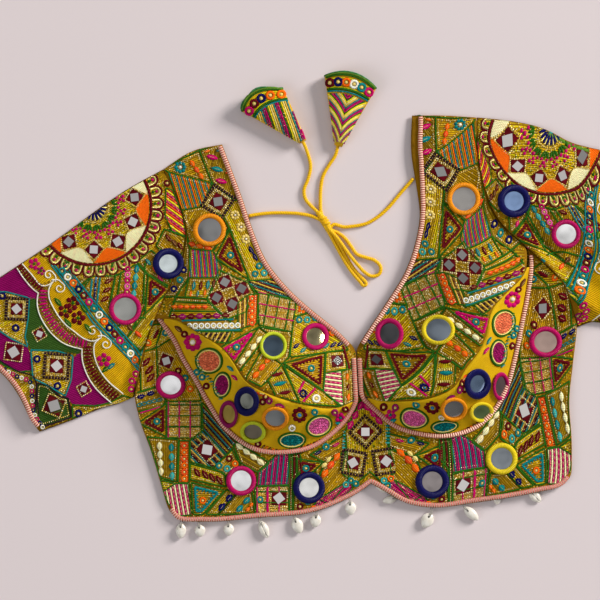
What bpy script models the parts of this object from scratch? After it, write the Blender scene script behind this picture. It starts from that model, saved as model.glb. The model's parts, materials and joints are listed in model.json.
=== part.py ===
"""A choli blouse laid flat, front up.

It has a cupped front, a low back, two sleeves, piping, a tie cord, cowries and ring mirrors.

Tables are in millimetres on a laying-out board, measured from its lower left corner: x to the right,
y towards the shoulders. The finished blouse stands in metres round ORIGIN, +Z up, with its underside
on z = 0. Left is -X.
"""

import math

import bpy
import numpy as np
from mathutils import Vector, geometry
from mathutils.bvhtree import BVHTree

MM = 0.001
ORIGIN = (332.4, 273.0)  # the board point under the blouse's middle

WALL = 1.5  # one layer of embroidered cloth with its backing
GAP = 0.3  # between pieces that touch
NEIGHBOUR = 0.5 * GAP  # what each of two pieces gives up at a shared seam
FRONT_BASE = 3.4  # top of the front where it lies on the back
SEAM_HEIGHT = 5.0  # top of the front along the neck, the armholes and the cup seams
CUP_HEIGHT = 45.0  # top of the crease across each cup
SHOULDER_RAMP = 40.0  # the front rises to SEAM_HEIGHT over this length from the shoulder
BAND_RAMP = 22.0  # and falls away from the cup seams over this length
SLEEVE_BILLOW = 9.0  # how far a sleeve's upper layer stands off the lower one
FOLD_STEP = 16.0  # between points along the armholes and sleeves
SEAM_STEP = 10.0  # between points along other seams
NET = 14.0  # between points inside a front panel
FLAT_NET = 70.0  # and inside a back panel
CRESCENT_MIN = 3.0  # the lower cup ends where it is narrower than this
STEEP_MOST = 1.7  # a steep wall is at most this many times thicker, measured upright
BILLOW_REACH = 0.35  # share of a sleeve's length over which it opens up
BILLOW_LOSS = 0.45  # share of its height that it has lost at the hem
VALLEY_GAP = 0.45  # under the cup piping, which bridges the valley round each cup
SEAM_REACH = 0.4  # the surface is felt this far to both sides, so that nothing drops into a seam
SEAT_TESTS = 5  # a resting face is tested for clearance at this many steps along each side

TRIM_WIDTH = 5.0
TRIM_THICK = 2.2
TRIM_INSET = 2.9  # from a cloth edge to the middle of its piping
CENTRE_TRIM = 2.9  # from the centre front to the middle of each cup piping
MIRROR_THICK = 2.4
MIRROR_SIDES = 8

CORD = 3.5  # diameter of the tie cord
BOW_LOOP = 5.0  # width of the narrow loop, both its strands together
CORD_STEP = 9.0
TASSEL_SIDES = 12
COWRIE_SIDES = 8
COWRIE_HEIGHT = 6.2
THREAD = 1.2

# Board points (x, y) of each seam and edge.
NECK_LEFT = (
    (222, 456), (232, 430), (243, 400), (253, 370), (266, 340), (290, 310), (312, 290), (337, 270),
    (356, 251),
)
NECK_RIGHT = (
    (412, 485), (411, 450), (417, 410), (420, 385), (416, 360), (406, 330), (388, 300), (368, 270),
    (356, 251),
)
SHOULDER_LEFT = ((163, 431), (193, 450), (222, 456))
SHOULDER_RIGHT = ((477, 483), (445, 485), (412, 485))
ARMHOLE_LEFT = (
    (163, 431), (168, 422), (181, 390), (186, 365), (184, 350), (175, 325), (163, 300), (152, 275),
    (143, 245), (134, 203),
)
ARMHOLE_RIGHT = (
    (477, 483), (478, 445), (485, 410), (498, 380), (519, 360), (542, 339), (562, 319), (578, 273),
)
CUP_START_LEFT = (157, 286)  # where the cup seams leave the armhole
CUP_START_RIGHT = (531, 349)
GORE_PEAK = (358.5, 206)  # where both cups and the waist band meet
SIDE_LEFT = ((134, 203), (139, 180), (150, 150), (159, 120), (167, 92))
SIDE_RIGHT = ((578, 273), (573, 230), (570, 200), (572.5, 160), (572.5, 124))
HEM_LEFT = ((167, 92), (175, 81), (203, 77.7), (257, 81.5), (316, 88), (340, 97), (362, 109), (371, 116))
HEM_RIGHT = (
    (371, 116), (388, 106.4), (404, 97), (433, 91.7), (474, 96.6), (536, 107), (565, 115), (572.5, 124),
)
UNDERWIRE_LEFT = (
    (163, 276), (174, 260), (182.5, 242), (196, 219.5), (206, 201), (227, 170), (258, 150), (288, 148),
    (311, 153),
    (334, 168), (352, 190),
)
UNDERWIRE_RIGHT = (
    (531, 330), (529, 312), (522, 275), (516, 245), (507.5, 214), (494, 189), (478, 174), (448, 164),
    (420, 166),
    (395, 174), (376.5, 189),
)
RIDGE_LEFT = (
    (174, 281), (200, 266), (223, 252), (234, 238), (245, 220), (273, 205), (304, 196), (334, 192),
    (350, 197),
)
RIDGE_RIGHT = (
    (525, 328), (503, 305), (489, 288), (486, 270), (478, 249), (464, 232), (454, 214), (428, 202),
    (398, 199), (376, 200),
)
FOOT_LEFT = ((186, 368), (203, 389), (230, 395), (247, 388))  # where the upper cup dies away on the shoulder
FOOT_RIGHT = ((500, 378), (485, 404), (455, 422), (424, 398))

SLEEVE_TOP_LEFT = ((163, 431), (125, 410), (96, 390), (69, 370), (41, 350), (10, 330), (-28, 304), (-60, 283))
SLEEVE_TOP_RIGHT = ((477, 483), (508, 480), (550, 470), (570, 458), (600, 451), (660, 432), (722, 412))
SLEEVE_UNDER_LEFT = ((134, 203), (127, 199), (102, 192), (75, 181), (39, 168))
SLEEVE_UNDER_RIGHT = ((578, 273), (590, 278), (610, 276), (650, 274), (700, 272))
SLEEVE_HEM_LEFT = ((-60, 283), (-36, 258), (0, 228), (12, 215), (23, 196), (30, 179), (39, 168))
SLEEVE_HEM_RIGHT = ((722, 412), (725, 370), (716, 320), (700, 272))

BACK_INNER_LEFT = (
    (217, 453), (228, 410), (240, 370), (250, 320), (266, 250), (296, 190), (330, 160), (358.5, 152),
)
BACK_INNER_RIGHT = (
    (418, 482), (424, 430), (428, 385), (424, 340), (416, 280), (400, 210), (380, 168), (358.5, 152),
)
BACK_HEM_LEFT = ((169, 100), (176, 88), (203, 84.5), (257, 88), (316, 96), (358.5, 132))
BACK_HEM_RIGHT = (
    (571, 134), (536, 121), (498, 117), (474, 110), (433, 105), (402, 122), (385, 127), (358.5, 132),
)
BACK_MARGIN = 1.0  # the back's side edges stay this far inside the front's

# Soft folds of the upper layer: ends of the crest on the board, half width and height.
FOLDS = (
    ("left_armpit_long", 133, 207, 96, 268, 8.0, 5.0),
    ("left_armpit_cup", 138, 214, 152, 268, 7.0, 4.0),
    ("left_sleeve_hem", 62, 185, 22, 262, 10.0, 3.0),
    ("left_sleeve_cap", 172, 392, 128, 366, 11.0, 3.5),
    ("left_side", 146, 190, 176, 120, 8.0, 1.6),
    ("right_cap_main", 487, 412, 588, 292, 9.0, 7.5),
    ("right_cap_upper", 496, 424, 612, 348, 11.0, 4.0),
    ("right_armpit", 556, 300, 528, 342, 7.0, 4.5),
    ("right_underarm", 585, 285, 640, 300, 9.0, 4.0),
    ("right_side", 566, 262, 548, 188, 9.0, 2.2),
    ("right_shoulder", 440, 470, 462, 400, 10.0, 1.4),
    ("left_shoulder", 190, 436, 212, 372, 9.0, 1.4),
    ("waist_left", 196, 118, 262, 128, 9.0, 1.2),
    ("waist_right", 446, 132, 530, 140, 10.0, 1.4),
    ("hem_lift_notch", 380, 113, 392, 107, 12.0, 3.6),
    ("hem_lift_right", 497, 104, 499, 110, 12.0, 3.6),
    ("hem_lift_side", 531, 110, 533, 114, 10.0, 4.2),
)
FOLD_END = 14.0  # a fold dies away over this length past each end

# Cowries: the thread's end of the shell, its tip, its width, and whether it is tucked under the hem,
# with no thread.
COWRIES = (
    (180.8, 76.6, 180.5, 61.0, 9.6, False),
    (198.9, 75.0, 200.6, 62.6, 10.0, False),
    (228.5, 76.4, 228.5, 63.6, 9.8, False),
    (260.0, 78.6, 267.7, 61.6, 9.0, False),
    (294.4, 82.0, 300.5, 66.2, 10.5, False),
    (316.8, 85.4, 314.5, 72.0, 10.0, False),
    (350.3, 98.4, 351.0, 84.4, 10.4, False),
    (390.5, 109.3, 376.0, 115.2, 9.0, True),
    (397.0, 101.6, 382.8, 98.0, 7.4, True),
    (431.4, 86.3, 423.4, 72.0, 11.6, False),
    (464.6, 92.4, 478.5, 79.5, 9.0, False),
    (498.0, 108.8, 497.5, 94.8, 8.0, True),
    (530.0, 109.0, 541.0, 97.5, 9.0, True),
)
# A cowrie's form: share of its length from the thread's end, share of its width there.
COWRIE_FORM = ((0.0, 0.45), (0.22, 0.80), (0.50, 1.0), (0.78, 0.82), (1.0, 0.30))
TUCKED_HEIGHT = 4.6

# Ring mirrors: centre, width and height as laid.
MIRRORS = (
    (209.5, 370, 33, 33),
    (168, 336.5, 31, 31),
    (125, 291, 32, 32),
    (273, 254, 27, 28),
    (315, 263, 27, 27),
    (170.5, 215, 30, 28),
    (247.5, 200, 25, 30),
    (229.5, 186.5, 19, 28),
    (275.5, 183, 27, 24),
    (253.5, 169, 26, 22),
    (241, 119, 30, 30),
    (309, 112, 32, 32),
    (464, 401, 33, 33),
    (514, 399, 33, 33),
    (566, 366, 29, 29),
    (390, 266, 28, 31),
    (438, 270, 33, 30),
    (546, 258, 33, 31),
    (476, 217, 27, 31),
    (500, 214, 17, 29),
    (453, 192, 27, 24),
    (481, 188.5, 25, 21),
    (432.5, 118, 34, 34),
    (502, 141, 32, 32),
)

# Routes of the tie cord: board x and y, and the height of the cord's middle.
LOW = 1.9
DORI_LEFT = (
    (248.4, 384.2, 3.2), (256, 385.6, 2.4), (268, 387, LOW), (284, 387.3, LOW), (300, 386.4, LOW),
    (311, 384.2, LOW), (318.1, 381.4, 3.0),
)
DORI_RIGHT = (
    (413.4, 421.8, 3.0), (409, 416.5, 2.2), (402, 408.5, LOW), (395, 400, LOW), (387, 391, LOW),
    (377, 382.5, LOW),
    (366, 376.5, LOW), (354, 374, LOW), (344, 373.2, LOW), (332.6, 375.2, 3.0),
)
TAIL_LEFT = (
    (317.9, 387.5, 2.9), (311, 394.4, LOW), (305.6, 401, LOW), (304, 410, LOW), (308, 421, LOW),
    (310.6, 434, LOW), (308, 446, 2.6), (303.4, 457.6, 3.8), (295.5, 470, 5.0),
)
TAIL_RIGHT = (
    (321.0, 388.5, 2.9), (320.4, 400, LOW), (320.8, 412, LOW), (323, 424, LOW), (329, 435, LOW),
    (335.4, 445, 2.6), (338.0, 455, 3.8), (340.3, 467, 4.6),
)
KNOT = (326.0, 377.0, 3.5)
KNOT_END = (333.0, 367.0)  # the knot's long axis points here
KNOT_HALF = (12.9, 3.5, 3.4)
BOW_WIDE = (
    (331, 370, 3.0), (338, 367.5, LOW), (345, 362, LOW), (351, 354, LOW), (357, 346, LOW),
    (366, 342.6, LOW), (375, 339.6, LOW),
    (381, 332.6, LOW), (379.4, 326, LOW), (372.6, 323.8, LOW), (365, 327.6, LOW), (358, 335, LOW),
    (351, 343.4, LOW),
    (344, 353, LOW), (337, 362.6, 2.2), (330.2, 369.8, 3.2),
)
BOW_NARROW = (
    (329.5, 370, 3.2), (335, 360, 2.7), (341, 349, 2.7), (348, 337, 2.7), (356, 326, 2.7),
    (363.6, 317.5, 2.7),
)

# Tassel cones: apex, the rim's two corners on the board, and how far the rim bows out between them.
TASSELS = {
    "tassel_left": ((303, 458.5), (241, 489.5), (283.5, 511.5), 12.0),
    "tassel_right": ((338.3, 454), (324.5, 524.5), (376.5, 512), 9.0),
}
TASSEL_WALL = 1.2
TASSEL_NECK = 3.75  # outer radius at the cord
TASSEL_MOUTH = 7.5  # half the rim's thickness

CLOTH = {
    "front": ((0.62, 0.42, 0.05), 0.85),
    "cup": ((0.55, 0.36, 0.06), 0.85),
    "band": ((0.60, 0.40, 0.05), 0.85),
    "back": ((0.66, 0.46, 0.06), 0.9),
    "sleeve": ((0.58, 0.36, 0.06), 0.85),
    "trim": ((0.72, 0.30, 0.28), 0.7),
    "cord": ((0.85, 0.50, 0.02), 0.6),
    "tassel": ((0.48, 0.10, 0.24), 0.8),
    "cowrie": ((0.85, 0.82, 0.76), 0.3),
    "mirror": ((0.60, 0.62, 0.62), 0.1),
}


def smooth_curve(points, step):
    """Points about a step apart along the smooth curve through the given ones, in 2 or 3 dimensions."""
    p = np.array(points, dtype=float)
    spans = np.linalg.norm(np.diff(p, axis=0), axis=1)
    slopes = np.diff(p, axis=0) / spans[:, None]
    tangents = np.vstack([slopes[:1], slopes[-1:]])
    if len(p) > 2:
        before, after = spans[:-1, None], spans[1:, None]
        inner = (slopes[:-1] * after + slopes[1:] * before) / (before + after)
        tangents = np.vstack([slopes[:1], inner, slopes[-1:]])
    fine = [p[:1]]
    t = np.linspace(0, 1, 17)[1:, None]
    for i, span in enumerate(spans):
        start, end = (2 * t**3 - 3 * t**2 + 1), (3 * t**2 - 2 * t**3)
        leave, arrive = (t**3 - 2 * t**2 + t) * span, (t**3 - t**2) * span
        fine.append(start * p[i] + end * p[i + 1] + leave * tangents[i] + arrive * tangents[i + 1])
    return resampled(np.vstack(fine), step)


def resampled(line, step):
    """The same line with its points evenly spaced, about a step apart."""
    along = np.concatenate([[0], np.cumsum(np.linalg.norm(np.diff(line, axis=0), axis=1))])
    count = max(1, round(along[-1] / step))
    places = np.linspace(0, along[-1], count + 1)
    return np.column_stack([np.interp(places, along, line[:, k]) for k in range(line.shape[1])])


def distance_to_line(points, line):
    """How far each point is from an open line."""
    a, b = line[:-1], line[1:]
    ab = b - a
    t = ((points[:, None] - a) * ab).sum(axis=2) / (ab**2).sum(axis=1)
    nearest = a + np.clip(t, 0, 1)[..., None] * ab
    return np.linalg.norm(points[:, None] - nearest, axis=2).min(axis=1)


def is_inside(points, outline):
    """Whether each point is inside a closed outline."""
    x, y = points[:, :1], points[:, 1:]
    a, b = outline, np.roll(outline, -1, axis=0)
    crosses = (a[:, 1] > y) != (b[:, 1] > y)
    rise = np.where(b[:, 1] == a[:, 1], 1.0, b[:, 1] - a[:, 1])
    at = a[:, 0] + (y - a[:, 1]) * (b[:, 0] - a[:, 0]) / rise
    return (crosses & (x < at)).sum(axis=1) % 2 == 1


def joined(*lines):
    """Lines that follow one another, as one closed outline, anticlockwise, with no point twice."""
    points = [lines[0][0]]
    for p in np.vstack(lines):
        if np.linalg.norm(p - points[-1]) > 0.5:
            points.append(p)
    if np.linalg.norm(points[0] - points[-1]) < 0.5:
        points.pop()
    outline = np.array(points)
    following = np.roll(outline, -1, axis=0)
    area = (outline[:, 0] * following[:, 1] - outline[:, 1] * following[:, 0]).sum()
    return outline if area > 0 else outline[::-1]


def inset(outline, amount):
    """An anticlockwise outline moved in by an amount."""
    ahead = np.roll(outline, -1, axis=0) - outline
    ahead /= np.linalg.norm(ahead, axis=1)[:, None]
    inward = np.column_stack([-ahead[:, 1], ahead[:, 0]])
    both = inward + np.roll(inward, 1, axis=0)
    length = np.maximum(np.linalg.norm(both, axis=1), 0.7)
    return outline + both / length[:, None] * (amount * 2 / length)[:, None]


def plan_net(outline, spacing):
    """Plan points and triangles that fill an outline, with a hexagonal net inside it."""
    low, high = outline.min(axis=0), outline.max(axis=0)
    row_height = spacing * math.sqrt(0.75)
    net = []
    for row in range(int((high[1] - low[1]) / row_height) + 1):
        shift = 0.5 * spacing * (row % 2)
        for column in range(int((high[0] - low[0]) / spacing) + 1):
            net.append((low[0] + column * spacing + shift, low[1] + row * row_height))
    net = np.array(net)
    closed = np.vstack([outline, outline[:1]])
    net = net[is_inside(net, outline)]
    if len(net):
        net = net[distance_to_line(net, closed) > 0.62 * spacing]
    points = np.vstack([outline, net]) if len(net) else outline
    count = len(outline)
    edges = [(i, (i + 1) % count) for i in range(count)]
    found = geometry.delaunay_2d_cdt([Vector(p) for p in points.tolist()], edges, [], 1, 1e-5)
    return np.array([tuple(v) for v in found[0]]), [tuple(f) for f in found[2]]


def material(name, kind):
    """The Principled finish of one kind of piece, made for the piece that bears the name."""
    colour, roughness = CLOTH[kind]
    made = bpy.data.materials.new(name)
    made.use_nodes = True
    shader = made.node_tree.nodes["Principled BSDF"]
    shader.inputs["Base Color"].default_value = (*colour, 1.0)
    shader.inputs["Roughness"].default_value = roughness
    shader.inputs["Metallic"].default_value = 1.0 if kind == "mirror" else 0.0
    made.diffuse_color = (*colour, 1.0)
    return made


def to_metres(points):
    """Board points in millimetres as model points in metres."""
    return [((x - ORIGIN[0]) * MM, (y - ORIGIN[1]) * MM, z * MM) for x, y, z in np.asarray(points).tolist()]


class Blouse:
    """The pieces made so far, and the upper surface that the next ones lie on."""

    def __init__(self):
        self.holder = bpy.data.objects.new("choli", None)
        bpy.context.collection.objects.link(self.holder)
        self.points = []
        self.faces = []
        self.surface = None

    def add(self, name, kind, points, faces, carries=True):
        """A piece from board points in millimetres. One that carries others joins the upper surface."""
        mesh = bpy.data.meshes.new(name)
        mesh.from_pydata(to_metres(points), [], faces)
        mesh.update()
        mesh.materials.append(material(name, kind))
        piece = bpy.data.objects.new(name, mesh)
        piece.parent = self.holder
        bpy.context.collection.objects.link(piece)
        if carries:
            first = len(self.points)
            self.points += [tuple(p) for p in np.asarray(points).tolist()]
            self.faces += [tuple(first + i for i in face) for face in faces]
            self.surface = None
        return piece

    def top(self, x, y, otherwise=None):
        """The height of the upper surface at a board point, seams bridged, or the other value off it."""
        if self.surface is None:
            self.surface = BVHTree.FromPolygons(self.points, self.faces)
        levels = []
        for shift in (0.0, SEAM_REACH, -SEAM_REACH):
            hit = self.surface.ray_cast(Vector((x + shift, y + shift, 200.0)), Vector((0, 0, -1)))[0]
            if hit:
                levels.append(hit.z)
        return max(levels, default=otherwise)

    def seat(self, plan, faces, inner, gap=GAP):
        """Heights that lie just above the surface at each plan point and across each face between them.

        inner gives, for each point, the point whose height it takes where there is no surface under it.
        """
        heights = []
        for i, (x, y) in enumerate(plan.tolist()):
            within = plan[inner[i]].tolist()
            heights.append(self.top(x, y, self.top(*within, SEAM_HEIGHT)) + gap)
        heights = np.array(heights)
        parts = range(SEAT_TESTS + 1)
        pairs = [(i, j) for i in parts for j in parts if i + j <= SEAT_TESTS]
        shares = [(i / SEAT_TESTS, j / SEAT_TESTS, 1 - (i + j) / SEAT_TESTS) for i, j in pairs]
        for _ in range(2):
            raised = heights.copy()
            for face in faces:
                corners, levels = plan[list(face)], heights[list(face)]
                for share in shares:
                    x, y = np.dot(share, corners)
                    short = self.top(x, y, 0.0) + gap - np.dot(share, levels)
                    if short > 0:
                        for i in face:
                            raised[i] = max(raised[i], heights[i] + short)
            heights = raised
        return heights


def slab(plan, faces, low, high):
    """A closed body between two heights over plan triangles that face up."""
    count = len(plan)
    points = np.vstack([np.column_stack([plan, high]), np.column_stack([plan, low])])
    used = {(face[i], face[(i + 1) % len(face)]) for face in faces for i in range(len(face))}
    walls = [(b, a, a + count, b + count) for a, b in used if (b, a) not in used]
    below = [tuple(i + count for i in reversed(face)) for face in faces]
    return points, [*faces, *below, *sorted(walls)]


def steepness(plan, faces, heights):
    """How much thicker a wall is measured upright than square to the surface, at each point."""
    corners = np.column_stack([plan, heights])[np.array(faces)]
    normals = np.cross(corners[:, 1] - corners[:, 0], corners[:, 2] - corners[:, 0])
    total = np.zeros((len(plan), 3))
    for k in range(3):
        np.add.at(total, np.array(faces)[:, k], normals)
    up = total[:, 2] / np.linalg.norm(total, axis=1)
    return np.minimum(1 / up, STEEP_MOST)


def relief(plan):
    """The soft folds of the upper layer at each plan point."""
    total = np.zeros(len(plan))
    for _, x1, y1, x2, y2, half_width, height in FOLDS:
        start, end = np.array((x1, y1), float), np.array((x2, y2), float)
        length = np.linalg.norm(end - start)
        along_axis = (end - start) / length
        offset = plan - start
        along = offset @ along_axis
        across = offset @ np.array((-along_axis[1], along_axis[0]))
        past = np.maximum(0, np.maximum(-along, along - length)) / FOLD_END
        total += height * np.exp(-((across / half_width) ** 2) - past**2)
    return total


class Cup:
    """The form of one bust cup: a crease between the upper cup, which dies away, and the steep lower cup."""

    def __init__(self, armhole, start, ridge, underwire, neck, foot):
        split = int(np.linalg.norm(armhole - np.array(start), axis=1).argmin())
        self.armhole_upper, self.armhole_lower = armhole[: split + 1], armhole[split:]
        first = armhole[split]
        self.ridge = smooth_curve([first, *ridge, GORE_PEAK], SEAM_STEP)
        self.underwire = smooth_curve([first, *underwire, GORE_PEAK], SEAM_STEP)
        self.neck = neck
        shoulder = smooth_curve(foot, SEAM_STEP)
        beside = armhole[: split + 1][::-1]
        beside = beside[: int(np.linalg.norm(beside - shoulder[0], axis=1).argmin()) + 1]
        along_neck = neck[int(np.linalg.norm(neck - shoulder[-1], axis=1).argmin()) :]
        self.foot = np.vstack([beside, shoulder, along_neck, [GORE_PEAK]])
        self.region = joined(self.foot, self.ridge[::-1])

    @staticmethod
    def pull(plan, line):
        """How strongly a line holds each plan point, and at what share of its length."""
        middle = 0.5 * (line[:-1] + line[1:])
        length = np.linalg.norm(np.diff(line, axis=0), axis=1)
        along = (np.cumsum(length) - 0.5 * length) / length.sum()
        pull = length / (((plan[:, None] - middle) ** 2).sum(axis=2) + 1e-6)
        return pull.sum(axis=1), (pull * along).sum(axis=1) / pull.sum(axis=1)

    def rise(self, plan, edge, profile):
        """How far the cup stands over SEAM_HEIGHT between an edge and the crease."""
        fine_ridge, fine_edge = resampled(self.ridge, 1.5), resampled(edge, 1.5)
        ridge_pull, along = self.pull(plan, fine_ridge)
        edge_pull, _ = self.pull(plan, fine_edge)
        on_ridge = distance_to_line(plan, self.ridge) < 0.5
        on_edge = (distance_to_line(plan, edge) < 0.5) & ~on_ridge
        share = np.where(on_ridge, 1.0, np.where(on_edge, 0.0, ridge_pull / (ridge_pull + edge_pull)))
        crest = (CUP_HEIGHT - SEAM_HEIGHT) * np.sin(math.pi * np.clip(along, 0, 1)) ** 0.7
        return crest * profile(share)

    def upper(self, plan):
        """The rise of the upper cup, full and round below the neck edge."""
        rise = self.rise(plan, self.foot, lambda t: 0.6 * np.sin(0.5 * math.pi * t) + 0.4 * t)
        near = is_inside(plan, self.region) | (distance_to_line(plan, self.ridge) < 0.5)
        return np.where(near, rise, 0.0)

    def lower(self, plan):
        """The rise of the lower cup, nearly straight from its seam."""
        return self.rise(plan, self.underwire, lambda t: 0.25 * np.sin(0.5 * math.pi * t) + 0.75 * t)

    def crescent(self):
        """The lower cup's outline, cut off where the crease runs into the seam."""
        wide_ridge = self.ridge[distance_to_line(self.ridge, self.underwire) > CRESCENT_MIN]
        wide_seam = self.underwire[distance_to_line(self.underwire, self.ridge) > CRESCENT_MIN]
        return joined(wide_seam, wide_ridge[::-1])


def make_panel(blouse, name, kind, outline, height, spacing=NET):
    """A cloth panel over an outline, whose upper face follows a height function."""
    plan, faces = plan_net(inset(outline, NEIGHBOUR), spacing)
    high = height(plan)
    low = high - WALL * steepness(plan, faces, high)
    blouse.add(name, kind, *slab(plan, faces, low, high))


def make_front(blouse, side, cup, shoulder, centre):
    """One side's upper front and lower cup."""

    def upper_height(plan):
        ramp = np.clip(distance_to_line(plan, shoulder) / SHOULDER_RAMP, 0, 1)
        base = FRONT_BASE + (SEAM_HEIGHT - FRONT_BASE) * ramp * (2 - ramp)
        return base + cup.upper(plan) + relief(plan)

    def lower_height(plan):
        return SEAM_HEIGHT + cup.lower(plan) + relief(plan)

    outline = joined(shoulder, cup.armhole_upper, cup.ridge, centre, cup.neck[::-1])
    make_panel(blouse, f"front_upper_{side}", "front", outline, upper_height)
    make_panel(blouse, f"cup_lower_{side}", "cup", cup.crescent(), lower_height)


def make_waist(blouse, left, right, side_left, side_right, hem):
    """The band under both cups, with the gore that rises between them."""
    seams = (left.underwire, right.underwire, left.armhole_lower, right.armhole_lower)

    def height(plan):
        away = np.min([distance_to_line(plan, seam) for seam in seams], axis=0)
        return FRONT_BASE + (SEAM_HEIGHT - FRONT_BASE) * np.exp(-away / BAND_RAMP) + relief(plan)

    outline = joined(
        left.armhole_lower, side_left, hem, side_right[::-1], right.armhole_lower[::-1],
        right.underwire, left.underwire[::-1],
    )
    make_panel(blouse, "waist_band", "band", outline, height)


def make_back(blouse, side, armhole, shoulder, side_seam, inner, hem, centre_x):
    """One half of the low back, with its strap: it lies on z = 0, under the front."""
    inner_edge, hem_edge = smooth_curve(inner, 2 * SEAM_STEP), smooth_curve(hem, 2 * SEAM_STEP)
    inward = math.copysign(BACK_MARGIN, centre_x - side_seam[0][0])
    sides = side_seam[:-1] + np.array((inward, 0.0))
    nearest = inner_edge[0]
    strap_top = np.array([p for p in shoulder if abs(p[0] - armhole[0][0]) < abs(nearest[0] - armhole[0][0])])
    strap_top = strap_top - np.array((0.0, BACK_MARGIN))
    outline = joined(strap_top[::-1], armhole[1:], sides[1:], hem_edge, inner_edge[::-1])
    plan, faces = plan_net(inset(outline, NEIGHBOUR), FLAT_NET)
    level = np.zeros(len(plan))
    blouse.add(f"back_{side}", "back", *slab(plan, faces, level, level + WALL), carries=False)


def between(top, under, armhole, hem, u, shares):
    """Plan points across a sleeve at u of its length, from the four edges that bound it."""
    def at(line, t):
        along = np.linspace(0, 1, len(line))
        return np.array([np.interp(t, along, line[:, k]) for k in range(2)])

    upper, lower = at(top, u), at(under, u)
    row = []
    for place, s in zip(armhole, shares):
        ends = (1 - u) * place + u * at(hem, s)
        sides = (1 - s) * upper + s * lower
        corners = (1 - u) * ((1 - s) * armhole[0] + s * armhole[-1]) + u * ((1 - s) * hem[0] + s * hem[-1])
        row.append(ends + sides - corners)
    return np.array(row)


def make_sleeve(blouse, side, armhole, top, under, hem):
    """A sleeve laid flat: a tube of two layers, folded at the top, open at both ends."""
    along = np.concatenate([[0], np.cumsum(np.linalg.norm(np.diff(armhole, axis=0), axis=1))])
    shares = along / along[-1]
    rows = max(len(top), len(under))
    outer_rings, inner_rings = [], []
    for row in range(rows):
        u = row / (rows - 1)
        plan = between(top, under, armhole, hem, u, shares)
        step_in = NEIGHBOUR * 1.2 if row == 0 else 0.0
        plan = plan + step_in * (between(top, under, armhole, hem, 0.06, shares) - plan) / FOLD_STEP
        opened = min(1.0, u / BILLOW_REACH) * (1 - BILLOW_LOSS * u)
        billow = SLEEVE_BILLOW * opened * np.sin(math.pi * shares) ** 0.8
        high = SEAM_HEIGHT + billow + relief(plan)
        fold = 0.5 * SEAM_HEIGHT
        width = np.linalg.norm(plan[-1] - plan[0])
        across = (plan[-1] - plan[0]) / width
        outer = [(*plan[0], fold)]
        outer += [(*p, z) for p, z in zip(plan[1:-1], high[1:-1])]
        outer += [(*plan[-1], fold)]
        outer += [(*p, 0.0) for p in plan[-2:0:-1]]
        inner = [(*(plan[0] + WALL * across), fold)]
        inner += [(*p, z - WALL) for p, z in zip(plan[1:-1], high[1:-1])]
        inner += [(*(plan[-1] - WALL * across), fold)]
        inner += [(*p, WALL) for p in plan[-2:0:-1]]
        outer_rings.append(outer)
        inner_rings.append(inner)
    points, faces = tube_wall(outer_rings, inner_rings)
    blouse.add(f"sleeve_{side}", "sleeve", points, faces)


def tube_wall(outer_rings, inner_rings):
    """Points and faces of a tube with a wall, open at both ends, from rings that match one another."""
    rows, size = len(outer_rings), len(outer_rings[0])
    points = [p for ring in (*outer_rings, *inner_rings) for p in ring]
    inside = rows * size
    faces = []
    for row in range(rows - 1):
        for i in range(size):
            a, b = row * size + i, row * size + (i + 1) % size
            faces += [(a, b, b + size), (a, b + size, a + size)]
            c, d = inside + a, inside + b
            faces += [(d + size, d, c), (c + size, d + size, c)]
    last = (rows - 1) * size
    for i in range(size):
        j = (i + 1) % size
        faces.append((i, inside + i, inside + j, j))
        faces.append((last + j, inside + last + j, inside + last + i, last + i))
    middle = np.mean(outer_rings[0], axis=0)
    a, b, c = (np.array(points[i]) for i in faces[0][:3])
    outward = np.dot(np.cross(b - a, c - b), a - middle)
    return points, faces if outward > 0 else [tuple(reversed(face)) for face in faces]


def parallel(line, offset):
    """A line moved sideways, to its left where the offset is positive."""
    ahead = np.gradient(line, axis=0)
    ahead /= np.linalg.norm(ahead, axis=1)[:, None]
    return line + offset * np.column_stack([-ahead[:, 1], ahead[:, 0]])


def shortened(line, start, end):
    """A line with a length cut off at each end."""
    fine = resampled(line, 1.0)
    stop = len(fine) - round(end)
    return resampled(fine[round(start) : stop], np.linalg.norm(line[1] - line[0]))


def make_trim(blouse, name, middle_line, gap=GAP):
    """Piping that lies on the cloth along a line: flat underneath, crowned on top."""
    half = 0.5 * TRIM_WIDTH
    rows = [parallel(middle_line, half), middle_line, parallel(middle_line, -half)]
    count = len(middle_line)
    plan = np.vstack(rows)
    faces = []
    for lane in range(2):
        for i in range(count - 1):
            a, b = lane * count + i, (lane + 1) * count + i
            faces += [(b, b + 1, a), (b + 1, a + 1, a)]
    inner = [count + i % count for i in range(3 * count)]
    low = blouse.seat(plan, faces, inner, gap)
    crown = np.repeat([0.55, 1.0, 0.55], count)
    blouse.add(name, "trim", *slab(plan, faces, low, low + TRIM_THICK * crown))


def make_mirror(blouse, number, x, y, width, height):
    """A ring mirror as one disc that follows the cloth under it."""
    turns = [2 * math.pi * i / MIRROR_SIDES for i in range(MIRROR_SIDES)]
    plan, inner = [(x, y)], [0]
    for share in (0.55, 1.0):
        half_width, half_height = 0.5 * share * width, 0.5 * share * height
        plan += [(x + half_width * math.cos(a), y + half_height * math.sin(a)) for a in turns]
        inner += [0] * MIRROR_SIDES
    faces = []
    for i in range(MIRROR_SIDES):
        j = (i + 1) % MIRROR_SIDES
        a, b = 1 + i, 1 + j
        c, d = a + MIRROR_SIDES, b + MIRROR_SIDES
        faces += [(0, a, b), (a, c, d), (a, d, b)]
    plan = np.array(plan)
    low = blouse.seat(plan, faces, inner)
    blouse.add(f"mirror_{number:02d}", "mirror", *slab(plan, faces, low, low + MIRROR_THICK))


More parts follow.
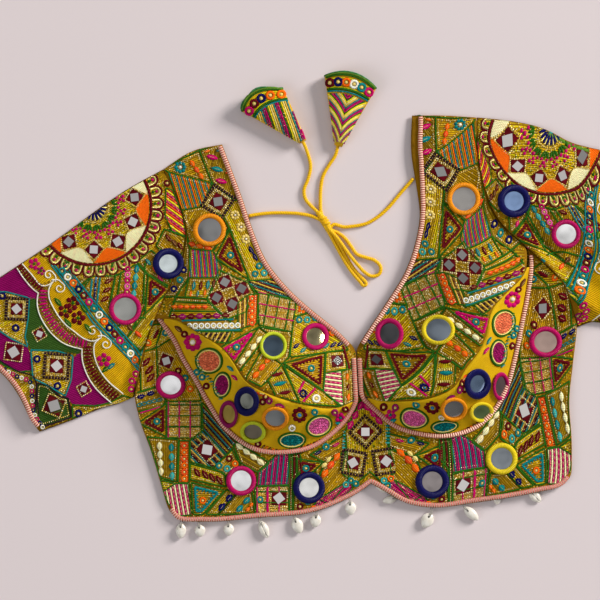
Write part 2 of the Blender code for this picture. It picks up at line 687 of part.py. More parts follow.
def make_cowrie(blouse, number, hem, top, tip, width, tucked):
    """A cowrie lying on its side below the hem, in one with the short thread that it hangs on."""
    top, tip = np.array(top), np.array(tip)
    height = TUCKED_HEIGHT if tucked else COWRIE_HEIGHT
    middle = 0.5 * height + 0.15
    axis = (tip - top) / np.linalg.norm(tip - top)
    across = np.array((-axis[1], axis[0]))
    stations = []
    for share, size in COWRIE_FORM:
        stations.append((top + share * (tip - top), 0.5 * width * size, 0.5 * height * size))
    if not tucked:
        fine_hem = resampled(hem, 0.5)
        seat = fine_hem[np.linalg.norm(fine_hem - top, axis=1).argmin()]
        away = top - seat
        start = seat + away / np.linalg.norm(away) * (GAP + NEIGHBOUR)
        stations.insert(0, (top - 0.5 * axis, 0.5 * THREAD, 0.5 * THREAD))
        if np.linalg.norm(top - start) > THREAD:
            stations.insert(0, (start, 0.5 * THREAD, 0.5 * THREAD))
    points, faces = [], []
    for centre, half_width, half_height in stations:
        for i in range(COWRIE_SIDES):
            turn = 2 * math.pi * i / COWRIE_SIDES
            place = centre + across * half_width * math.cos(turn)
            points.append((*place, middle + half_height * math.sin(turn)))
    for row in range(len(stations) - 1):
        for i in range(COWRIE_SIDES):
            j = (i + 1) % COWRIE_SIDES
            a, b = row * COWRIE_SIDES + i, row * COWRIE_SIDES + j
            faces.append((a, b, b + COWRIE_SIDES, a + COWRIE_SIDES))
    last = (len(stations) - 1) * COWRIE_SIDES
    faces.append(tuple(reversed(range(COWRIE_SIDES))))
    faces.append(tuple(range(last, last + COWRIE_SIDES)))
    blouse.add(f"cowrie_{number:02d}", "cowrie", points, faces, carries=False)


def make_cord(blouse, name, route, diameter=CORD):
    """A stretch of cord as a round tube along a smooth route."""
    curve = bpy.data.curves.new(name, "CURVE")
    curve.dimensions = "3D"
    curve.bevel_depth = 0.5 * diameter * MM
    curve.bevel_resolution = 2
    curve.use_fill_caps = True
    line = to_metres(smooth_curve(route, CORD_STEP))
    spline = curve.splines.new("POLY")
    spline.points.add(len(line) - 1)
    for point, place in zip(spline.points, line):
        point.co = (*place, 1.0)
    curve.materials.append(material(name, "cord"))
    cord = bpy.data.objects.new(name, curve)
    cord.parent = blouse.holder
    bpy.context.collection.objects.link(cord)
    return cord


def make_bow(blouse):
    """The knot with its two loops, as one body."""
    helpers = []
    for name, route, diameter in (("bow_wide", BOW_WIDE, CORD), ("bow_narrow", BOW_NARROW, BOW_LOOP)):
        tube = make_cord(blouse, name + "_route", route, diameter)
        bpy.context.view_layer.update()
        mesh = bpy.data.meshes.new_from_object(tube.evaluated_get(bpy.context.evaluated_depsgraph_get()))
        bpy.data.objects.remove(tube)
        helper = bpy.data.objects.new(name, mesh)
        helper.parent = blouse.holder
        helper.hide_render = True
        helper.display_type = "WIRE"
        bpy.context.collection.objects.link(helper)
        helpers.append(helper)
    bearing = math.atan2(KNOT_END[1] - KNOT[1], KNOT_END[0] - KNOT[0])
    points, faces = ellipsoid(KNOT, KNOT_HALF, bearing)
    bow = blouse.add("dori_bow", "cord", points, faces, carries=False)
    for helper in helpers:
        union = bow.modifiers.new(helper.name, "BOOLEAN")
        union.operation = "UNION"
        union.solver = "EXACT"
        union.use_self = True
        union.object = helper


def ellipsoid(centre, halves, bearing, sides=12, rings=7):
    """A closed ellipsoid whose long axis lies along a bearing in plan."""
    points, faces = [], []
    along = np.array((math.cos(bearing), math.sin(bearing), 0.0))
    across = np.array((-math.sin(bearing), math.cos(bearing), 0.0))
    up = np.array((0.0, 0.0, 1.0))
    middle = np.array(centre)
    for ring in range(1, rings):
        lean = math.pi * ring / rings
        for i in range(sides):
            turn = 2 * math.pi * i / sides
            girth = math.sin(lean)
            sideways = across * halves[1] * math.cos(turn) + up * halves[2] * math.sin(turn)
            points.append(middle - along * halves[0] * math.cos(lean) + girth * sideways)
    for ring in range(rings - 2):
        for i in range(sides):
            a, b = ring * sides + i, ring * sides + (i + 1) % sides
            faces.append((a, b, b + sides, a + sides))
    first, last = len(points), len(points) + 1
    points += [middle - along * halves[0], middle + along * halves[0]]
    end = (rings - 2) * sides
    for i in range(sides):
        j = (i + 1) % sides
        faces.append((j, i, first))
        faces.append((end + i, end + j, last))
    return points, faces


def make_tassel(blouse, name, apex, corner_one, corner_two, bow_out):
    """A cloth cone lying on its side, flattened, open at the rim, with a hole for its cord at the tip."""
    apex, one, two = (np.array(p, float) for p in (apex, corner_one, corner_two))
    middle = 0.5 * (one + two)
    half_rim = 0.5 * np.linalg.norm(two - one)
    across = (two - one) / (2 * half_rim)
    axis = (middle - apex) / np.linalg.norm(middle - apex)
    outer_rings, inner_rings = [], []
    for share in (0.0, 0.2, 0.45, 0.72, 1.0):
        half_width = TASSEL_NECK + share * (half_rim - TASSEL_NECK)
        half_height = TASSEL_NECK + math.sqrt(share) * (TASSEL_MOUTH - TASSEL_NECK)
        outer, inner = [], []
        for i in range(TASSEL_SIDES):
            turn = 2 * math.pi * i / TASSEL_SIDES
            c, s = math.cos(turn), math.sin(turn)
            for ring, wall in ((outer, 0.0), (inner, TASSEL_WALL)):
                place = apex + share * (middle - apex) + axis * bow_out * share**3 * (1 - c * c)
                place = place + across * (half_width - wall) * c
                ring.append((*place, half_height + 0.1 + (half_height - wall) * s))
        outer_rings.append(outer)
        inner_rings.append(inner)
    points, faces = tube_wall(outer_rings, inner_rings)
    blouse.add(name, "tassel", points, faces, carries=False)


def make_blouse():
    """Every piece, from the layer on the table upwards."""
    blouse = Blouse()
    armhole_left = smooth_curve(ARMHOLE_LEFT, FOLD_STEP)
    armhole_right = smooth_curve(ARMHOLE_RIGHT, FOLD_STEP)
    neck_left, neck_right = smooth_curve(NECK_LEFT, SEAM_STEP), smooth_curve(NECK_RIGHT, SEAM_STEP)
    shoulder_left = smooth_curve(SHOULDER_LEFT, SEAM_STEP)
    shoulder_right = smooth_curve(SHOULDER_RIGHT, SEAM_STEP)
    side_left, side_right = smooth_curve(SIDE_LEFT, SEAM_STEP), smooth_curve(SIDE_RIGHT, SEAM_STEP)
    hem_left, hem_right = smooth_curve(HEM_LEFT, SEAM_STEP), smooth_curve(HEM_RIGHT, SEAM_STEP)
    hem = np.vstack([hem_left, hem_right[1:]])
    centre = resampled(np.array([GORE_PEAK, NECK_LEFT[-1]], float), SEAM_STEP)

    left = Cup(armhole_left, CUP_START_LEFT, RIDGE_LEFT, UNDERWIRE_LEFT, neck_left, FOOT_LEFT)
    right = Cup(armhole_right, CUP_START_RIGHT, RIDGE_RIGHT, UNDERWIRE_RIGHT, neck_right, FOOT_RIGHT)

    centre_x = GORE_PEAK[0]
    back_left = (armhole_left, shoulder_left, side_left, BACK_INNER_LEFT, BACK_HEM_LEFT)
    back_right = (armhole_right, shoulder_right, side_right, BACK_INNER_RIGHT, BACK_HEM_RIGHT)
    make_back(blouse, "left", *back_left, centre_x)
    make_back(blouse, "right", *back_right, centre_x)
    make_front(blouse, "left", left, shoulder_left[::-1], centre)
    make_front(blouse, "right", right, shoulder_right[::-1], centre)
    make_waist(blouse, left, right, side_left, side_right, hem)
    sleeve_hems = {}
    for side, armhole, top, under, edge in (
        ("left", armhole_left, SLEEVE_TOP_LEFT, SLEEVE_UNDER_LEFT, SLEEVE_HEM_LEFT),
        ("right", armhole_right, SLEEVE_TOP_RIGHT, SLEEVE_UNDER_RIGHT, SLEEVE_HEM_RIGHT),
    ):
        top_fold, under_seam, hem_edge = (smooth_curve(line, FOLD_STEP) for line in (top, under, edge))
        sleeve_hems[side] = hem_edge
        make_sleeve(blouse, side, armhole, top_fold, under_seam, hem_edge)

    make_trim(blouse, "neck_trim_left", shortened(parallel(neck_left, -TRIM_INSET), 1, 8))
    make_trim(blouse, "neck_trim_right", shortened(parallel(neck_right, TRIM_INSET), 1, 8))
    for side, cup, offset in (("left", left, -CENTRE_TRIM), ("right", right, CENTRE_TRIM)):
        up_centre = resampled(np.array([GORE_PEAK, (356.6, 243)], float) + (offset, 0.0), SEAM_STEP)
        from_peak = np.linalg.norm(cup.underwire - np.array(GORE_PEAK), axis=1)
        round_cup = cup.underwire[from_peak > 3 * CENTRE_TRIM]
        path = smooth_curve(np.vstack([round_cup, up_centre[1:]]), SEAM_STEP)
        make_trim(blouse, f"cup_trim_{side}", shortened(path, 4, 1), VALLEY_GAP)
    make_trim(blouse, "hem_trim", shortened(parallel(hem, TRIM_INSET), 3, 3))
    make_trim(blouse, "sleeve_trim_left", shortened(parallel(sleeve_hems["left"], TRIM_INSET), 5, 5))
    make_trim(blouse, "sleeve_trim_right", shortened(parallel(sleeve_hems["right"], -TRIM_INSET), 5, 5))

    for number, row in enumerate(MIRRORS, 1):
        make_mirror(blouse, number, *row)
    for number, (x1, y1, x2, y2, width, tucked) in enumerate(COWRIES, 1):
        make_cowrie(blouse, number, hem, (x1, y1), (x2, y2), width, tucked)
    make_cord(blouse, "dori_left", DORI_LEFT)
    make_cord(blouse, "dori_right", DORI_RIGHT)
    make_cord(blouse, "dori_tail_left", TAIL_LEFT)
    make_cord(blouse, "dori_tail_right", TAIL_RIGHT)
    make_bow(blouse)
    for name, (apex, one, two, bow_out) in TASSELS.items():
        make_tassel(blouse, name, apex, one, two, bow_out)


for old in list(bpy.data.objects):
    bpy.data.objects.remove(old)
make_blouse()
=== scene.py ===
"""Looks of a choli blouse laid flat: cloth, mirror-work embroidery, piping, tie cord, tassels and cowries.

Plans are drawn on a board in millimetres, with x to the right and y up; the pattern tables are drawn with y down
from the board's top edge. Everything is placed in the frame of the CAD model, in metres.
"""

import json
import logging
import math
from dataclasses import dataclass, field
from enum import Enum
from typing import Iterable, Optional, Sequence

import bmesh
import bpy
import numpy as np
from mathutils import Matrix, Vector
from mathutils.bvhtree import BVHTree

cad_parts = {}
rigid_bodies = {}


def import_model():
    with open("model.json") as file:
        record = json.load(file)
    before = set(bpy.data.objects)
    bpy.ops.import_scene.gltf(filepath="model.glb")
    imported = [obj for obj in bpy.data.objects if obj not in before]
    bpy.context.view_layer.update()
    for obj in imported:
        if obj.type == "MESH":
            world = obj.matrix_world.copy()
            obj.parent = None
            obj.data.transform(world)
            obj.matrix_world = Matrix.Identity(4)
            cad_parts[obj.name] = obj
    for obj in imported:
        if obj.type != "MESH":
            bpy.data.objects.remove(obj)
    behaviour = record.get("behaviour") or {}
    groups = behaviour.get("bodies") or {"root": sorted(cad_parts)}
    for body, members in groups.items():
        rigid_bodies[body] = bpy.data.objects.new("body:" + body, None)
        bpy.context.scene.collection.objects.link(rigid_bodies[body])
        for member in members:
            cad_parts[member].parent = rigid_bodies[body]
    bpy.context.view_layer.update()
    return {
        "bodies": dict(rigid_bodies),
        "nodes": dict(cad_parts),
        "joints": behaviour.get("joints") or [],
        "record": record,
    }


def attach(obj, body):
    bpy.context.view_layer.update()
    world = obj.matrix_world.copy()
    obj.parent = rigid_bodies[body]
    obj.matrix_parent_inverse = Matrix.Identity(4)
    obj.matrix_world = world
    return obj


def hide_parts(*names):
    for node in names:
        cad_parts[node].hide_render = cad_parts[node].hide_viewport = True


log = logging.getLogger("choli")

MM = 0.001
# Where the model's origin lies on the board, and the board's height.
ORIGIN = np.array((332.4, 273.0))
BOARD_TOP = 600.0
# How far the middle of the piping stands from the edge that it covers, in millimetres.
PIPING_REACH = 2.9

Point = tuple[float, float]
Place = tuple[float, float, float]
Colour = tuple[float, float, float]


@dataclass(frozen=True)
class Half:
    """The edges and seams of one side of the front, and its sleeve's, on the board."""

    out: int
    neck: tuple[Point, ...]
    shoulder: tuple[Point, ...]
    armhole: tuple[Point, ...]
    cup_start: Point
    side: tuple[Point, ...]
    hem: tuple[Point, ...]
    underwire: tuple[Point, ...]
    ridge: tuple[Point, ...]
    sleeve_top: tuple[Point, ...]
    sleeve_under: tuple[Point, ...]
    sleeve_hem: tuple[Point, ...]


# The top of the gore, where the two cups meet.
GORE_PEAK = (358.5, 206)
LEFT = Half(
    out=1,
    neck=((222, 456), (232, 430), (243, 400), (253, 370), (266, 340), (290, 310), (312, 290), (337, 270), (356, 251)),
    shoulder=((163, 431), (193, 450), (222, 456)),
    armhole=((163, 431), (168, 422), (181, 390), (186, 365), (184, 350), (175, 325), (163, 300), (152, 275), (143, 245),
             (134, 203)),
    cup_start=(157, 286),
    side=((134, 203), (139, 180), (150, 150), (159, 120), (167, 92)),
    hem=((167, 92), (175, 81), (203, 77.7), (257, 81.5), (316, 88), (340, 97), (362, 109), (371, 116)),
    underwire=((163, 276), (174, 260), (182.5, 242), (196, 219.5), (206, 201), (227, 170), (258, 150), (288, 148),
               (311, 153), (334, 168), (352, 190)),
    ridge=((174, 281), (200, 266), (223, 252), (234, 238), (245, 220), (273, 205), (304, 196), (334, 192), (350, 197)),
    sleeve_top=((163, 431), (125, 410), (96, 390), (69, 370), (41, 350), (10, 330), (-28, 304), (-60, 283)),
    sleeve_under=((134, 203), (127, 199), (102, 192), (75, 181), (39, 168)),
    sleeve_hem=((-60, 283), (-36, 258), (0, 228), (12, 215), (23, 196), (30, 179), (39, 168)),
)
RIGHT = Half(
    out=-1,
    neck=((412, 485), (411, 450), (417, 410), (420, 385), (416, 360), (406, 330), (388, 300), (368, 270), (356, 251)),
    shoulder=((477, 483), (445, 485), (412, 485)),
    armhole=((477, 483), (478, 445), (485, 410), (498, 380), (519, 360), (542, 339), (562, 319), (578, 273)),
    cup_start=(531, 349),
    side=((578, 273), (573, 230), (570, 200), (572.5, 160), (572.5, 124)),
    hem=((572.5, 124), (565, 115), (536, 107), (474, 96.6), (433, 91.7), (404, 97), (388, 106.4), (371, 116)),
    underwire=((531, 330), (529, 312), (522, 275), (516, 245), (507.5, 214), (494, 189), (478, 174), (448, 164),
               (420, 166), (395, 174), (376.5, 189)),
    ridge=((525, 328), (503, 305), (489, 288), (486, 270), (478, 249), (464, 232), (454, 214), (428, 202), (398, 199),
           (376, 200)),
    sleeve_top=((477, 483), (508, 480), (550, 470), (570, 458), (600, 451), (660, 432), (722, 412)),
    sleeve_under=((578, 273), (590, 278), (610, 276), (650, 274), (700, 272)),
    sleeve_hem=((722, 412), (725, 370), (716, 320), (700, 272)),
)
HALVES = {"left": LEFT, "right": RIGHT}

# Soft creases of the cloth, y down: points, height in millimetres (below zero for a trough), half width.
SLEEVE_CREASES_LEFT = (
    (((176, 300), (150, 322), (118, 338)), 3.2, 9.0),
    (((168, 318), (150, 350), (134, 388)), 3.0, 6.0),
    (((158, 322), (136, 352), (118, 392)), -2.6, 6.5),
    (((140, 330), (112, 362), (96, 400)), 1.8, 8.0),
    (((96, 300), (70, 340), (56, 380)), -1.2, 9.0),
    (((60, 250), (30, 292), (-6, 330)), 1.4, 11.0),
    (((20, 262), (-8, 300), (-34, 326)), -1.5, 8.0),
    (((128, 384), (120, 372), (104, 366)), -2.2, 5.0),
)
SLEEVE_CREASES_RIGHT = (
    (((486, 190), (497, 214), (513, 234), (530, 247), (546, 264), (566, 284)), 4.2, 6.0),
    (((498, 176), (509, 204), (525, 224), (542, 238), (560, 258), (580, 290)), -3.2, 6.5),
    (((520, 210), (540, 224), (562, 250), (588, 300)), 2.2, 7.0),
    (((548, 180), (572, 214), (600, 240), (640, 268)), 1.5, 10.0),
    (((560, 208), (590, 250), (622, 288)), -1.7, 8.0),
    (((620, 176), (650, 220), (668, 280)), 1.6, 10.0),
    (((650, 190), (684, 236), (700, 292)), -1.4, 8.0),
    (((574, 318), (592, 300), (620, 292)), 2.0, 6.0),
)
BODY_CREASES = (
    (((137, 398), (158, 394), (182, 402)), -1.4, 6.0),
    (((146, 428), (176, 436), (214, 452)), -1.0, 8.0),
    (((150, 412), (178, 414), (200, 424)), 0.9, 6.0),
    (((187, 240), (204, 258), (216, 282)), -1.4, 6.0),
    (((184, 262), (198, 290), (206, 312)), 1.2, 6.0),
    (((572, 356), (548, 366), (526, 384)), -1.2, 7.0),
    (((571, 392), (546, 396), (516, 412)), 1.0, 7.0),
    (((484, 196), (470, 222), (458, 250)), -1.5, 6.0),
    (((486, 222), (478, 246), (480, 262)), 1.3, 5.0),
    (((236, 478), (262, 490), (292, 500)), -0.8, 8.0),
    (((438, 470), (470, 462), (506, 468)), -0.8, 8.0),
    (((176, 160), (198, 182), (214, 216)), -0.7, 9.0),
    (((462, 130), (452, 160), (446, 200)), -0.7, 9.0),
)
BACK_CREASES = (
    (((180, 380), (230, 392), (300, 386)), 0.5, 9.0),
    (((210, 440), (260, 430), (340, 438)), 0.4, 12.0),
    (((420, 400), (480, 388), (540, 396)), 0.5, 9.0),
    (((400, 446), (470, 436), (536, 430)), 0.4, 11.0),
    (((190, 260), (206, 300), (212, 340)), 0.4, 8.0),
    (((500, 240), (486, 280), (492, 320)), 0.4, 8.0),
)


def paint(red: float, green: float, blue: float) -> Colour:
    """A colour given as a paint chart gives it, from 0 to 255, as linear light."""
    return tuple((c / 255 / 12.92) if c <= 10 else ((c / 255 + 0.055) / 1.055) ** 2.4 for c in (red, green, blue))


class Silk(Enum):
    """The embroiderer's thread, bead and cloth colours."""

    MUSTARD = paint(216, 168, 4)
    SUN = paint(228, 176, 6)
    BRIGHT = paint(250, 206, 6)
    OLIVE = paint(162, 130, 4)
    GOLD = paint(208, 168, 60)
    PALE_GOLD = paint(232, 206, 120)
    CREAM = paint(238, 222, 170)
    WHITE = paint(238, 228, 210)
    GREEN = paint(38, 92, 16)
    LEAF = paint(52, 118, 62)
    GRASS = paint(86, 124, 36)
    LIME = paint(196, 208, 40)
    TEAL = paint(8, 118, 118)
    AQUA = paint(50, 156, 150)
    NAVY = paint(10, 10, 78)
    INK = paint(40, 18, 30)
    BLUE = paint(46, 120, 170)
    MAGENTA = paint(184, 4, 92)
    PINK = paint(232, 96, 158)
    WINE = paint(140, 16, 84)
    MAROON = paint(92, 6, 18)
    BROWN = paint(96, 52, 26)
    ORANGE = paint(240, 96, 8)
    AMBER = paint(240, 146, 14)
    RUST = paint(222, 74, 24)
    CORAL = paint(232, 112, 74)
    YELLOW = paint(232, 206, 30)
    GLASS = paint(212, 208, 206)
    # Mirror glass tinted darker: painted shade on the reflection of the square mirrors that take it.
    DIMMED_REFLECTION_GLASS = paint(150, 150, 148)
    PLUM = paint(150, 2, 96)
    MOSS = paint(56, 92, 28)


def down(points: Sequence[Point]) -> np.ndarray:
    """Board points from ones with y down.

    Args:
        points: plan points with y measured down from the board's top edge.

    Returns:
        The same points with y up.
    """
    flat = np.array(points, float).reshape(-1, 2)
    return np.column_stack([flat[:, 0], BOARD_TOP - flat[:, 1]])


def to_model(points: np.ndarray) -> np.ndarray:
    """Board points in millimetres, with their heights, as model points in metres.

    Args:
        points: rows of x, y, z.

    Returns:
        Rows of x, y, z in the model's frame.
    """
    moved = np.array(points, float)
    moved[:, :2] -= ORIGIN
    return moved * MM


def unit(rows: np.ndarray) -> np.ndarray:
    """Rows scaled to a length of one."""
    return rows / np.maximum(np.linalg.norm(rows, axis=1), 1e-9)[:, None]


def travelled(line: np.ndarray) -> np.ndarray:
    """How far along a line each of its points is."""
    return np.concatenate([[0], np.cumsum(np.linalg.norm(np.diff(line, axis=0), axis=1))])


def axes(angle: float) -> np.ndarray:
    """The way at an angle in degrees and the way to its left, as rows."""
    turn = math.radians(angle)
    return np.array(((math.cos(turn), math.sin(turn)), (-math.sin(turn), math.cos(turn))))


def heading(way: Sequence[float]) -> float:
    """The direction of a plan vector, in degrees."""
    return math.degrees(math.atan2(way[1], way[0]))


def closed(ring: np.ndarray) -> np.ndarray:
    """A ring with its first point again at its end."""
    return np.vstack([ring, ring[:1]])


def stations(start: np.ndarray, end: np.ndarray, step: float) -> np.ndarray:
    """Points along a row of stitches, no more than a step or so apart."""
    count = max(2, int(np.linalg.norm(end - start) / step) + 1)
    return start + np.linspace(0, 1, count)[:, None] * (end - start)


def tube_quads(rows: int, sides: int) -> np.ndarray:
    """The faces of an open tube made of rings that all have the same number of points.

    Args:
        rows: how many rings there are.
        sides: how many points each has.

    Returns:
        Rows of four corners.
    """
    row, column = np.meshgrid(np.arange(rows - 1), np.arange(sides), indexing="ij")
    a, b = (row * sides + column).ravel(), (row * sides + (column + 1) % sides).ravel()
    return np.column_stack([a, b, b + sides, a + sides])


def resampled(line: np.ndarray, step: float) -> np.ndarray:
    """A line with its points evenly spaced.

    Args:
        line: rows of coordinates.
        step: about how far apart the points are to be.

    Returns:
        The respaced rows.
    """
    along = travelled(line)
    count = max(1, round(along[-1] / step))
    places = np.linspace(0, along[-1], count + 1)
    return np.column_stack([np.interp(places, along, line[:, k]) for k in range(line.shape[1])])


def smooth_curve(points: Sequence[Sequence[float]], step: float) -> np.ndarray:
    """A smooth curve through points.

    Args:
        points: the points it passes through, in 2 or 3 dimensions.
        step: about how far apart its own points are.

    Returns:
        The curve's points as rows.
    """
    p = np.array(points, dtype=float)
    spans = np.linalg.norm(np.diff(p, axis=0), axis=1)
    slopes = np.diff(p, axis=0) / spans[:, None]
    tangents = np.vstack([slopes[:1], slopes[-1:]])
    if len(p) > 2:
        before, after = spans[:-1, None], spans[1:, None]
        inner = (slopes[:-1] * after + slopes[1:] * before) / (before + after)
        tangents = np.vstack([slopes[:1], inner, slopes[-1:]])
    fine = [p[:1]]
    t = np.linspace(0, 1, 17)[1:, None]
    for i, span in enumerate(spans):
        start, end = (2 * t**3 - 3 * t**2 + 1), (3 * t**2 - 2 * t**3)
        leave, arrive = (t**3 - 2 * t**2 + t) * span, (t**3 - t**2) * span
        fine.append(start * p[i] + end * p[i + 1] + leave * tangents[i] + arrive * tangents[i + 1])
    return resampled(np.vstack(fine), step)


def hem_line(step: float) -> np.ndarray:
    """The front's hem from side to side."""
    return np.vstack([smooth_curve(LEFT.hem, step), smooth_curve(RIGHT.hem[::-1], step)[1:]])


def parallel(line: np.ndarray, offset: float) -> np.ndarray:
    """A plan line moved sideways, to its left where the offset is positive."""
    ahead = unit(np.gradient(line, axis=0))
    return line + offset * np.column_stack([-ahead[:, 1], ahead[:, 0]])


def shortened(line: np.ndarray, start: float, end: float) -> np.ndarray:
    """A line with a length cut off at each end, in millimetres."""
    fine = resampled(line, 1.0)
    return fine[round(start) : len(fine) - round(end)]


def nearest_on(points: np.ndarray, line: np.ndarray) -> tuple[np.ndarray, np.ndarray]:
    """The nearest places on a line.

    Args:
        points: plan points.
        line: an open line's points.

    Returns:
        The nearest point of the line for each, and how far away it is.
    """
    a, b = line[:-1], line[1:]
    ab = b - a
    t = ((points[:, None] - a) * ab).sum(axis=2) / np.maximum((ab**2).sum(axis=1), 1e-9)
    near = a + np.clip(t, 0, 1)[..., None] * ab
    away = np.linalg.norm(points[:, None] - near, axis=2)
    best = away.argmin(axis=1)
    rows = np.arange(len(points))
    return near[rows, best], away[rows, best]


def is_inside(points: np.ndarray, outline: np.ndarray) -> np.ndarray:
    """Whether each plan point lies inside a closed outline.

    Args:
        points: plan points.
        outline: a closed plan outline.

    Returns:
        True for each point inside it.
    """
    x, y = points[:, :1], points[:, 1:]
    a, b = outline, np.roll(outline, -1, axis=0)
    crosses = (a[:, 1] > y) != (b[:, 1] > y)
    rise = np.where(b[:, 1] == a[:, 1], 1.0, b[:, 1] - a[:, 1])
    at = a[:, 0] + (y - a[:, 1]) * (b[:, 0] - a[:, 0]) / rise
    return (crosses & (x < at)).sum(axis=1) % 2 == 1


def hatch(outline: np.ndarray, angle: float, pitch: float, shift: float = 0.5) -> list[tuple[np.ndarray, np.ndarray]]:
    """Parallel rows across an outline.

    Args:
        outline: a closed plan outline.
        angle: the rows' direction in degrees.
        pitch: how far apart they are.
        shift: where the first row lies, as a share of the pitch.

    Returns:
        The start and end of each row.
    """
    along, across = axes(angle)
    u, v = outline @ along, outline @ across
    rows = []
    following_u, following_v = np.roll(u, -1), np.roll(v, -1)
    for level in np.arange(v.min() + shift * pitch, v.max(), pitch):
        crossing = (v > level) != (following_v > level)
        if not crossing.any():
            continue
        share = (level - v[crossing]) / (following_v[crossing] - v[crossing])
        places = np.sort(u[crossing] + share * (following_u[crossing] - u[crossing]))
        for start, end in zip(places[::2], places[1::2]):
            if end - start > 0.8:
                rows.append((along * start + across * level, along * end + across * level))
    return rows


def square(centre: Sequence[float], half: float, angle: float) -> np.ndarray:
    """A square's corners."""
    return np.array(centre) + np.array(((-1, -1), (1, -1), (1, 1), (-1, 1)), float) * half @ axes(angle)


def shrunk(outline: np.ndarray, amount: float) -> np.ndarray:
    """A simple outline moved in by an amount, whichever way round it runs.

    Args:
        outline: a closed plan outline.
        amount: how far it moves, in millimetres.

    Returns:
        The smaller outline.
    """
    following = np.roll(outline, -1, axis=0)
    area = (outline[:, 0] * following[:, 1] - outline[:, 1] * following[:, 0]).sum()
    ring = outline if area > 0 else outline[::-1]
    ahead = unit(np.roll(ring, -1, axis=0) - ring)
    inward = np.column_stack([-ahead[:, 1], ahead[:, 0]])
    both = inward + np.roll(inward, 1, axis=0)
    length = np.maximum(np.linalg.norm(both, axis=1), 0.6)
    return ring + both / length[:, None] * (amount * 2 / length)[:, None]


@dataclass
class Workbench:
    """Makes, links and finishes mesh objects."""

    nodes: dict[str, bpy.types.Object] = field(default_factory=dict)

    @staticmethod
    def choose(*pieces: bpy.types.Object) -> None:
        """Selects pieces and nothing else, and makes the first one active.

        Args:
            pieces: the objects, the active one first.
        """
        for each in bpy.context.view_layer.objects:
            each.select_set(False)
        for piece in pieces:
            piece.select_set(True)
        if pieces:
            bpy.context.view_layer.objects.active = pieces[0]

    def join(self, *pieces: bpy.types.Object) -> bpy.types.Object:
        """Joins pieces into the first one.

        Args:
            pieces: the objects, the active one first.

        Returns:
            The first object, with the others in it.
        """
        self.choose(*pieces)
        bpy.ops.object.join()
        return pieces[0]

    @staticmethod
    def link(name: str, mesh: bpy.types.Mesh) -> bpy.types.Object:
        """Links a mesh into the scene as a new object.

        Args:
            name: the object's name.
            mesh: its mesh.

        Returns:
            The object.
        """
        piece = bpy.data.objects.new(name, mesh)
        bpy.context.scene.collection.objects.link(piece)
        return piece

    @staticmethod
    def declare(piece: bpy.types.Object, slot: str, *nodes: str) -> None:
        """Args:
            piece: the object.
            slot: not used.
            nodes: the solids that it stands for.
        """
        if nodes:
            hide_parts(*nodes)
        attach(piece, "root")

    @staticmethod
    def dye(mesh: bpy.types.Mesh, colours: np.ndarray) -> None:
        """Keeps a colour for each point as the attribute dye."""
        kept = mesh.color_attributes.new("dye", "FLOAT_COLOR", "POINT")
        kept.data.foreach_set("color", np.column_stack([colours, np.ones(len(colours))]).astype(np.float32).ravel())

    def from_arrays(
        self, name: str, points: np.ndarray, faces: Sequence[np.ndarray], materials: Sequence[bpy.types.Material],
        colours: np.ndarray, uv: np.ndarray, slots: np.ndarray,
    ) -> bpy.types.Object:
        """A mesh object from arrays.

        Args:
            name: the object's name.
            points: rows of x, y, z in metres.
            faces: blocks of faces, each block with one number of corners.
            materials: the materials, in slot order.
            colours: a colour for each point.
            uv: a pair for each point.
            slots: the material slot of each face.

        Returns:
            The linked object.
        """
        blocks = [np.asarray(block, np.int32) for block in faces if len(block)]
        mesh = bpy.data.meshes.new(name)
        mesh.vertices.add(len(points))
        mesh.vertices.foreach_set("co", np.asarray(points, np.float32).ravel())
        corners = np.concatenate([block.ravel() for block in blocks])
        sizes = np.concatenate([np.full(len(block), block.shape[1], np.int32) for block in blocks])
        mesh.loops.add(len(corners))
        mesh.loops.foreach_set("vertex_index", corners)
        mesh.polygons.add(len(sizes))
        mesh.polygons.foreach_set("loop_start", np.concatenate([[0], np.cumsum(sizes)[:-1]]).astype(np.int32))
        mesh.polygons.foreach_set("material_index", np.asarray(slots, np.int32))
        for material in materials:
            mesh.materials.append(material)
        layer = mesh.uv_layers.new(name="threads")
        layer.data.foreach_set("uv", np.asarray(uv, np.float32)[corners].ravel())
        self.dye(mesh, colours)
        mesh.update(calc_edges=True)
        mesh.validate()
        mesh.shade_smooth()
        return self.link(name, mesh)

    def shell_from(self, node: str, name: str, levels: int, sharp: float = 0.9) -> bpy.types.Object:
        """A smooth cloth shell on the form of one plain solid.

        Args:
            node: the solid's name.
            name: the shell's name.
            levels: how often it is subdivided.
            sharp: the edge angle, in radians, from which a rim stays crisp.

        Returns:
            The shell, its subdivision applied.
        """
        mesh = self.nodes[node].data.copy()
        mesh.materials.clear()
        shell = self.link(name, mesh)
        work = bmesh.new()
        work.from_mesh(mesh)
        bmesh.ops.remove_doubles(work, verts=work.verts, dist=1e-6)
        bmesh.ops.join_triangles(
            work, faces=work.faces, cmp_seam=False, cmp_sharp=False, cmp_uvs=False, cmp_vcols=False,
            cmp_materials=False, angle_face_threshold=0.5, angle_shape_threshold=1.1,
        )
        crease = work.edges.layers.float.get("crease_edge") or work.edges.layers.float.new("crease_edge")
        for edge in work.edges:
            if len(edge.link_faces) == 2 and edge.calc_face_angle(0.0) > sharp:
                edge[crease] = 1.0
        work.to_mesh(mesh)
        work.free()
        self.choose(shell)
        rounding = shell.modifiers.new("rounding", "SUBSURF")
        rounding.levels = rounding.render_levels = levels
        bpy.ops.object.modifier_apply(modifier=rounding.name)
        shell.data.shade_smooth()
        return shell


def points_of(piece: bpy.types.Object) -> np.ndarray:
    """A mesh object's vertices as rows, in metres.

    Args:
        piece: the object.

    Returns:
        Rows of x, y, z.
    """
    held = np.zeros(3 * len(piece.data.vertices), np.float32)
    piece.data.vertices.foreach_get("co", held)
    return held.reshape(-1, 3).astype(float)


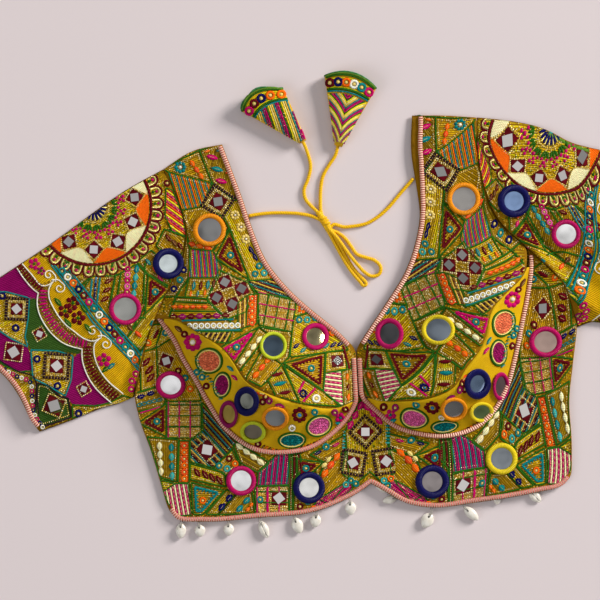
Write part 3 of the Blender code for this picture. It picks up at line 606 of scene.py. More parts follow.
def set_points(piece: bpy.types.Object, points: np.ndarray) -> None:
    """Moves a mesh object's vertices to the given rows, in metres."""
    piece.data.vertices.foreach_set("co", np.asarray(points, np.float32).ravel())
    piece.data.update()


# --------------------------------------------------------------------------- finishes


@dataclass
class Graph:
    """Puts nodes into a tree and joins them."""

    tree: bpy.types.NodeTree

    def feed(self, target: bpy.types.NodeSocket, value: object) -> None:
        """Joins a socket to an input, or sets the input to a number or a colour.

        Args:
            target: the input.
            value: a socket, a number or a colour.
        """
        if isinstance(value, bpy.types.NodeSocket):
            self.tree.links.new(value, target)
        else:
            target.default_value = (*value, 1.0) if isinstance(value, tuple) else value

    def node(self, kind: str, **settings: object) -> bpy.types.Node:
        """A new node.

        Args:
            kind: its type.
            settings: properties, and inputs as values or as sockets to join.

        Returns:
            The node.
        """
        made = self.tree.nodes.new(kind)
        for label, value in settings.items():
            if label in made.inputs:
                self.feed(made.inputs[label], value)
            else:
                setattr(made, label, value)
        return made

    def group(self, tree: bpy.types.NodeTree, **settings: object) -> bpy.types.Node:
        """A shared group with this finish's own values."""
        return self.node("ShaderNodeGroup", node_tree=tree, **settings)

    def math(self, operation: str, *values: object) -> bpy.types.NodeSocket:
        """The result of a sum on numbers or sockets.

        Args:
            operation: the kind of sum.
            values: its numbers or sockets, in order.

        Returns:
            The sum's output.
        """
        made = self.node("ShaderNodeMath", operation=operation)
        for slot, value in enumerate(values):
            self.feed(made.inputs[slot], value)
        return made.outputs[0]

    def mix(self, share: object, first: object, second: object, blend: str = "MIX") -> bpy.types.NodeSocket:
        """Two colours blended.

        Args:
            share: how much of the second shows.
            first: the first colour.
            second: the second one.
            blend: how they are blended.

        Returns:
            The blend's output.
        """
        made = self.node("ShaderNodeMix", data_type="RGBA", blend_type=blend)
        for slot, value in ((0, share), (6, first), (7, second)):
            self.feed(made.inputs[slot], value)
        return made.outputs[2]


class NodeGroups:
    """Shader node groups that several finishes share."""

    def __init__(self) -> None:
        """Builds every group once."""
        self.strands = self._strands()
        self.weave = self._weave()
        self.mottle = self._mottle()

    @staticmethod
    def _start(
        name: str, inputs: dict[str, float | Colour], *outputs: str
    ) -> tuple[Graph, bpy.types.Node, bpy.types.Node, bpy.types.NodeSocket]:
        """An empty group with its sockets; an output is a colour if it is called Colour, and a number if not.

        Args:
            name: the group's name.
            inputs: each input's name and value, a number or a colour.
            outputs: the outputs' names.

        Returns:
            Its graph, its input node, its output node, and the place on the object.
        """
        group = bpy.data.node_groups.new(name, "ShaderNodeTree")
        for label, value in inputs.items():
            kind = "NodeSocketColor" if isinstance(value, tuple) else "NodeSocketFloat"
            socket = group.interface.new_socket(label, in_out="INPUT", socket_type=kind)
            socket.default_value = (*value, 1.0) if isinstance(value, tuple) else value
        for label in outputs:
            kind = "NodeSocketColor" if label == "Colour" else "NodeSocketFloat"
            group.interface.new_socket(label, in_out="OUTPUT", socket_type=kind)
        make = Graph(group)
        place = make.node("ShaderNodeTexCoord").outputs["Object"]
        return make, make.node("NodeGroupInput"), make.node("NodeGroupOutput"), place

    def _strands(self) -> bpy.types.NodeTree:
        """Twisted stitches along a band, from its own map: u runs along it in millimetres, v across it. The dye is
        darkened in the twist's grooves and lightened on its crests: painted shade and painted highlight.

        Returns:
            The group.
        """
        make, into, out, place = self._start(
            "strands", {"Colour": (0.5, 0.5, 0.5), "Pitch": 1.4, "Slant": 0.45, "Depth": 0.35, "Patch": 0.2},
            "Colour", "Height",
        )
        uv = make.node("ShaderNodeUVMap", uv_map="threads")
        parts = make.node("ShaderNodeSeparateXYZ", Vector=uv.outputs["UV"])
        lean = make.math("MULTIPLY", parts.outputs["Y"], into.outputs["Slant"])
        phase = make.math("ADD", make.math("DIVIDE", parts.outputs["X"], into.outputs["Pitch"]), lean)
        wave = make.math("SINE", make.math("MULTIPLY", phase, 2 * math.pi))
        height = make.math("MULTIPLY_ADD", wave, 0.5, 0.5)
        noise = make.node("ShaderNodeTexNoise", Vector=place, Scale=420.0, Detail=2.0)
        drift = make.math("MULTIPLY", make.math("SUBTRACT", noise.outputs["Fac"], 0.5), into.outputs["Patch"])
        low = make.math("SUBTRACT", 1.0, into.outputs["Depth"])
        # Painted shade in the grooves of the twist and painted highlight on its crests, multiplied into the dye.
        shade = make.math("ADD", make.math("MULTIPLY_ADD", height, into.outputs["Depth"], low), drift)
        colour = make.node("ShaderNodeVectorMath", operation="SCALE", Scale=make.math("MULTIPLY", shade, 1.12))
        make.feed(colour.inputs[0], into.outputs["Colour"])
        make.feed(out.inputs["Colour"], colour.outputs[0])
        make.feed(out.inputs["Height"], height)
        return make.tree

    def _weave(self) -> bpy.types.NodeTree:
        """Plain weave over and under, on the cloth's plan.

        Returns:
            The group.
        """
        make, into, out, place = self._start("weave", {"Spacing": 0.0009, "Fuzz": 0.4}, "Height")
        parts = make.node("ShaderNodeSeparateXYZ", Vector=place)
        turn = make.math("DIVIDE", 2 * math.pi, into.outputs["Spacing"])
        warp, weft = (make.math("SINE", make.math("MULTIPLY", parts.outputs[way], turn)) for way in "XY")
        noise = make.node("ShaderNodeTexNoise", Vector=place, Scale=900.0, Detail=2.0)
        fuzz = make.math("MULTIPLY", noise.outputs["Fac"], into.outputs["Fuzz"])
        make.feed(out.inputs["Height"], make.math("ADD", make.math("MULTIPLY", warp, weft), fuzz))
        return make.tree

    def _mottle(self) -> bpy.types.NodeTree:
        """Two dyes that drift into one another in soft patches.

        Returns:
            The group.
        """
        make, into, out, place = self._start(
            "mottle", {"First": (0.5, 0.4, 0.1), "Second": (0.3, 0.2, 0.05), "Scale": 40.0, "Contrast": 1.6}, "Colour"
        )
        noise = make.node("ShaderNodeTexNoise", Vector=place, Detail=4.0, Scale=into.outputs["Scale"])
        centred = make.math("SUBTRACT", noise.outputs["Fac"], 0.5)
        mask = make.math("MULTIPLY_ADD", centred, into.outputs["Contrast"], 0.5)
        mask = make.math("MINIMUM", make.math("MAXIMUM", mask, 0.0), 1.0)
        make.feed(out.inputs["Colour"], make.mix(mask, into.outputs["First"], into.outputs["Second"]))
        return make.tree


@dataclass(frozen=True)
class Finish:
    """A finish in one even colour, as on glass, shell or a studio floor; the others build on it."""

    name: str
    roughness: float = 0.6
    colour: Colour = (0.8, 0.8, 0.8)
    metallic: float = 0.0
    coat: float = 0.0
    bump: float = 0.3
    bump_reach: float = 0.0004
    gloss: float = 0.5

    def build(self, groups: NodeGroups) -> bpy.types.Material:
        """The material, with its nodes.

        Args:
            groups: the shared node groups.

        Returns:
            The material.
        """
        material = bpy.data.materials.new(self.name)
        material.use_nodes = True
        graph, shader = Graph(material.node_tree), material.node_tree.nodes["Principled BSDF"]
        colour, height = self.surface(graph, groups)
        inputs = {
            "Base Color": colour, "Roughness": self.roughness, "Metallic": self.metallic,
            "Specular IOR Level": self.gloss, "Coat Weight": self.coat,
        }
        if height is not None:
            bump = graph.node("ShaderNodeBump", Strength=self.bump, Distance=self.bump_reach, Height=height)
            inputs["Normal"] = bump.outputs["Normal"]
        for label, value in inputs.items():
            graph.feed(shader.inputs[label], value)
        return material

    def surface(self, graph: Graph, groups: NodeGroups) -> tuple[object, Optional[bpy.types.NodeSocket]]:
        """Its colour, and the height of its relief where it has one."""
        return self.colour, None


@dataclass(frozen=True)
class ClothFinish(Finish):
    """Plain woven cloth in two drifting dyes."""

    second: Colour = (0.4, 0.3, 0.02)
    scale: float = 38.0
    spacing: float = 0.0009

    def surface(self, graph: Graph, groups: NodeGroups) -> tuple[object, Optional[bpy.types.NodeSocket]]:
        """The drifting dyes and the weave."""
        dye = graph.group(groups.mottle, First=self.colour, Second=self.second, Scale=self.scale)
        return dye.outputs["Colour"], graph.group(groups.weave, Spacing=self.spacing).outputs["Height"]


@dataclass(frozen=True)
class ThreadFinish(Finish):
    """Embroidery thread dyed by the piece's own attribute, with its twist along each band and painted shade and
    highlight along the twist.
    """

    pitch: float = 1.4
    slant: float = 0.45
    # How strongly the twist's painted shade and highlight darken and lighten the dye.
    depth: float = 0.35
    patch: float = 0.2

    def surface(self, graph: Graph, groups: NodeGroups) -> tuple[object, Optional[bpy.types.NodeSocket]]:
        """The piece's dye with painted shade and highlight along the twist, and the twist itself.

        Args:
            graph: where the nodes go.
            groups: the shared node groups.

        Returns:
            The colour and the height.
        """
        dye = graph.node("ShaderNodeAttribute", attribute_name="dye")
        strands = graph.group(
            groups.strands, Colour=dye.outputs["Color"], Pitch=self.pitch, Slant=self.slant, Depth=self.depth,
            Patch=self.patch,
        )
        return strands.outputs["Colour"], strands.outputs["Height"]


@dataclass(frozen=True)
class GlassFinish(Finish):
    """Small silvered mirrors, tinted by the piece's own attribute, which carries each mirror's painted reflection
    colour.
    """

    def surface(self, graph: Graph, groups: NodeGroups) -> tuple[object, Optional[bpy.types.NodeSocket]]:
        """The tint: a painted reflection colour."""
        return graph.node("ShaderNodeAttribute", attribute_name="dye").outputs["Color"], None


@dataclass(frozen=True)
class PipingFinish(Finish):
    """A padded cord wrapped closely in pink, cream and red thread, striped across."""

    wrap: float = 2.3
    wear: float = 0.3

    def surface(self, graph: Graph, groups: NodeGroups) -> tuple[object, Optional[bpy.types.NodeSocket]]:
        """The stripes, a little worn, and the turns of the wrapping.

        Args:
            graph: where the nodes go.
            groups: the shared node groups.

        Returns:
            The colour and the height.
        """
        uv = graph.node("ShaderNodeUVMap", uv_map="threads")
        parts = graph.node("ShaderNodeSeparateXYZ", Vector=uv.outputs["UV"])
        lean = graph.math("MULTIPLY_ADD", parts.outputs["Y"], 0.12, graph.math("DIVIDE", parts.outputs["X"], self.wrap))
        ramp = graph.node("ShaderNodeValToRGB", Fac=graph.math("FRACT", lean))
        stops = ramp.color_ramp
        stops.interpolation = "EASE"
        chart = (
            (0.0, paint(160, 36, 40)), (0.16, paint(214, 112, 96)), (0.42, paint(246, 214, 190)),
            (0.7, paint(240, 186, 160)), (0.88, paint(196, 78, 70)),
        )
        while len(stops.elements) < len(chart):
            stops.elements.new(0.5)
        for stop, (place, colour) in zip(stops.elements, chart):
            stop.position, stop.color = place, (*colour, 1.0)
        wear = graph.group(groups.mottle, First=(1.0, 0.96, 0.94), Second=(0.72, 0.6, 0.54), Scale=60.0)
        dye = graph.mix(self.wear, ramp.outputs["Color"], wear.outputs["Colour"], "MULTIPLY")
        return dye, graph.math("SINE", graph.math("MULTIPLY", lean, 2 * math.pi))


@dataclass(frozen=True)
class ShellFinish(Finish):
    """Polished cowrie shell, ivory with a faint warm cast."""

    def surface(self, graph: Graph, groups: NodeGroups) -> tuple[object, Optional[bpy.types.NodeSocket]]:
        """The two tones of its glaze."""
        tones = {"First": paint(240, 236, 226), "Second": paint(212, 204, 190)}
        return graph.group(groups.mottle, **tones, Scale=220.0, Contrast=2.0).outputs["Colour"], None


@dataclass
class Finishes:
    """Every finish of the blouse, built once."""

    groups: NodeGroups = field(default_factory=NodeGroups)

    def __post_init__(self) -> None:
        """Builds the materials."""
        groups, fine = self.groups, {"bump_reach": 0.0003}
        # The ground cloth is mustard, its dyes darkened so that where it shows between stitches it gives painted shade
        # in the gaps.
        self.ground = ClothFinish(
            "mustard ground cloth", 0.75, paint(160, 112, 6), second=paint(122, 86, 6), gloss=0.08, bump=0.5, **fine
        ).build(groups)
        self.cup = ClothFinish(
            "bright cup cloth", 0.65, paint(232, 188, 8), second=paint(190, 144, 6), gloss=0.12, bump=0.4, **fine
        ).build(groups)
        self.lining = ClothFinish(
            "yellow lining cloth", 0.8, paint(222, 176, 24), second=paint(200, 152, 16), gloss=0.2, bump=0.4, **fine
        ).build(groups)
        self.silk = ThreadFinish("silk stitches", 0.55, gloss=0.06, bump=0.7).build(groups)
        self.zari = ThreadFinish(
            "metal thread", 0.34, metallic=0.55, pitch=0.9, depth=0.45, patch=0.9, bump=0.8
        ).build(groups)
        self.wrapped = ThreadFinish(
            "ring wrapping", 0.45, gloss=0.14, pitch=2.3, slant=0.1, depth=0.34, patch=0.15, bump=0.8
        ).build(groups)
        self.glass = GlassFinish("mirror glass", 0.07, metallic=1.0).build(groups)
        self.piping = PipingFinish("wrapped piping", 0.5, bump=0.7, bump_reach=0.0006).build(groups)
        self.cord = ThreadFinish(
            "tie cord", 0.42, gloss=0.2, pitch=2.4, slant=1.0, depth=0.24, patch=0.12, bump=0.5
        ).build(groups)
        self.shell = ShellFinish("cowrie shell", 0.22, coat=0.35).build(groups)
        self.thread = Finish("grey thread", 0.7, paint(150, 146, 138)).build(groups)
        # A dark finish that stands for the shade inside a cowrie's drilled hole and slit: painted shade.
        self.hole = Finish("painted shade in shell hollow", 0.8, paint(58, 52, 46)).build(groups)
        self.floor = Finish("studio floor", 0.95, paint(217, 206, 208)).build(groups)
        self.cord_dye = paint(236, 184, 8)


# --------------------------------------------------------------------------- studio


@dataclass
class Studio:
    """Pale floor, soft light from above, and a camera straight over the board."""

    finishes: Finishes
    frame_side: float = 0.6
    sensor: float = 36.0
    camera_height: float = 4.0
    plane_height: float = 0.012
    floor_side: float = 9.0
    key_power: float = 1046.0
    fill_power: float = 200.0
    sky: float = 0.5

    def build(self) -> None:
        """Makes the camera, the lights and the floor."""
        middle = (0.5 * BOARD_TOP - ORIGIN) * MM
        lens = bpy.data.cameras.new("overhead camera")
        lens.sensor_width = self.sensor
        lens.lens = self.sensor * self.camera_height / self.frame_side
        lens.clip_end = 50.0
        camera = bpy.data.objects.new("overhead camera", lens)
        camera.location = (*middle, self.camera_height + self.plane_height)
        bpy.context.scene.collection.objects.link(camera)
        bpy.context.scene.camera = camera
        self._lamp("key", (6.6, 4.5, 3.6), 2.8, self.key_power, (1.0, 0.97, 0.93))
        self._lamp("fill", (-6.4, -2.6, 5.0), 5.0, self.fill_power, (0.96, 0.98, 1.0))
        self._sky()
        bpy.context.scene.view_settings.view_transform = "Standard"
        bpy.ops.mesh.primitive_plane_add(size=self.floor_side, location=(0, 0, 0))
        floor = bpy.context.object
        floor.name = "studio_floor"
        floor.data.materials.append(self.finishes.floor)

    def _sky(self) -> None:
        """A room's soft air, brightest overhead, with a few darker shapes for the mirrors to show."""
        world = bpy.data.worlds.new("studio air")
        bpy.context.scene.world = world
        world.use_nodes = True
        graph = Graph(world.node_tree)
        way = graph.node("ShaderNodeTexCoord")
        parts = graph.node("ShaderNodeSeparateXYZ", Vector=way.outputs["Generated"])
        height = graph.math("MAXIMUM", parts.outputs["Z"], 0.0)
        overhead = graph.math("POWER", height, 6.0)
        shapes = graph.node("ShaderNodeTexNoise", Vector=way.outputs["Generated"], Scale=5.5, Detail=1.0)
        soft = graph.math("SMOOTH_MIN", graph.math("MULTIPLY", shapes.outputs[0], 2.0), 1.15)
        glow = graph.math("MULTIPLY", graph.math("MULTIPLY_ADD", overhead, 1.35, 0.36), soft)
        air = world.node_tree.nodes["Background"]
        graph.feed(air.inputs["Color"], (0.97, 0.96, 0.95))
        graph.feed(air.inputs["Strength"], graph.math("MULTIPLY", glow, self.sky))

    @staticmethod
    def _lamp(name: str, place: Place, side: float, power: float, colour: Colour) -> None:
        """A square soft lamp that points at the blouse.

        Args:
            name: the lamp's name.
            place: where it stands.
            side: its width.
            power: its power in watts.
            colour: its light.
        """
        light = bpy.data.lights.new(name, "AREA")
        light.size, light.energy, light.color = side, power, colour
        lamp = bpy.data.objects.new(name, light)
        lamp.location = place
        lamp.rotation_euler = (-Vector(place)).to_track_quat("-Z", "Y").to_euler()
        bpy.context.scene.collection.objects.link(lamp)


# --------------------------------------------------------------------------- cloth


@dataclass(frozen=True)
class ClothCut:
    """One piece of cloth: its solid, its cut and how it is laid."""

    node: str
    name: str
    slot: str
    flat: tuple[float, float]
    area: float
    rests_on: tuple[str, ...]
    levels: int = 2


CUTS = (
    ClothCut("back_left", "back_cloth_left", "back_cloth", (0.224, 0.369), 0.04168, ("studio_floor",), 1),
    ClothCut("back_right", "back_cloth_right", "back_cloth", (0.219, 0.379), 0.04847, ("studio_floor",), 1),
    ClothCut("front_upper_left", "upper_front_cloth_left", "front_cloth", (0.205, 0.275), 0.02712,
             ("back_cloth_left",)),
    ClothCut("front_upper_right", "upper_front_cloth_right", "front_cloth", (0.180, 0.290), 0.02875,
             ("back_cloth_right",)),
    ClothCut("cup_lower_left", "lower_cup_cloth_left", "cup_cloth", (0.215, 0.125), 0.01230, ("back_cloth_left",)),
    ClothCut("cup_lower_right", "lower_cup_cloth_right", "cup_cloth", (0.215, 0.130), 0.01227,
             ("back_cloth_right",)),
    ClothCut("waist_band", "waist_band_cloth", "band_cloth", (0.444, 0.275), 0.04712,
             ("back_cloth_left", "back_cloth_right")),
    ClothCut("sleeve_left", "sleeve_cloth_left", "sleeve_cloth", (0.246, 0.480), 0.06779, ("studio_floor",)),
    ClothCut("sleeve_right", "sleeve_cloth_right", "sleeve_cloth", (0.248, 0.400), 0.07025, ("studio_floor",)),
)


@dataclass
class ClothShells:
    """The nine pieces of cloth, as thin shells with soft creases."""

    bench: Workbench
    finishes: Finishes
    pieces: dict[str, bpy.types.Object] = field(default_factory=dict)
    sleeve_floor: float = 1.9
    front_floor: float = 1.75

    def build(self) -> None:
        for cut in CUTS:
            shell = self.bench.shell_from(cut.node, cut.name, cut.levels)
            finish = {"back": self.finishes.lining, "cup_": self.finishes.cup}.get(cut.node[:4], self.finishes.ground)
            shell.data.materials.append(finish)
            self._crease(shell, cut.node)
            self.bench.declare(shell, cut.slot, cut.node)
            self.pieces[cut.node] = shell
            log.info("cloth %s: %d faces", cut.name, len(shell.data.polygons))

    @staticmethod
    def _relief(plan: np.ndarray, creases: Sequence[tuple]) -> np.ndarray:
        """How far soft creases lift or lower each plan point, in millimetres.

        Args:
            plan: plan points.
            creases: rows of points, height and half width.

        Returns:
            A height for each point.
        """
        rise = np.zeros(len(plan))
        for points, height, half_width in creases:
            line = smooth_curve(down(points), 3.0)
            near, away = nearest_on(plan, line)
            ends = np.minimum(np.linalg.norm(near - line[0], axis=1), np.linalg.norm(near - line[-1], axis=1))
            reach = np.linalg.norm(np.diff(line, axis=0), axis=1).sum()
            fade = np.clip(ends / (0.3 * reach), 0, 1) ** 0.6
            rise += height * fade * np.exp(-((away / half_width) ** 2) * 1.6)
        return rise

    def _crease(self, shell: bpy.types.Object, node: str) -> None:
        """Lifts or lowers the upper layer of a shell along its own creases.

        Args:
            shell: the piece of cloth.
            node: its solid's name.
        """
        points = points_of(shell) / MM
        plan = points[:, :2] + ORIGIN
        creases, share, floor = BODY_CREASES, 1.0, self.front_floor
        if node.startswith("sleeve"):
            creases = SLEEVE_CREASES_LEFT if node.endswith("left") else SLEEVE_CREASES_RIGHT
            share, floor = np.clip((points[:, 2] - 2.2) / 3.0, 0, 1), self.sleeve_floor
        elif node.startswith("back"):
            creases, floor = BACK_CREASES, 0.0
        rise = self._relief(plan, creases) * share
        lifted = points[:, 2] + rise
        points[:, 2] = np.where(rise < 0, np.maximum(lifted, np.minimum(points[:, 2], floor)), lifted)
        set_points(shell, points * MM)


@dataclass
class Surface:
    """Heights and slopes of the cloth's upper side over the board."""

    step: float = 1.0
    low: tuple[float, float] = (-66.0, 52.0)
    size: tuple[int, int] = (806, 460)
    ceiling: float = 90.0
    growths: int = 10
    smoothings: int = 2
    lowest: float = 0.05
    heights: np.ndarray = field(default_factory=lambda: np.zeros((2, 2)))
    slopes: tuple[np.ndarray, np.ndarray] = field(default_factory=tuple)

    def measure(self, shells: Iterable[bpy.types.Object]) -> None:
        """Casts rays down on the shells.

        Args:
            shells: the cloth pieces.
        """
        points, faces, start = [], [], 0
        for shell in shells:
            points.append(points_of(shell) / MM)
            faces += [tuple(start + v for v in face.vertices) for face in shell.data.polygons]
            start += len(points[-1])
        stacked = np.vstack(points)
        stacked[:, :2] += ORIGIN
        tree = BVHTree.FromPolygons(stacked.tolist(), faces)
        columns, rows = self.size
        grid = np.full((rows, columns), np.nan)
        ahead = Vector((0, 0, -1))
        for row in range(rows):
            y = self.low[1] + row * self.step
            for column in range(columns):
                hit = tree.ray_cast(Vector((self.low[0] + column * self.step, y, self.ceiling)), ahead)
                if hit[0] is not None:
                    grid[row, column] = hit[0].z
        for _ in range(self.growths):
            grid = self._grown(grid)
        grid = np.where(np.isnan(grid), 0.0, grid)
        for _ in range(self.smoothings):
            grid = (self._around(np.pad(grid, 1, mode="edge")).sum(axis=0) + 2 * grid) / 6
        self.heights = grid
        rise_y, rise_x = np.gradient(grid, self.step)
        self.slopes = (rise_x, rise_y)

    @staticmethod
    def _around(padded: np.ndarray) -> np.ndarray:
        """The four neighbours of each cell of a grid that has been given a margin of one cell."""
        return np.stack([padded[:-2, 1:-1], padded[2:, 1:-1], padded[1:-1, :-2], padded[1:-1, 2:]])

    def _grown(self, grid: np.ndarray) -> np.ndarray:
        """The grid with its cloth's edge spread outwards by one cell.

        Args:
            grid: heights, with gaps off the cloth.

        Returns:
            The grid with smaller gaps.
        """
        around = self._around(np.pad(grid, 1, constant_values=np.nan))
        known = ~np.isnan(around)
        mean = np.where(known, around, 0).sum(axis=0) / np.maximum(known.sum(axis=0), 1)
        return np.where(np.isnan(grid) & known.any(axis=0), mean, grid)

    def _read(self, grid: np.ndarray, plan: np.ndarray) -> np.ndarray:
        """A grid's value at plan points, between its cells.

        Args:
            grid: the values.
            plan: plan points.

        Returns:
            A value for each point.
        """
        u = np.clip((plan[:, 0] - self.low[0]) / self.step, 0, self.size[0] - 1.001)
        v = np.clip((plan[:, 1] - self.low[1]) / self.step, 0, self.size[1] - 1.001)
        i, j = u.astype(int), v.astype(int)
        s, t = u - i, v - j
        bottom = grid[j, i] * (1 - s) + grid[j, i + 1] * s
        top = grid[j + 1, i] * (1 - s) + grid[j + 1, i + 1] * s
        return bottom * (1 - t) + top * t

    def height(self, plan: np.ndarray) -> np.ndarray:
        """The cloth's height at plan points, in millimetres."""
        return self._read(self.heights, plan)

    def normal(self, plan: np.ndarray, most: float = 1.6) -> np.ndarray:
        """The cloth's upward normal at plan points."""
        x, y = (np.clip(self._read(slope, plan), -most, most) for slope in self.slopes)
        return unit(np.column_stack([-x, -y, np.ones(len(plan))]))

    def over(self, plan: np.ndarray, lift: np.ndarray | float) -> np.ndarray:
        """Places that stand over the cloth.

        Args:
            plan: plan points.
            lift: how far each stands off the cloth, in millimetres.

        Returns:
            Board points with heights.
        """
        places = np.column_stack([plan, self.height(plan)])
        places += self.normal(plan) * np.broadcast_to(lift, len(plan))[:, None]
        places[:, 2] = np.maximum(places[:, 2], self.lowest)
        return places


# --------------------------------------------------------------------------- tubes


@dataclass
class Sweep:
    """A round or oval tube swept along a line that lies flat or rises gently."""

    line: np.ndarray
    half_width: np.ndarray | float
    half_height: np.ndarray | float
    sides: int = 12

    def build(self) -> tuple[np.ndarray, list[np.ndarray], np.ndarray]:
        """The tube's points, faces and map; its seam lies underneath.

        Returns:
            Points in the line's own units, blocks of faces, and u along and v round for each point.
        """
        line = np.asarray(self.line, float)
        count, sides = len(line), self.sides
        ahead = unit(np.gradient(line, axis=0))
        side = unit(np.cross(ahead, (0.0, 0.0, 1.0)))
        top = np.cross(side, ahead)
        turns = -0.5 * math.pi + 2 * math.pi * np.arange(sides) / sides
        wide = np.broadcast_to(self.half_width, count)[:, None, None]
        high = np.broadcast_to(self.half_height, count)[:, None, None]
        rings = (
            line[:, None] + side[:, None] * wide * np.cos(turns)[None, :, None]
            + top[:, None] * high * np.sin(turns)[None, :, None]
        )
        along = travelled(line)
        uv = np.stack([np.repeat(along, sides), np.tile(np.linspace(-1, 1, sides, endpoint=False), count)], axis=1)
        points = np.vstack([rings.reshape(-1, 3), line[:1], line[-1:]])
        uv = np.vstack([uv, [[0, 0]], [[along[-1], 0]]])
        ring = np.arange(sides)
        following, last = (ring + 1) % sides, (count - 1) * sides
        caps = np.vstack([
            np.column_stack([following, ring, np.full(sides, count * sides)]),
            np.column_stack([last + ring, last + following, np.full(sides, count * sides + 1)]),
        ])
        return points, [tube_quads(count, sides), caps], uv


@dataclass
class Parts:
    """Points, faces, maps and dyes gathered for one joined mesh."""

    points: list[np.ndarray] = field(default_factory=list)
    faces: dict[int, list[np.ndarray]] = field(default_factory=dict)
    slots: dict[int, list[np.ndarray]] = field(default_factory=dict)
    uv: list[np.ndarray] = field(default_factory=list)
    dyes: list[np.ndarray] = field(default_factory=list)
    count: int = 0

    def add(
        self, points: np.ndarray, faces: Sequence[np.ndarray], uv: np.ndarray, dye: Colour, slot: int = 0
    ) -> None:
        """Adds one part.

        Args:
            points: its points.
            faces: its blocks of faces.
            uv: its map.
            dye: its colour.
            slot: its material slot.
        """
        for block in faces:
            corners = block.shape[1]
            self.faces.setdefault(corners, []).append(block + self.count)
            self.slots.setdefault(corners, []).append(np.full(len(block), slot))
        self.points.append(points)
        self.uv.append(uv)
        self.dyes.append(np.tile(dye, (len(points), 1)))
        self.count += len(points)

    def finish(self, bench: Workbench, name: str, materials: Sequence[bpy.types.Material]) -> bpy.types.Object:
        """The joined mesh, from points already in metres.

        Args:
            bench: what makes the object.
            name: its name.
            materials: the materials, in slot order.

        Returns:
            The object.
        """
        sizes = sorted(self.faces)
        return bench.from_arrays(
            name, np.vstack(self.points), [np.vstack(self.faces[size]) for size in sizes], materials,
            colours=np.vstack(self.dyes), uv=np.vstack(self.uv),
            slots=np.concatenate([np.concatenate(self.slots[size]) for size in sizes]),
        )


# --------------------------------------------------------------------------- tie cord


# The cords' routes over the board, with heights; LOW is where a cord rests.
LOW = 1.9
DORI_LEFT = (
    (248.4, 384.2, 3.2), (256, 385.6, 2.4), (268, 387, LOW), (284, 387.3, LOW), (300, 386.4, LOW), (311, 384.2, LOW),
    (318.1, 381.4, 3.0),
)
LOOP_NARROW = (
    (325.0, 377.5, 3.6), (331.4, 369.8, 3.3), (336.4, 361.0, 2.3), (342.4, 350.0, LOW), (349.4, 338.0, LOW),
    (357.3, 327.2, LOW), (363.4, 320.6, LOW), (366.2, 317.2, LOW), (366.0, 314.8, LOW), (363.6, 314.4, LOW),
    (360.6, 318.0, LOW), (354.6, 324.8, LOW), (346.6, 336.0, LOW), (339.6, 348.0, LOW), (333.6, 359.0, 2.3),
    (328.4, 368.4, 3.4), (323.0, 377.0, 3.6),
)
TAIL_LEFT = (
    (317.9, 387.5, 2.9), (311, 394.4, LOW), (305.6, 401, LOW), (304, 410, LOW), (308, 421, LOW), (310.6, 434, LOW),
    (308, 446, 2.6), (303.4, 457.6, 3.8), (295.5, 470, 5.0),
)
DORI_RIGHT = (
    (413.4, 421.8, 3.0), (409, 416.5, 2.2), (402, 408.5, LOW), (395, 400, LOW), (387, 391, LOW), (377, 382.5, LOW),
    (366, 376.5, LOW), (354, 374, LOW), (344, 373.2, LOW), (332.6, 375.2, 3.0),
)
LOOP_WIDE = (
    (330.2, 371.6, 3.2), (338, 367.5, LOW), (345, 362, LOW), (351, 354, 2.4), (357, 346, 2.6), (366, 342.6, LOW),
    (375, 339.6, LOW), (381, 332.6, LOW), (379.4, 326, LOW), (372.6, 323.8, 2.2), (365, 327.6, 3.6),
    (358, 335, 4.4), (351, 343.4, 4.8), (344, 353, 4.8), (337, 362.6, 4.6), (328.2, 372.4, 4.4),
)
TAIL_RIGHT = (
    (321.0, 388.5, 2.9), (320.4, 400, LOW), (320.8, 412, LOW), (323, 424, LOW), (329, 435, LOW), (335.4, 445, 2.6),
    (338.0, 455, 3.8), (340.3, 467, 4.6),
)


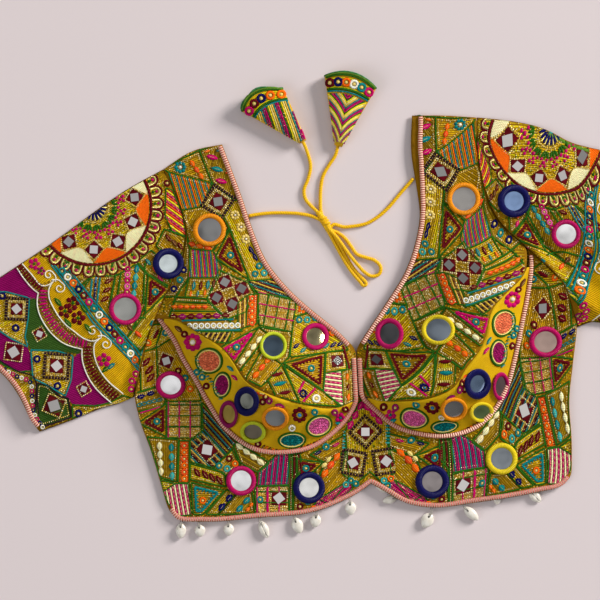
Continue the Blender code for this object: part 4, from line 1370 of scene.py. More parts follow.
@dataclass
class TieCords:
    """The two cords of the dori, tied in one bow, with a tassel on each."""

    bench: Workbench
    finishes: Finishes
    diameter: float = 3.5
    step: float = 1.6
    knot_place: Place = (324.6, 378.9, 3.5)
    knot_towards: Point = (331.6, 368.9)
    knot_ends: tuple[float, float] = (-11.5, 9.5)
    knot_girth: float = 2.3
    turn_radius: float = 1.25

    def build(self, tassels: dict[str, bpy.types.Object]) -> None:
        """Makes both cords and the knot.

        Args:
            tassels: the tassel of each side; not used.
        """
        knot = self._knot()
        left = DORI_LEFT + LOOP_NARROW + TAIL_LEFT
        right = DORI_RIGHT + LOOP_WIDE + TAIL_RIGHT
        for side, route, nodes, others in (
            ("left", left, ("dori_left", "dori_tail_left"), (tassels["left"],)),
            ("right", right, ("dori_right", "dori_tail_right"), (tassels["right"], knot)),
        ):
            line = smooth_curve(route, self.step)
            path = to_model(line)
            points, faces, uv = Sweep(line, 0.5 * self.diameter, 0.5 * self.diameter, 14).build()
            parts = Parts()
            parts.add(to_model(points), faces, uv, self.finishes.cord_dye)
            cord = parts.finish(self.bench, f"tie_cord_{side}", [self.finishes.cord])
            self.bench.declare(cord, "dori_cord", *nodes)

    def _knot(self) -> bpy.types.Object:
        """The bow's knot: the bundled strands with three turns of cord over them.

        Returns:
            The knot.
        """
        parts = Parts()
        centre = np.array(self.knot_place)
        ahead = np.array((*self.knot_towards, self.knot_place[2])) - centre
        ahead /= np.linalg.norm(ahead)
        across = np.cross((0, 0, 1.0), ahead)
        places = np.linspace(*self.knot_ends, 16)
        core = centre + places[:, None] * ahead
        girth = self.knot_girth + 0.9 * np.exp(-((places / 5.0) ** 2))
        points, faces, uv = Sweep(core, girth + 0.5, girth, 14).build()
        parts.add(to_model(points), faces, uv, self.finishes.cord_dye)
        for place, lean in ((-3.6, 0.5), (-0.4, 0.42), (2.8, 0.5)):
            turns = np.linspace(0, 2 * math.pi, 25)[:-1]
            ring = (
                centre + ahead * (place + lean * 2.6 * np.cos(turns))[:, None]
                + across * (3.3 * np.cos(turns))[:, None]
                + np.array((0, 0, 1.0)) * (2.5 * np.sin(turns) + 0.35)[:, None]
            )
            parts.add(*self.hoop(ring, self.turn_radius), self.finishes.cord_dye)
        knot = parts.finish(self.bench, "bow_knot", [self.finishes.cord])
        self.bench.declare(knot, "dori_cord", "dori_bow")
        return knot

    @staticmethod
    def hoop(ring: np.ndarray, radius: float, sides: int = 8) -> tuple[np.ndarray, list[np.ndarray], np.ndarray]:
        """A closed round turn of cord.

        Args:
            ring: the closed loop that it follows.
            radius: its own radius.
            sides: how many sides its section has.

        Returns:
            Points in metres, blocks of faces, and the map.
        """
        count = len(ring)
        ahead = unit(np.roll(ring, -1, axis=0) - np.roll(ring, 1, axis=0))
        out = ring - ring.mean(axis=0)
        out = unit(out - (out * ahead).sum(axis=1)[:, None] * ahead)
        over = np.cross(ahead, out)
        turns = 2 * math.pi * np.arange(sides) / sides
        points = ring[:, None] + radius * (
            out[:, None] * np.cos(turns)[None, :, None] + over[:, None] * np.sin(turns)[None, :, None]
        )
        faces = tube_quads(count + 1, sides)[:, [0, 3, 2, 1]] % (count * sides)
        solid = points.reshape(-1, 3)
        a, b, c = (solid[faces[0][i]] for i in range(3))
        if np.dot(np.cross(b - a, c - b), a - ring[0]) < 0:
            faces = faces[:, ::-1]
        along = np.arange(count) * 1.4
        uv = np.stack([np.repeat(along, sides), np.tile(np.linspace(-1, 1, sides), count)], axis=1)
        return to_model(solid), [faces], uv


# --------------------------------------------------------------------------- tassels


@dataclass
class Tassel:
    """One flattened cloth cone at the end of a cord, open at its rim."""

    bench: Workbench
    finishes: Finishes
    side: str
    apex: Point
    corners: tuple[Point, Point]
    bow_out: float
    neck: float = 3.75
    mouth: float = 7.5
    wall: float = 1.2
    rows: int = 22
    sides: int = 40
    crumple: float = 0.0
    rim_radius: float = 1.15
    rim_height: float = 1.2

    def axes(self) -> tuple[np.ndarray, np.ndarray, np.ndarray, float]:
        """The tip, the way to the rim, the way across, and half the rim's width.

        Returns:
            The tip, two plan vectors and a length.
        """
        apex, one, two = (np.array(p, float) for p in (self.apex, *self.corners))
        middle = 0.5 * (one + two)
        half = 0.5 * float(np.linalg.norm(two - one))
        return apex, middle - apex, (two - one) / (2 * half), half

    def plan(self, share: np.ndarray, across: np.ndarray) -> np.ndarray:
        """Plan points on the cone's upper side.

        Args:
            share: 0 at the tip, 1 at the rim.
            across: from -1 at one edge to 1 at the other.

        Returns:
            Board points.
        """
        apex, reach, side, half = self.axes()
        axis = reach / np.linalg.norm(reach)
        share, across = np.broadcast_arrays(np.asarray(share, float), np.asarray(across, float))
        width = self.neck + share * (half - self.neck)
        bulge = self.bow_out * share**3 * (1 - across**2)
        return apex + share[:, None] * reach + side * (width * across)[:, None] + axis * bulge[:, None]

    def build(self) -> bpy.types.Object:
        """The cone as a shell with a wall, and a rolled rim.

        Returns:
            The cone.
        """
        apex, reach, side, half = self.axes()
        axis = reach / np.linalg.norm(reach)
        rings = []
        turns = 2 * math.pi * np.arange(self.sides) / self.sides
        for wall in (0.0, self.wall):
            for share in np.linspace(0, 1, self.rows):
                width = self.neck + share * (half - self.neck) - wall
                height = self.neck + math.sqrt(share) * (self.mouth - self.neck)
                c, s = np.cos(turns), np.sin(turns)
                ripple = self.crumple * share**4 * np.sin(5 * turns + 1.1)
                plan = (
                    apex + share * reach + side * (width * c)[:, None]
                    + axis * (self.bow_out * share**3 * (1 - c * c) + ripple)[:, None]
                )
                z = height + 0.1 + (height - wall) * s
                rings.append(np.column_stack([plan, z]))
        points = np.vstack(rings)
        rows, sides = self.rows, self.sides
        outer = tube_quads(rows, sides)
        inside = rows * sides
        inner = outer[:, ::-1] + inside
        ring, following = np.arange(sides), (np.arange(sides) + 1) % sides
        tip = np.column_stack([ring, inside + ring, inside + following, following])
        last = (rows - 1) * sides
        rim = np.column_stack([last + ring, last + following, inside + last + following, inside + last + ring])
        faces = np.vstack([outer, inner, tip, rim])
        p, q, r = (points[outer[sides * rows // 2][i]] for i in range(3))
        centre = points[:inside].mean(axis=0)
        if np.dot(np.cross(q - p, r - q), p - centre) < 0:
            faces = faces[:, ::-1]
        parts = Parts()
        map_points = np.column_stack([points[:, 0], points[:, 1] * 0])
        parts.add(to_model(points), [faces], map_points, Silk.GRASS.value)
        edge = points[last : last + sides] * 0.5 + points[inside + last : inside + last + sides] * 0.5
        edge[:, 2] = np.maximum(edge[:, 2], self.rim_height)
        parts.add(*TieCords.hoop(edge, self.rim_radius), Silk.LEAF.value, slot=1)
        cone = parts.finish(self.bench, f"tassel_cone_{self.side}", [self.finishes.lining, self.finishes.wrapped])
        self.bench.declare(cone, "tassel_cloth", f"tassel_{self.side}")
        log.info("tassel %s", self.side)
        return cone


# --------------------------------------------------------------------------- ring mirrors


@dataclass(frozen=True)
class RingMirror:
    """One round mirror: where it is, how large it shows, its ring's dye, and its glass tint, a painted reflection of
    the brightness and colour that mirror shows.
    """

    x: float
    y: float
    width: float
    height: float
    dye: Silk
    glass: Colour
    ring: float = 1.0


# A near-white painted reflection for mirror glass.
PALE_REFLECTION = paint(232, 232, 234)
# Each mirror's glass colour is a painted reflection: the brightness and colour that mirror shows, set as the tint of
# its silvered glass.
MIRRORS = (
    RingMirror(209.5, 370, 33, 33, Silk.AMBER, paint(138, 138, 138)),
    RingMirror(168, 336.5, 31, 31, Silk.NAVY, paint(212, 222, 224), 1.45),
    RingMirror(125, 291, 32, 32, Silk.MAGENTA, paint(161, 161, 157)),
    RingMirror(273, 254, 27, 28, Silk.LIME, paint(130, 154, 176), 0.85),
    RingMirror(315, 263, 27, 27, Silk.MAGENTA, paint(236, 220, 170), 1.2),
    RingMirror(170.5, 215, 30, 28, Silk.MAGENTA, PALE_REFLECTION, 1.1),
    RingMirror(247.5, 200, 25, 30, Silk.NAVY, paint(222, 226, 214), 1.6),
    RingMirror(229.5, 186.5, 19, 28, Silk.WINE, paint(250, 214, 110), 1.15),
    RingMirror(275.5, 183, 27, 24, Silk.AMBER, paint(214, 218, 220), 0.95),
    RingMirror(253.5, 169, 26, 22, Silk.LIME, paint(180, 166, 144), 1.1),
    RingMirror(241, 119, 30, 30, Silk.MAGENTA, PALE_REFLECTION, 1.1),
    RingMirror(309, 112, 32, 32, Silk.NAVY, paint(228, 228, 226), 1.35),
    RingMirror(464, 401, 33, 33, Silk.AMBER, paint(166, 162, 158)),
    RingMirror(514, 399, 33, 33, Silk.NAVY, paint(132, 158, 200), 1.45),
    RingMirror(566, 366, 29, 29, Silk.MAGENTA, paint(254, 254, 254), 1.1),
    RingMirror(390, 266, 28, 31, Silk.MAGENTA, paint(140, 140, 144), 1.1),
    RingMirror(438, 270, 33, 30, Silk.YELLOW, paint(186, 200, 216), 0.9),
    RingMirror(546, 258, 33, 31, Silk.MAGENTA, paint(176, 150, 140), 1.1),
    RingMirror(476, 217, 27, 31, Silk.NAVY, paint(176, 206, 246), 1.5),
    RingMirror(500, 214, 17, 29, Silk.MAGENTA, paint(190, 160, 160), 1.1),
    RingMirror(453, 192, 27, 24, Silk.AMBER, paint(180, 178, 176), 0.95),
    RingMirror(481, 188.5, 25, 21, Silk.YELLOW, paint(176, 206, 140), 1.1),
    RingMirror(432.5, 118, 34, 34, Silk.NAVY, paint(146, 138, 138), 1.4),
    RingMirror(502, 141, 32, 32, Silk.YELLOW, paint(132, 138, 144), 1.15),
)


@dataclass
class RingMirrors:
    """The large mirrors, each held by a thickly wrapped ring."""

    bench: Workbench
    finishes: Finishes
    surface: Surface
    thread: float = 0.142
    flatten: float = 0.86
    segments: int = 44
    sides: int = 10
    glass_lift: float = 1.15
    ring_lift: float = 1.9

    def build(self) -> None:
        """Models one ring and its glass, and lays a copy at each place."""
        pattern = self._pattern()
        for number, mirror in enumerate(MIRRORS, 1):
            piece = self.bench.link(f"ring_mirror_{number:02d}", pattern.data.copy())
            self._lay(piece, mirror)
            self.bench.declare(piece, "ring_mirror", f"mirror_{number:02d}")
        bpy.data.objects.remove(pattern)
        log.info("ring mirrors: %d", len(MIRRORS))

    def _pattern(self) -> bpy.types.Object:
        """One ring of outer radius 1 with its domed glass, made with the mesh tools.

        Returns:
            The pattern, which is copied and then removed.
        """
        self.bench.choose()
        bpy.ops.mesh.primitive_circle_add(vertices=self.segments, radius=1 - 1.6 * self.thread, fill_type="NGON")
        glass = bpy.context.object
        bpy.ops.object.mode_set(mode="EDIT")
        bpy.ops.mesh.select_all(action="SELECT")
        bpy.ops.mesh.inset(thickness=0.12, depth=0.012)
        bpy.ops.mesh.inset(thickness=0.4, depth=0.012)
        bpy.ops.object.mode_set(mode="OBJECT")
        glass.data.materials.append(self.finishes.wrapped)
        glass.data.materials.append(self.finishes.glass)
        for face in glass.data.polygons:
            face.material_index = 1
        bpy.ops.mesh.primitive_torus_add(
            major_segments=self.segments, minor_segments=self.sides, major_radius=1 - self.thread,
            minor_radius=self.thread, generate_uvs=True,
        )
        ring = bpy.context.object
        ring.data.materials.append(self.finishes.wrapped)
        for piece in (ring, glass):
            layer = piece.data.uv_layers.active or piece.data.uv_layers.new()
            layer.name = "threads"
        uv = np.zeros(2 * len(ring.data.loops), np.float32)
        ring.data.uv_layers["threads"].data.foreach_get("uv", uv)
        uv = uv.reshape(-1, 2) * (138.0, 2.0) - (0.0, 1.0)
        ring.data.uv_layers["threads"].data.foreach_set("uv", uv.astype(np.float32).ravel())
        self.bench.join(ring, glass)
        ring.data.shade_smooth()
        return ring

    def _lay(self, piece: bpy.types.Object, mirror: RingMirror) -> None:
        """Shapes a copy to one mirror's size and lays it on the cloth.

        Args:
            piece: the copy.
            mirror: its place, size and dye.
        """
        held = points_of(piece)
        radius = np.maximum(np.linalg.norm(held[:, :2], axis=1), 1e-6)
        hole = 1 - 2 * self.thread
        new_hole = 1 - 2 * self.thread * mirror.ring
        on_ring = radius > hole - 0.02
        ring_radius = 1 - (1 - radius) * mirror.ring
        new = np.where(on_ring, ring_radius, radius * new_hole / hole)
        glass = np.zeros(len(held), bool)
        for face in piece.data.polygons:
            if face.material_index == 1:
                glass[list(face.vertices)] = True
        new = np.where(glass, radius * (new_hole + 0.06) / (1 - 1.6 * self.thread), new)
        flat = held[:, :2] / radius[:, None] * new[:, None]
        half, middle = 0.5 * np.array((mirror.width, mirror.height)), np.array((mirror.x, mirror.y))
        plan = middle + flat * half
        turns = np.linspace(0, 2 * math.pi, 24, endpoint=False)
        rim = middle + 0.86 * half * np.column_stack([np.cos(turns), np.sin(turns)])
        heights = self.surface.height(rim)
        table = np.column_stack([np.ones(len(rim)), rim - middle])
        fit = np.linalg.lstsq(table, heights, rcond=None)[0]
        spare = float(np.quantile(heights - table @ fit, 0.8))
        slope = np.array((-fit[1], -fit[2], 1.0))
        slope /= np.linalg.norm(slope)
        thick = 0.5 * (mirror.width + mirror.height) * 0.5
        local = np.where(
            glass, held[:, 2] * thick + self.glass_lift, held[:, 2] * self.flatten * thick + self.ring_lift
        )
        base = fit[0] + spare + (plan - middle) @ fit[1:]
        laid = np.column_stack([plan, base]) + local[:, None] * slope
        set_points(piece, to_model(laid))
        # The glass takes its mirror's painted reflection colour as tint; the ring takes its dye.
        self.bench.dye(piece.data, np.where(glass[:, None], mirror.glass, mirror.dye.value))


# --------------------------------------------------------------------------- piping


def neck_seat(side: str) -> np.ndarray:
    """The middle line of the piping at the neck; on the right it stands back from the edge of the strap.

    Args:
        side: left or right.

    Returns:
        Board points from the shoulder down.
    """
    half = HALVES[side]
    line = parallel(smooth_curve(half.neck, 2.0), -PIPING_REACH * half.out)
    if side == "left":
        return line
    back = 6.6 * np.clip((line[:, 1] - 386) / 55, 0, 1) * np.clip(1.25 - (line[:, 1] - 440) / 130, 0, 1)
    return line + np.column_stack([back, np.zeros(len(line))])


@dataclass
class Piping:
    """Wrapped cords sewn along the neck, round the cups, along the hem and at the sleeve ends."""

    bench: Workbench
    finishes: Finishes
    surface: Surface
    width: float = 4.5
    thick: float = 3.0
    sunk: float = 0.15
    top: Point = (356.6, 243)

    def build(self) -> None:
        """Makes all seven lengths."""
        for name, line in self.lines().items():
            self._lay(name, line)
        log.info("piping: 7 lengths")

    def lines(self) -> dict[str, np.ndarray]:
        """The middle line of each length, on the board.

        Returns:
            Each length's solid and its line.
        """
        made = {f"neck_trim_{side}": shortened(neck_seat(side), 1, 8) for side in HALVES}
        for side, half in HALVES.items():
            armhole = smooth_curve(half.armhole, 2.0)
            first = armhole[np.linalg.norm(armhole - half.cup_start, axis=1).argmin()]
            underwire = smooth_curve([first, *half.underwire, GORE_PEAK], 2.0)
            up = resampled(np.array([GORE_PEAK, self.top], float) - (PIPING_REACH * half.out, 0.0), 2.0)
            away = np.linalg.norm(underwire - np.array(GORE_PEAK), axis=1)
            path = smooth_curve(np.vstack([underwire[away > 3 * PIPING_REACH], up[1:]]), 2.0)
            made[f"cup_trim_{side}"] = shortened(path, 4, 1)
        made["hem_trim"] = shortened(parallel(hem_line(2.0), PIPING_REACH), 3, 3)
        for side, half in HALVES.items():
            cuff = parallel(smooth_curve(half.sleeve_hem, 4.0), PIPING_REACH * half.out)
            made[f"sleeve_trim_{side}"] = shortened(cuff, 5, 5)
        return made

    def _lay(self, node: str, line: np.ndarray) -> None:
        """Sweeps one length over the cloth.

        Args:
            node: the solid that it stands for.
            line: its middle line.
        """
        line = resampled(line, 1.8)
        seat = np.max([self.surface.height(parallel(line, shift)) for shift in (-1.9, 0.0, 1.9)], axis=0)
        seat = np.convolve(np.pad(seat, 3, mode="edge"), np.ones(7) / 7, mode="valid")
        path = np.column_stack([line, seat + 0.5 * self.thick - self.sunk])
        taper = np.ones(len(path))
        taper[0] = taper[-1] = 0.8
        points, faces, uv = Sweep(path, 0.5 * self.width * taper, 0.5 * self.thick * taper, 12).build()
        parts = Parts()
        parts.add(to_model(points), faces, uv, Silk.CORAL.value)
        piece = parts.finish(self.bench, node.replace("trim", "piping"), [self.finishes.piping])
        self.bench.declare(piece, "piping", node)


# --------------------------------------------------------------------------- cowries


@dataclass(frozen=True)
class CowriePlace:
    """One cowrie: where its top and tip lie, how wide it shows, and whether it is tucked or turned over."""

    top: Point
    tip: Point
    width: float
    tucked: bool = False
    slit_up: bool = False


COWRIES = (
    CowriePlace((180.8, 76.6), (180.5, 61.0), 9.6),
    CowriePlace((198.9, 75.0), (200.6, 62.6), 10.0),
    CowriePlace((228.5, 76.4), (228.5, 63.6), 9.8),
    CowriePlace((260.0, 78.6), (267.7, 61.6), 9.0, slit_up=True),
    CowriePlace((294.4, 82.0), (300.5, 66.2), 10.5),
    CowriePlace((316.8, 85.4), (314.5, 72.0), 10.0),
    CowriePlace((350.3, 98.4), (351.0, 84.4), 10.4),
    CowriePlace((390.5, 109.3), (376.0, 115.2), 9.0, tucked=True),
    CowriePlace((397.0, 101.6), (382.8, 98.0), 7.4, tucked=True),
    CowriePlace((431.4, 86.3), (423.4, 72.0), 11.6),
    CowriePlace((464.6, 92.4), (478.5, 79.5), 9.0),
    CowriePlace((498.0, 108.8), (497.5, 94.8), 8.0, tucked=True),
    CowriePlace((530.0, 109.0), (541.0, 97.5), 9.0, tucked=True, slit_up=True),
)


@dataclass
class Cowries:
    """The cowries below the hem, each on its own thread."""

    bench: Workbench
    finishes: Finishes
    height: float = 6.2
    tucked_height: float = 4.6
    thread: float = 0.42

    def build(self) -> None:
        """Models both sides of a cowrie once, and lays a copy at each place."""
        patterns = {False: self._pattern(False), True: self._pattern(True)}
        hem = hem_line(0.5)
        for number, place in enumerate(COWRIES, 1):
            piece = self.bench.link(f"cowrie_shell_{number:02d}", patterns[place.slit_up].data.copy())
            self._lay(piece, place, hem)
            self.bench.declare(piece, "cowrie_shell", f"cowrie_{number:02d}")
        for pattern in patterns.values():
            bpy.data.objects.remove(pattern)
        log.info("cowries: %d", len(COWRIES))

    def _pattern(self, slit_up: bool) -> bpy.types.Object:
        """A cowrie 1 long and 1 wide, its top at y = 0 and its tip at y = 1.

        Args:
            slit_up: whether its toothed slit is on top; otherwise the smooth back is, with its drilled hole. Slit and
                hole are dark pieces of painted shade.

        Returns:
            The joined pattern.
        """
        self.bench.choose()
        bpy.ops.mesh.primitive_uv_sphere_add(segments=28, ring_count=18, radius=0.5, location=(0, 0, 0))
        body = bpy.context.object
        bpy.ops.object.mode_set(mode="EDIT")
        bpy.ops.mesh.select_all(action="SELECT")
        bpy.ops.transform.rotate(value=math.pi / 2, orient_axis="X", center_override=(0, 0, 0), orient_type="GLOBAL")
        bpy.ops.object.mode_set(mode="OBJECT")
        held = points_of(body)
        share = held[:, 1] + 0.5
        held[:, 0] *= 0.86 + 0.3 * np.sin(math.pi * np.clip(share, 0, 1) ** 0.8)
        held[:, 2] *= 0.9 + 0.12 * np.sin(math.pi * share)
        if slit_up:
            held[:, 2] -= 0.12 * np.exp(-((held[:, 0] / 0.1) ** 2)) * (held[:, 2] > 0)
        held[:, 1] = share
        set_points(body, held)
        body.data.materials.append(self.finishes.shell)
        pieces = [body]
        if slit_up:
            # A dark lens sunk in the slit: painted shade in its opening.
            bpy.ops.mesh.primitive_uv_sphere_add(segments=16, ring_count=8, radius=0.5, location=(0, 0.5, 0.34))
            pieces.append(self._shaped(self.finishes.hole, (0.09, 0.78, 0.12)))
            for side in (-1, 1):
                for tooth in range(9):
                    bpy.ops.mesh.primitive_uv_sphere_add(
                        segments=8, ring_count=6, radius=0.035, location=(side * 0.088, 0.18 + 0.08 * tooth, 0.4)
                    )
                    pieces.append(self._shaped(self.finishes.shell, (1.9, 0.75, 0.9)))
        else:
            # A dark plug in the drilled hole: painted shade inside it.
            bpy.ops.mesh.primitive_cylinder_add(vertices=14, radius=0.085, depth=0.1, location=(0.03, 0.24, 0.42))
            pieces.append(self._shaped(self.finishes.hole, (1, 1, 1)))
        self.bench.join(*pieces)
        body.data.shade_smooth()
        return body

    @staticmethod
    def _shaped(finish: bpy.types.Material, scale: Place) -> bpy.types.Object:
        """The object just added, stretched and given its finish.

        Args:
            finish: its material.
            scale: how much it is stretched each way.

        Returns:
            The object.
        """
        piece = bpy.context.object
        bpy.ops.transform.resize(value=scale)
        bpy.ops.object.transform_apply(location=True, rotation=True, scale=True)
        piece.data.materials.append(finish)
        return piece

    def _lay(self, piece: bpy.types.Object, place: CowriePlace, hem: np.ndarray) -> None:
        """Gives a copy its size and place, and ties it to the hem.

        Args:
            piece: the copy.
            place: where it lies.
            hem: the hem's edge.
        """
        top, tip = np.array(place.top, float), np.array(place.tip, float)
        height = self.tucked_height if place.tucked else self.height
        middle = 0.5 * height + 0.2
        length = float(np.linalg.norm(tip - top))
        axis = (tip - top) / length
        across = np.array((-axis[1], axis[0]))
        held = points_of(piece)
        plan = top + axis * (held[:, 1:2] * length) - across * (held[:, :1] * place.width * 0.96)
        laid = np.column_stack([plan, middle + held[:, 2] * height])
        set_points(piece, to_model(laid))
        if not piece.data.uv_layers:
            piece.data.uv_layers.new(name="threads")
        seat = hem[np.linalg.norm(hem - top, axis=1).argmin()]
        parts = Parts()
        for shift in (-0.7, 0.8):
            eye = top + axis * (0.22 * length) + across * shift * 0.4
            rows = np.vstack([
                np.append(eye, middle + 0.46 * height),
                np.append(top - axis * 0.2 + across * shift, middle + 0.3 * height),
                np.append(0.5 * (top + seat) + across * shift, middle + 0.4),
                np.append(seat + (seat - top) * 0.12 + across * shift * 1.6, 3.0),
            ])
            points, faces, uv = Sweep(smooth_curve(rows, 0.7), self.thread, self.thread, 8).build()
            parts.add(to_model(points), faces, uv, Silk.WHITE.value)
        thread = parts.finish(self.bench, piece.name + "_thread", [self.finishes.thread])
        self.bench.join(piece, thread)


# --------------------------------------------------------------------------- stitches


class Section(Enum):
    """How a band of stitches is shaped across: offsets and heights as shares."""

    THIN = ((-1.0, 0.0, 1.0), (0.0, 1.0, 0.0))
    FULL = ((-1.0, -0.55, 0.55, 1.0), (0.0, 1.0, 1.0, 0.0))


class Metal(Enum):
    """Which material a stitch takes."""

    SILK = 0
    ZARI = 1
    GLASS = 2


@dataclass
class FlatWork:
    """A flat sheet of stitches: plan, lift, dye, map, faces and their materials."""

    plan: np.ndarray
    lift: np.ndarray
    dye: np.ndarray
    uv: np.ndarray
    faces: dict[int, np.ndarray]
    slots: dict[int, np.ndarray]


@dataclass
class Gathering:
    """Points and faces on their way into one flat sheet."""

    rows: list[tuple[np.ndarray, ...]] = field(default_factory=list)
    faces: dict[int, list[np.ndarray]] = field(default_factory=lambda: {3: [], 4: []})
    slots: dict[int, list[np.ndarray]] = field(default_factory=lambda: {3: [], 4: []})
    count: int = 0

    def points(self, plan: np.ndarray, lift: np.ndarray, dye: np.ndarray, uv: np.ndarray) -> int:
        """Adds points and returns where they start.

        Args:
            plan: plan points.
            lift: how far each stands off the cloth.
            dye: their colours.
            uv: their map.

        Returns:
            The number of the first one.
        """
        self.rows.append((plan.reshape(-1, 2), lift.ravel(), dye.reshape(-1, 3), uv))
        self.count += len(uv)
        return self.count - len(uv)

    def add(self, metal: Metal, *corners: np.ndarray) -> None:
        """Adds a block of faces in one material from the columns of their corners."""
        self.faces[len(corners)].append(np.column_stack(corners))
        self.slots[len(corners)].append(np.full(len(corners[0]), metal.value))

    def finish(self) -> FlatWork:
        """The sheet.

        Returns:
            The points and faces as arrays.
        """
        plan, lift, dye, uv = (np.concatenate(column) for column in zip(*self.rows))
        return FlatWork(
            plan, lift, np.clip(dye, 0, 1), uv,
            {size: np.vstack(blocks) for size, blocks in self.faces.items() if blocks},
            {size: np.concatenate(blocks) for size, blocks in self.slots.items() if blocks},
        )


@dataclass
class Threadwork:
    """Gathers stitches on the board and joins them into one flat sheet."""

    seed: int
    bands: dict[tuple[Section, Metal], list[tuple]] = field(default_factory=dict)
    domes: dict[Metal, list[tuple]] = field(default_factory=dict)
    tiles: dict[Metal, list[tuple]] = field(default_factory=dict)
    bead_sides: int = 6
    # A band's edge lanes are dyed darker (painted shade at each stitch's foot) and its crown lanes lighter (painted
    # highlight).
    painted_shade_at_foot: dict[Section, float] = field(default_factory=lambda: {Section.FULL: 0.2, Section.THIN: 0.26})
    painted_highlight_at_crown: float = 1.28

    def __post_init__(self) -> None:
        """Starts its own run of chance."""
        self.chance = np.random.default_rng(self.seed)

    def shades(self, dye: Colour, count: int, spread: float = 0.1) -> np.ndarray:
        """A dye repeated with small changes of brightness."""
        return np.array(dye) * (1 + self.chance.normal(0, spread, count))[:, None]

    def band(
        self, points: np.ndarray, width: np.ndarray | float, dye: np.ndarray, rise: float = 0.8, base: float = 0.1,
        section: Section = Section.FULL, metal: Metal = Metal.SILK,
    ) -> None:
        """One band of stitches along a line.

        Args:
            points: the line's plan points.
            width: its width, even or for each point.
            dye: its colour for each point.
            rise: how far its crown stands over its edges.
            base: how far its edges stand off the cloth.
            section: its shape across.
            metal: its material.
        """
        count = len(points)
        if count > 1:
            self.bands.setdefault((section, metal), []).append(
                (points, np.broadcast_to(width, count), dye, np.full(count, rise), np.full(count, base))
            )

    def row(
        self, start: np.ndarray, end: np.ndarray, step: float, dye: Colour, spread: float = 0.08, **settings: object
    ) -> None:
        """A straight band between two points, with stations about a step apart.

        Args:
            start: where it starts.
            end: where it ends.
            step: how far apart its stations are.
            dye: its dye.
            spread: how much its brightness changes.
            settings: what band takes.
        """
        count = max(2, int(round(float(np.linalg.norm(end - start)) / step)) + 1)
        points = start + np.linspace(0, 1, count)[:, None] * (end - start)
        self.band(points, dye=self.shades(dye, count, spread), **settings)

    def leaf(
        self, centre: Sequence[float], angle: float, length: float, width: float, dye: Colour, rise: float = 1.0,
        base: float = 0.35, metal: Metal = Metal.SILK,
    ) -> None:
        """A satin leaf, pointed at both ends.

        Args:
            centre: its middle.
            angle: its direction in degrees.
            length: its length.
            width: its width.
            dye: its dye.
            rise: how far it stands over its edges.
            base: how far its edges stand off the cloth.
            metal: its material.
        """
        share = np.linspace(0, 1, 6)
        points = np.array(centre) + (share[:, None] - 0.5) * length * axes(angle)[0]
        widths = width * np.maximum(np.sin(math.pi * share) ** 0.75, 0.12)
        self.band(points, widths, self.shades(dye, 6, 0.06), rise, base, metal=metal)

    def ring(
        self, centre: Sequence[float], radius: float, thread: float, dye: Colour, rise: float = 1.0,
        base: float = 0.35, sides: int = 12, squash: tuple[float, float] = (1.0, 1.0), turn: float = 0.0,
    ) -> None:
        """A stitched ring, or an oval one.

        Args:
            centre: its middle.
            radius: its radius.
            thread: how thick its thread is.
            dye: its dye.
            rise: how far it stands over its edges.
            base: how far its edges stand off the cloth.
            sides: how many sides it has.
            squash: how much it is squashed each way.
            turn: its angle in degrees.
        """
        angles = 2 * math.pi * np.arange(sides + 2) / sides
        local = np.column_stack([np.cos(angles) * radius * squash[0], np.sin(angles) * radius * squash[1]])
        self.band(np.array(centre) + local @ axes(turn), thread, self.shades(dye, sides + 2, 0.06), rise, base)

    def beads(
        self, centres: np.ndarray, radius: float, dyes: Sequence[Colour], rise: float = 0.9, base: float = 0.2,
        metal: Metal = Metal.SILK,
    ) -> None:
        """Small domed beads or knots, their dyes taken in turn by chance.

        Args:
            centres: their middles.
            radius: about how large they are.
            dyes: the dyes to draw from.
            rise: how far they stand over their edges.
            base: how far their edges stand off the cloth.
            metal: their material.
        """
        count = len(centres)
        if count:
            picked = np.array(dyes)[self.chance.integers(0, len(dyes), count)]
            picked = picked * (1 + self.chance.normal(0, 0.1, count))[:, None]
            sizes = radius * (1 + self.chance.normal(0, 0.08, count))
            self.domes.setdefault(metal, []).append(
                (centres, sizes, picked, np.full(count, rise), np.full(count, base))
            )

    def bead_line(
        self, line: np.ndarray, pitch: float, radius: float, dyes: Sequence[Colour], rise: float = 0.9,
        base: float = 0.4,
    ) -> None:
        """Metal beads strung along a line."""
        self.beads(resampled(line, pitch), radius, dyes, rise, base, Metal.ZARI)

    def tile(
        self, centre: Sequence[float], half: float, angle: float, dye: Colour, rise: float = 1.0,
        metal: Metal = Metal.SILK,
    ) -> None:
        """A flat square with bevelled sides."""
        self.tiles.setdefault(metal, []).append((square(centre, half, angle), np.array(dye), rise))

    def sprinkle(
        self, outline: np.ndarray, spacing: float, radius: float, dyes: Sequence[Colour], metal: Metal = Metal.ZARI
    ) -> None:
        """Beads scattered inside an outline, about a spacing apart.

        Args:
            outline: a closed plan outline.
            spacing: how far apart they are.
            radius: about how large they are.
            dyes: the dyes to draw from.
            metal: their material.
        """
        low, high = outline.min(axis=0), outline.max(axis=0)
        size = np.maximum(1, ((high - low) / spacing).astype(int) + 1)
        u, v = np.meshgrid(np.arange(size[0]), np.arange(size[1]))
        places = low + np.column_stack([u.ravel() + 0.5 * (v.ravel() % 2), v.ravel()]) * spacing
        places = places + self.chance.uniform(-0.32, 0.32, places.shape) * spacing
        self.beads(places[is_inside(places, outline)], radius, dyes, 0.7, 0.25, metal)

    def joined(self) -> FlatWork:
        """Every stitch in one flat sheet.

        Returns:
            The sheet.
        """
        sheet = Gathering()
        for (section, metal), rows in self.bands.items():
            self._join_bands(sheet, section, metal, rows)
        for metal, rows in self.domes.items():
            self._join_domes(sheet, metal, rows)
        for metal, rows in self.tiles.items():
            self._join_tiles(sheet, metal, rows)
        return sheet.finish()

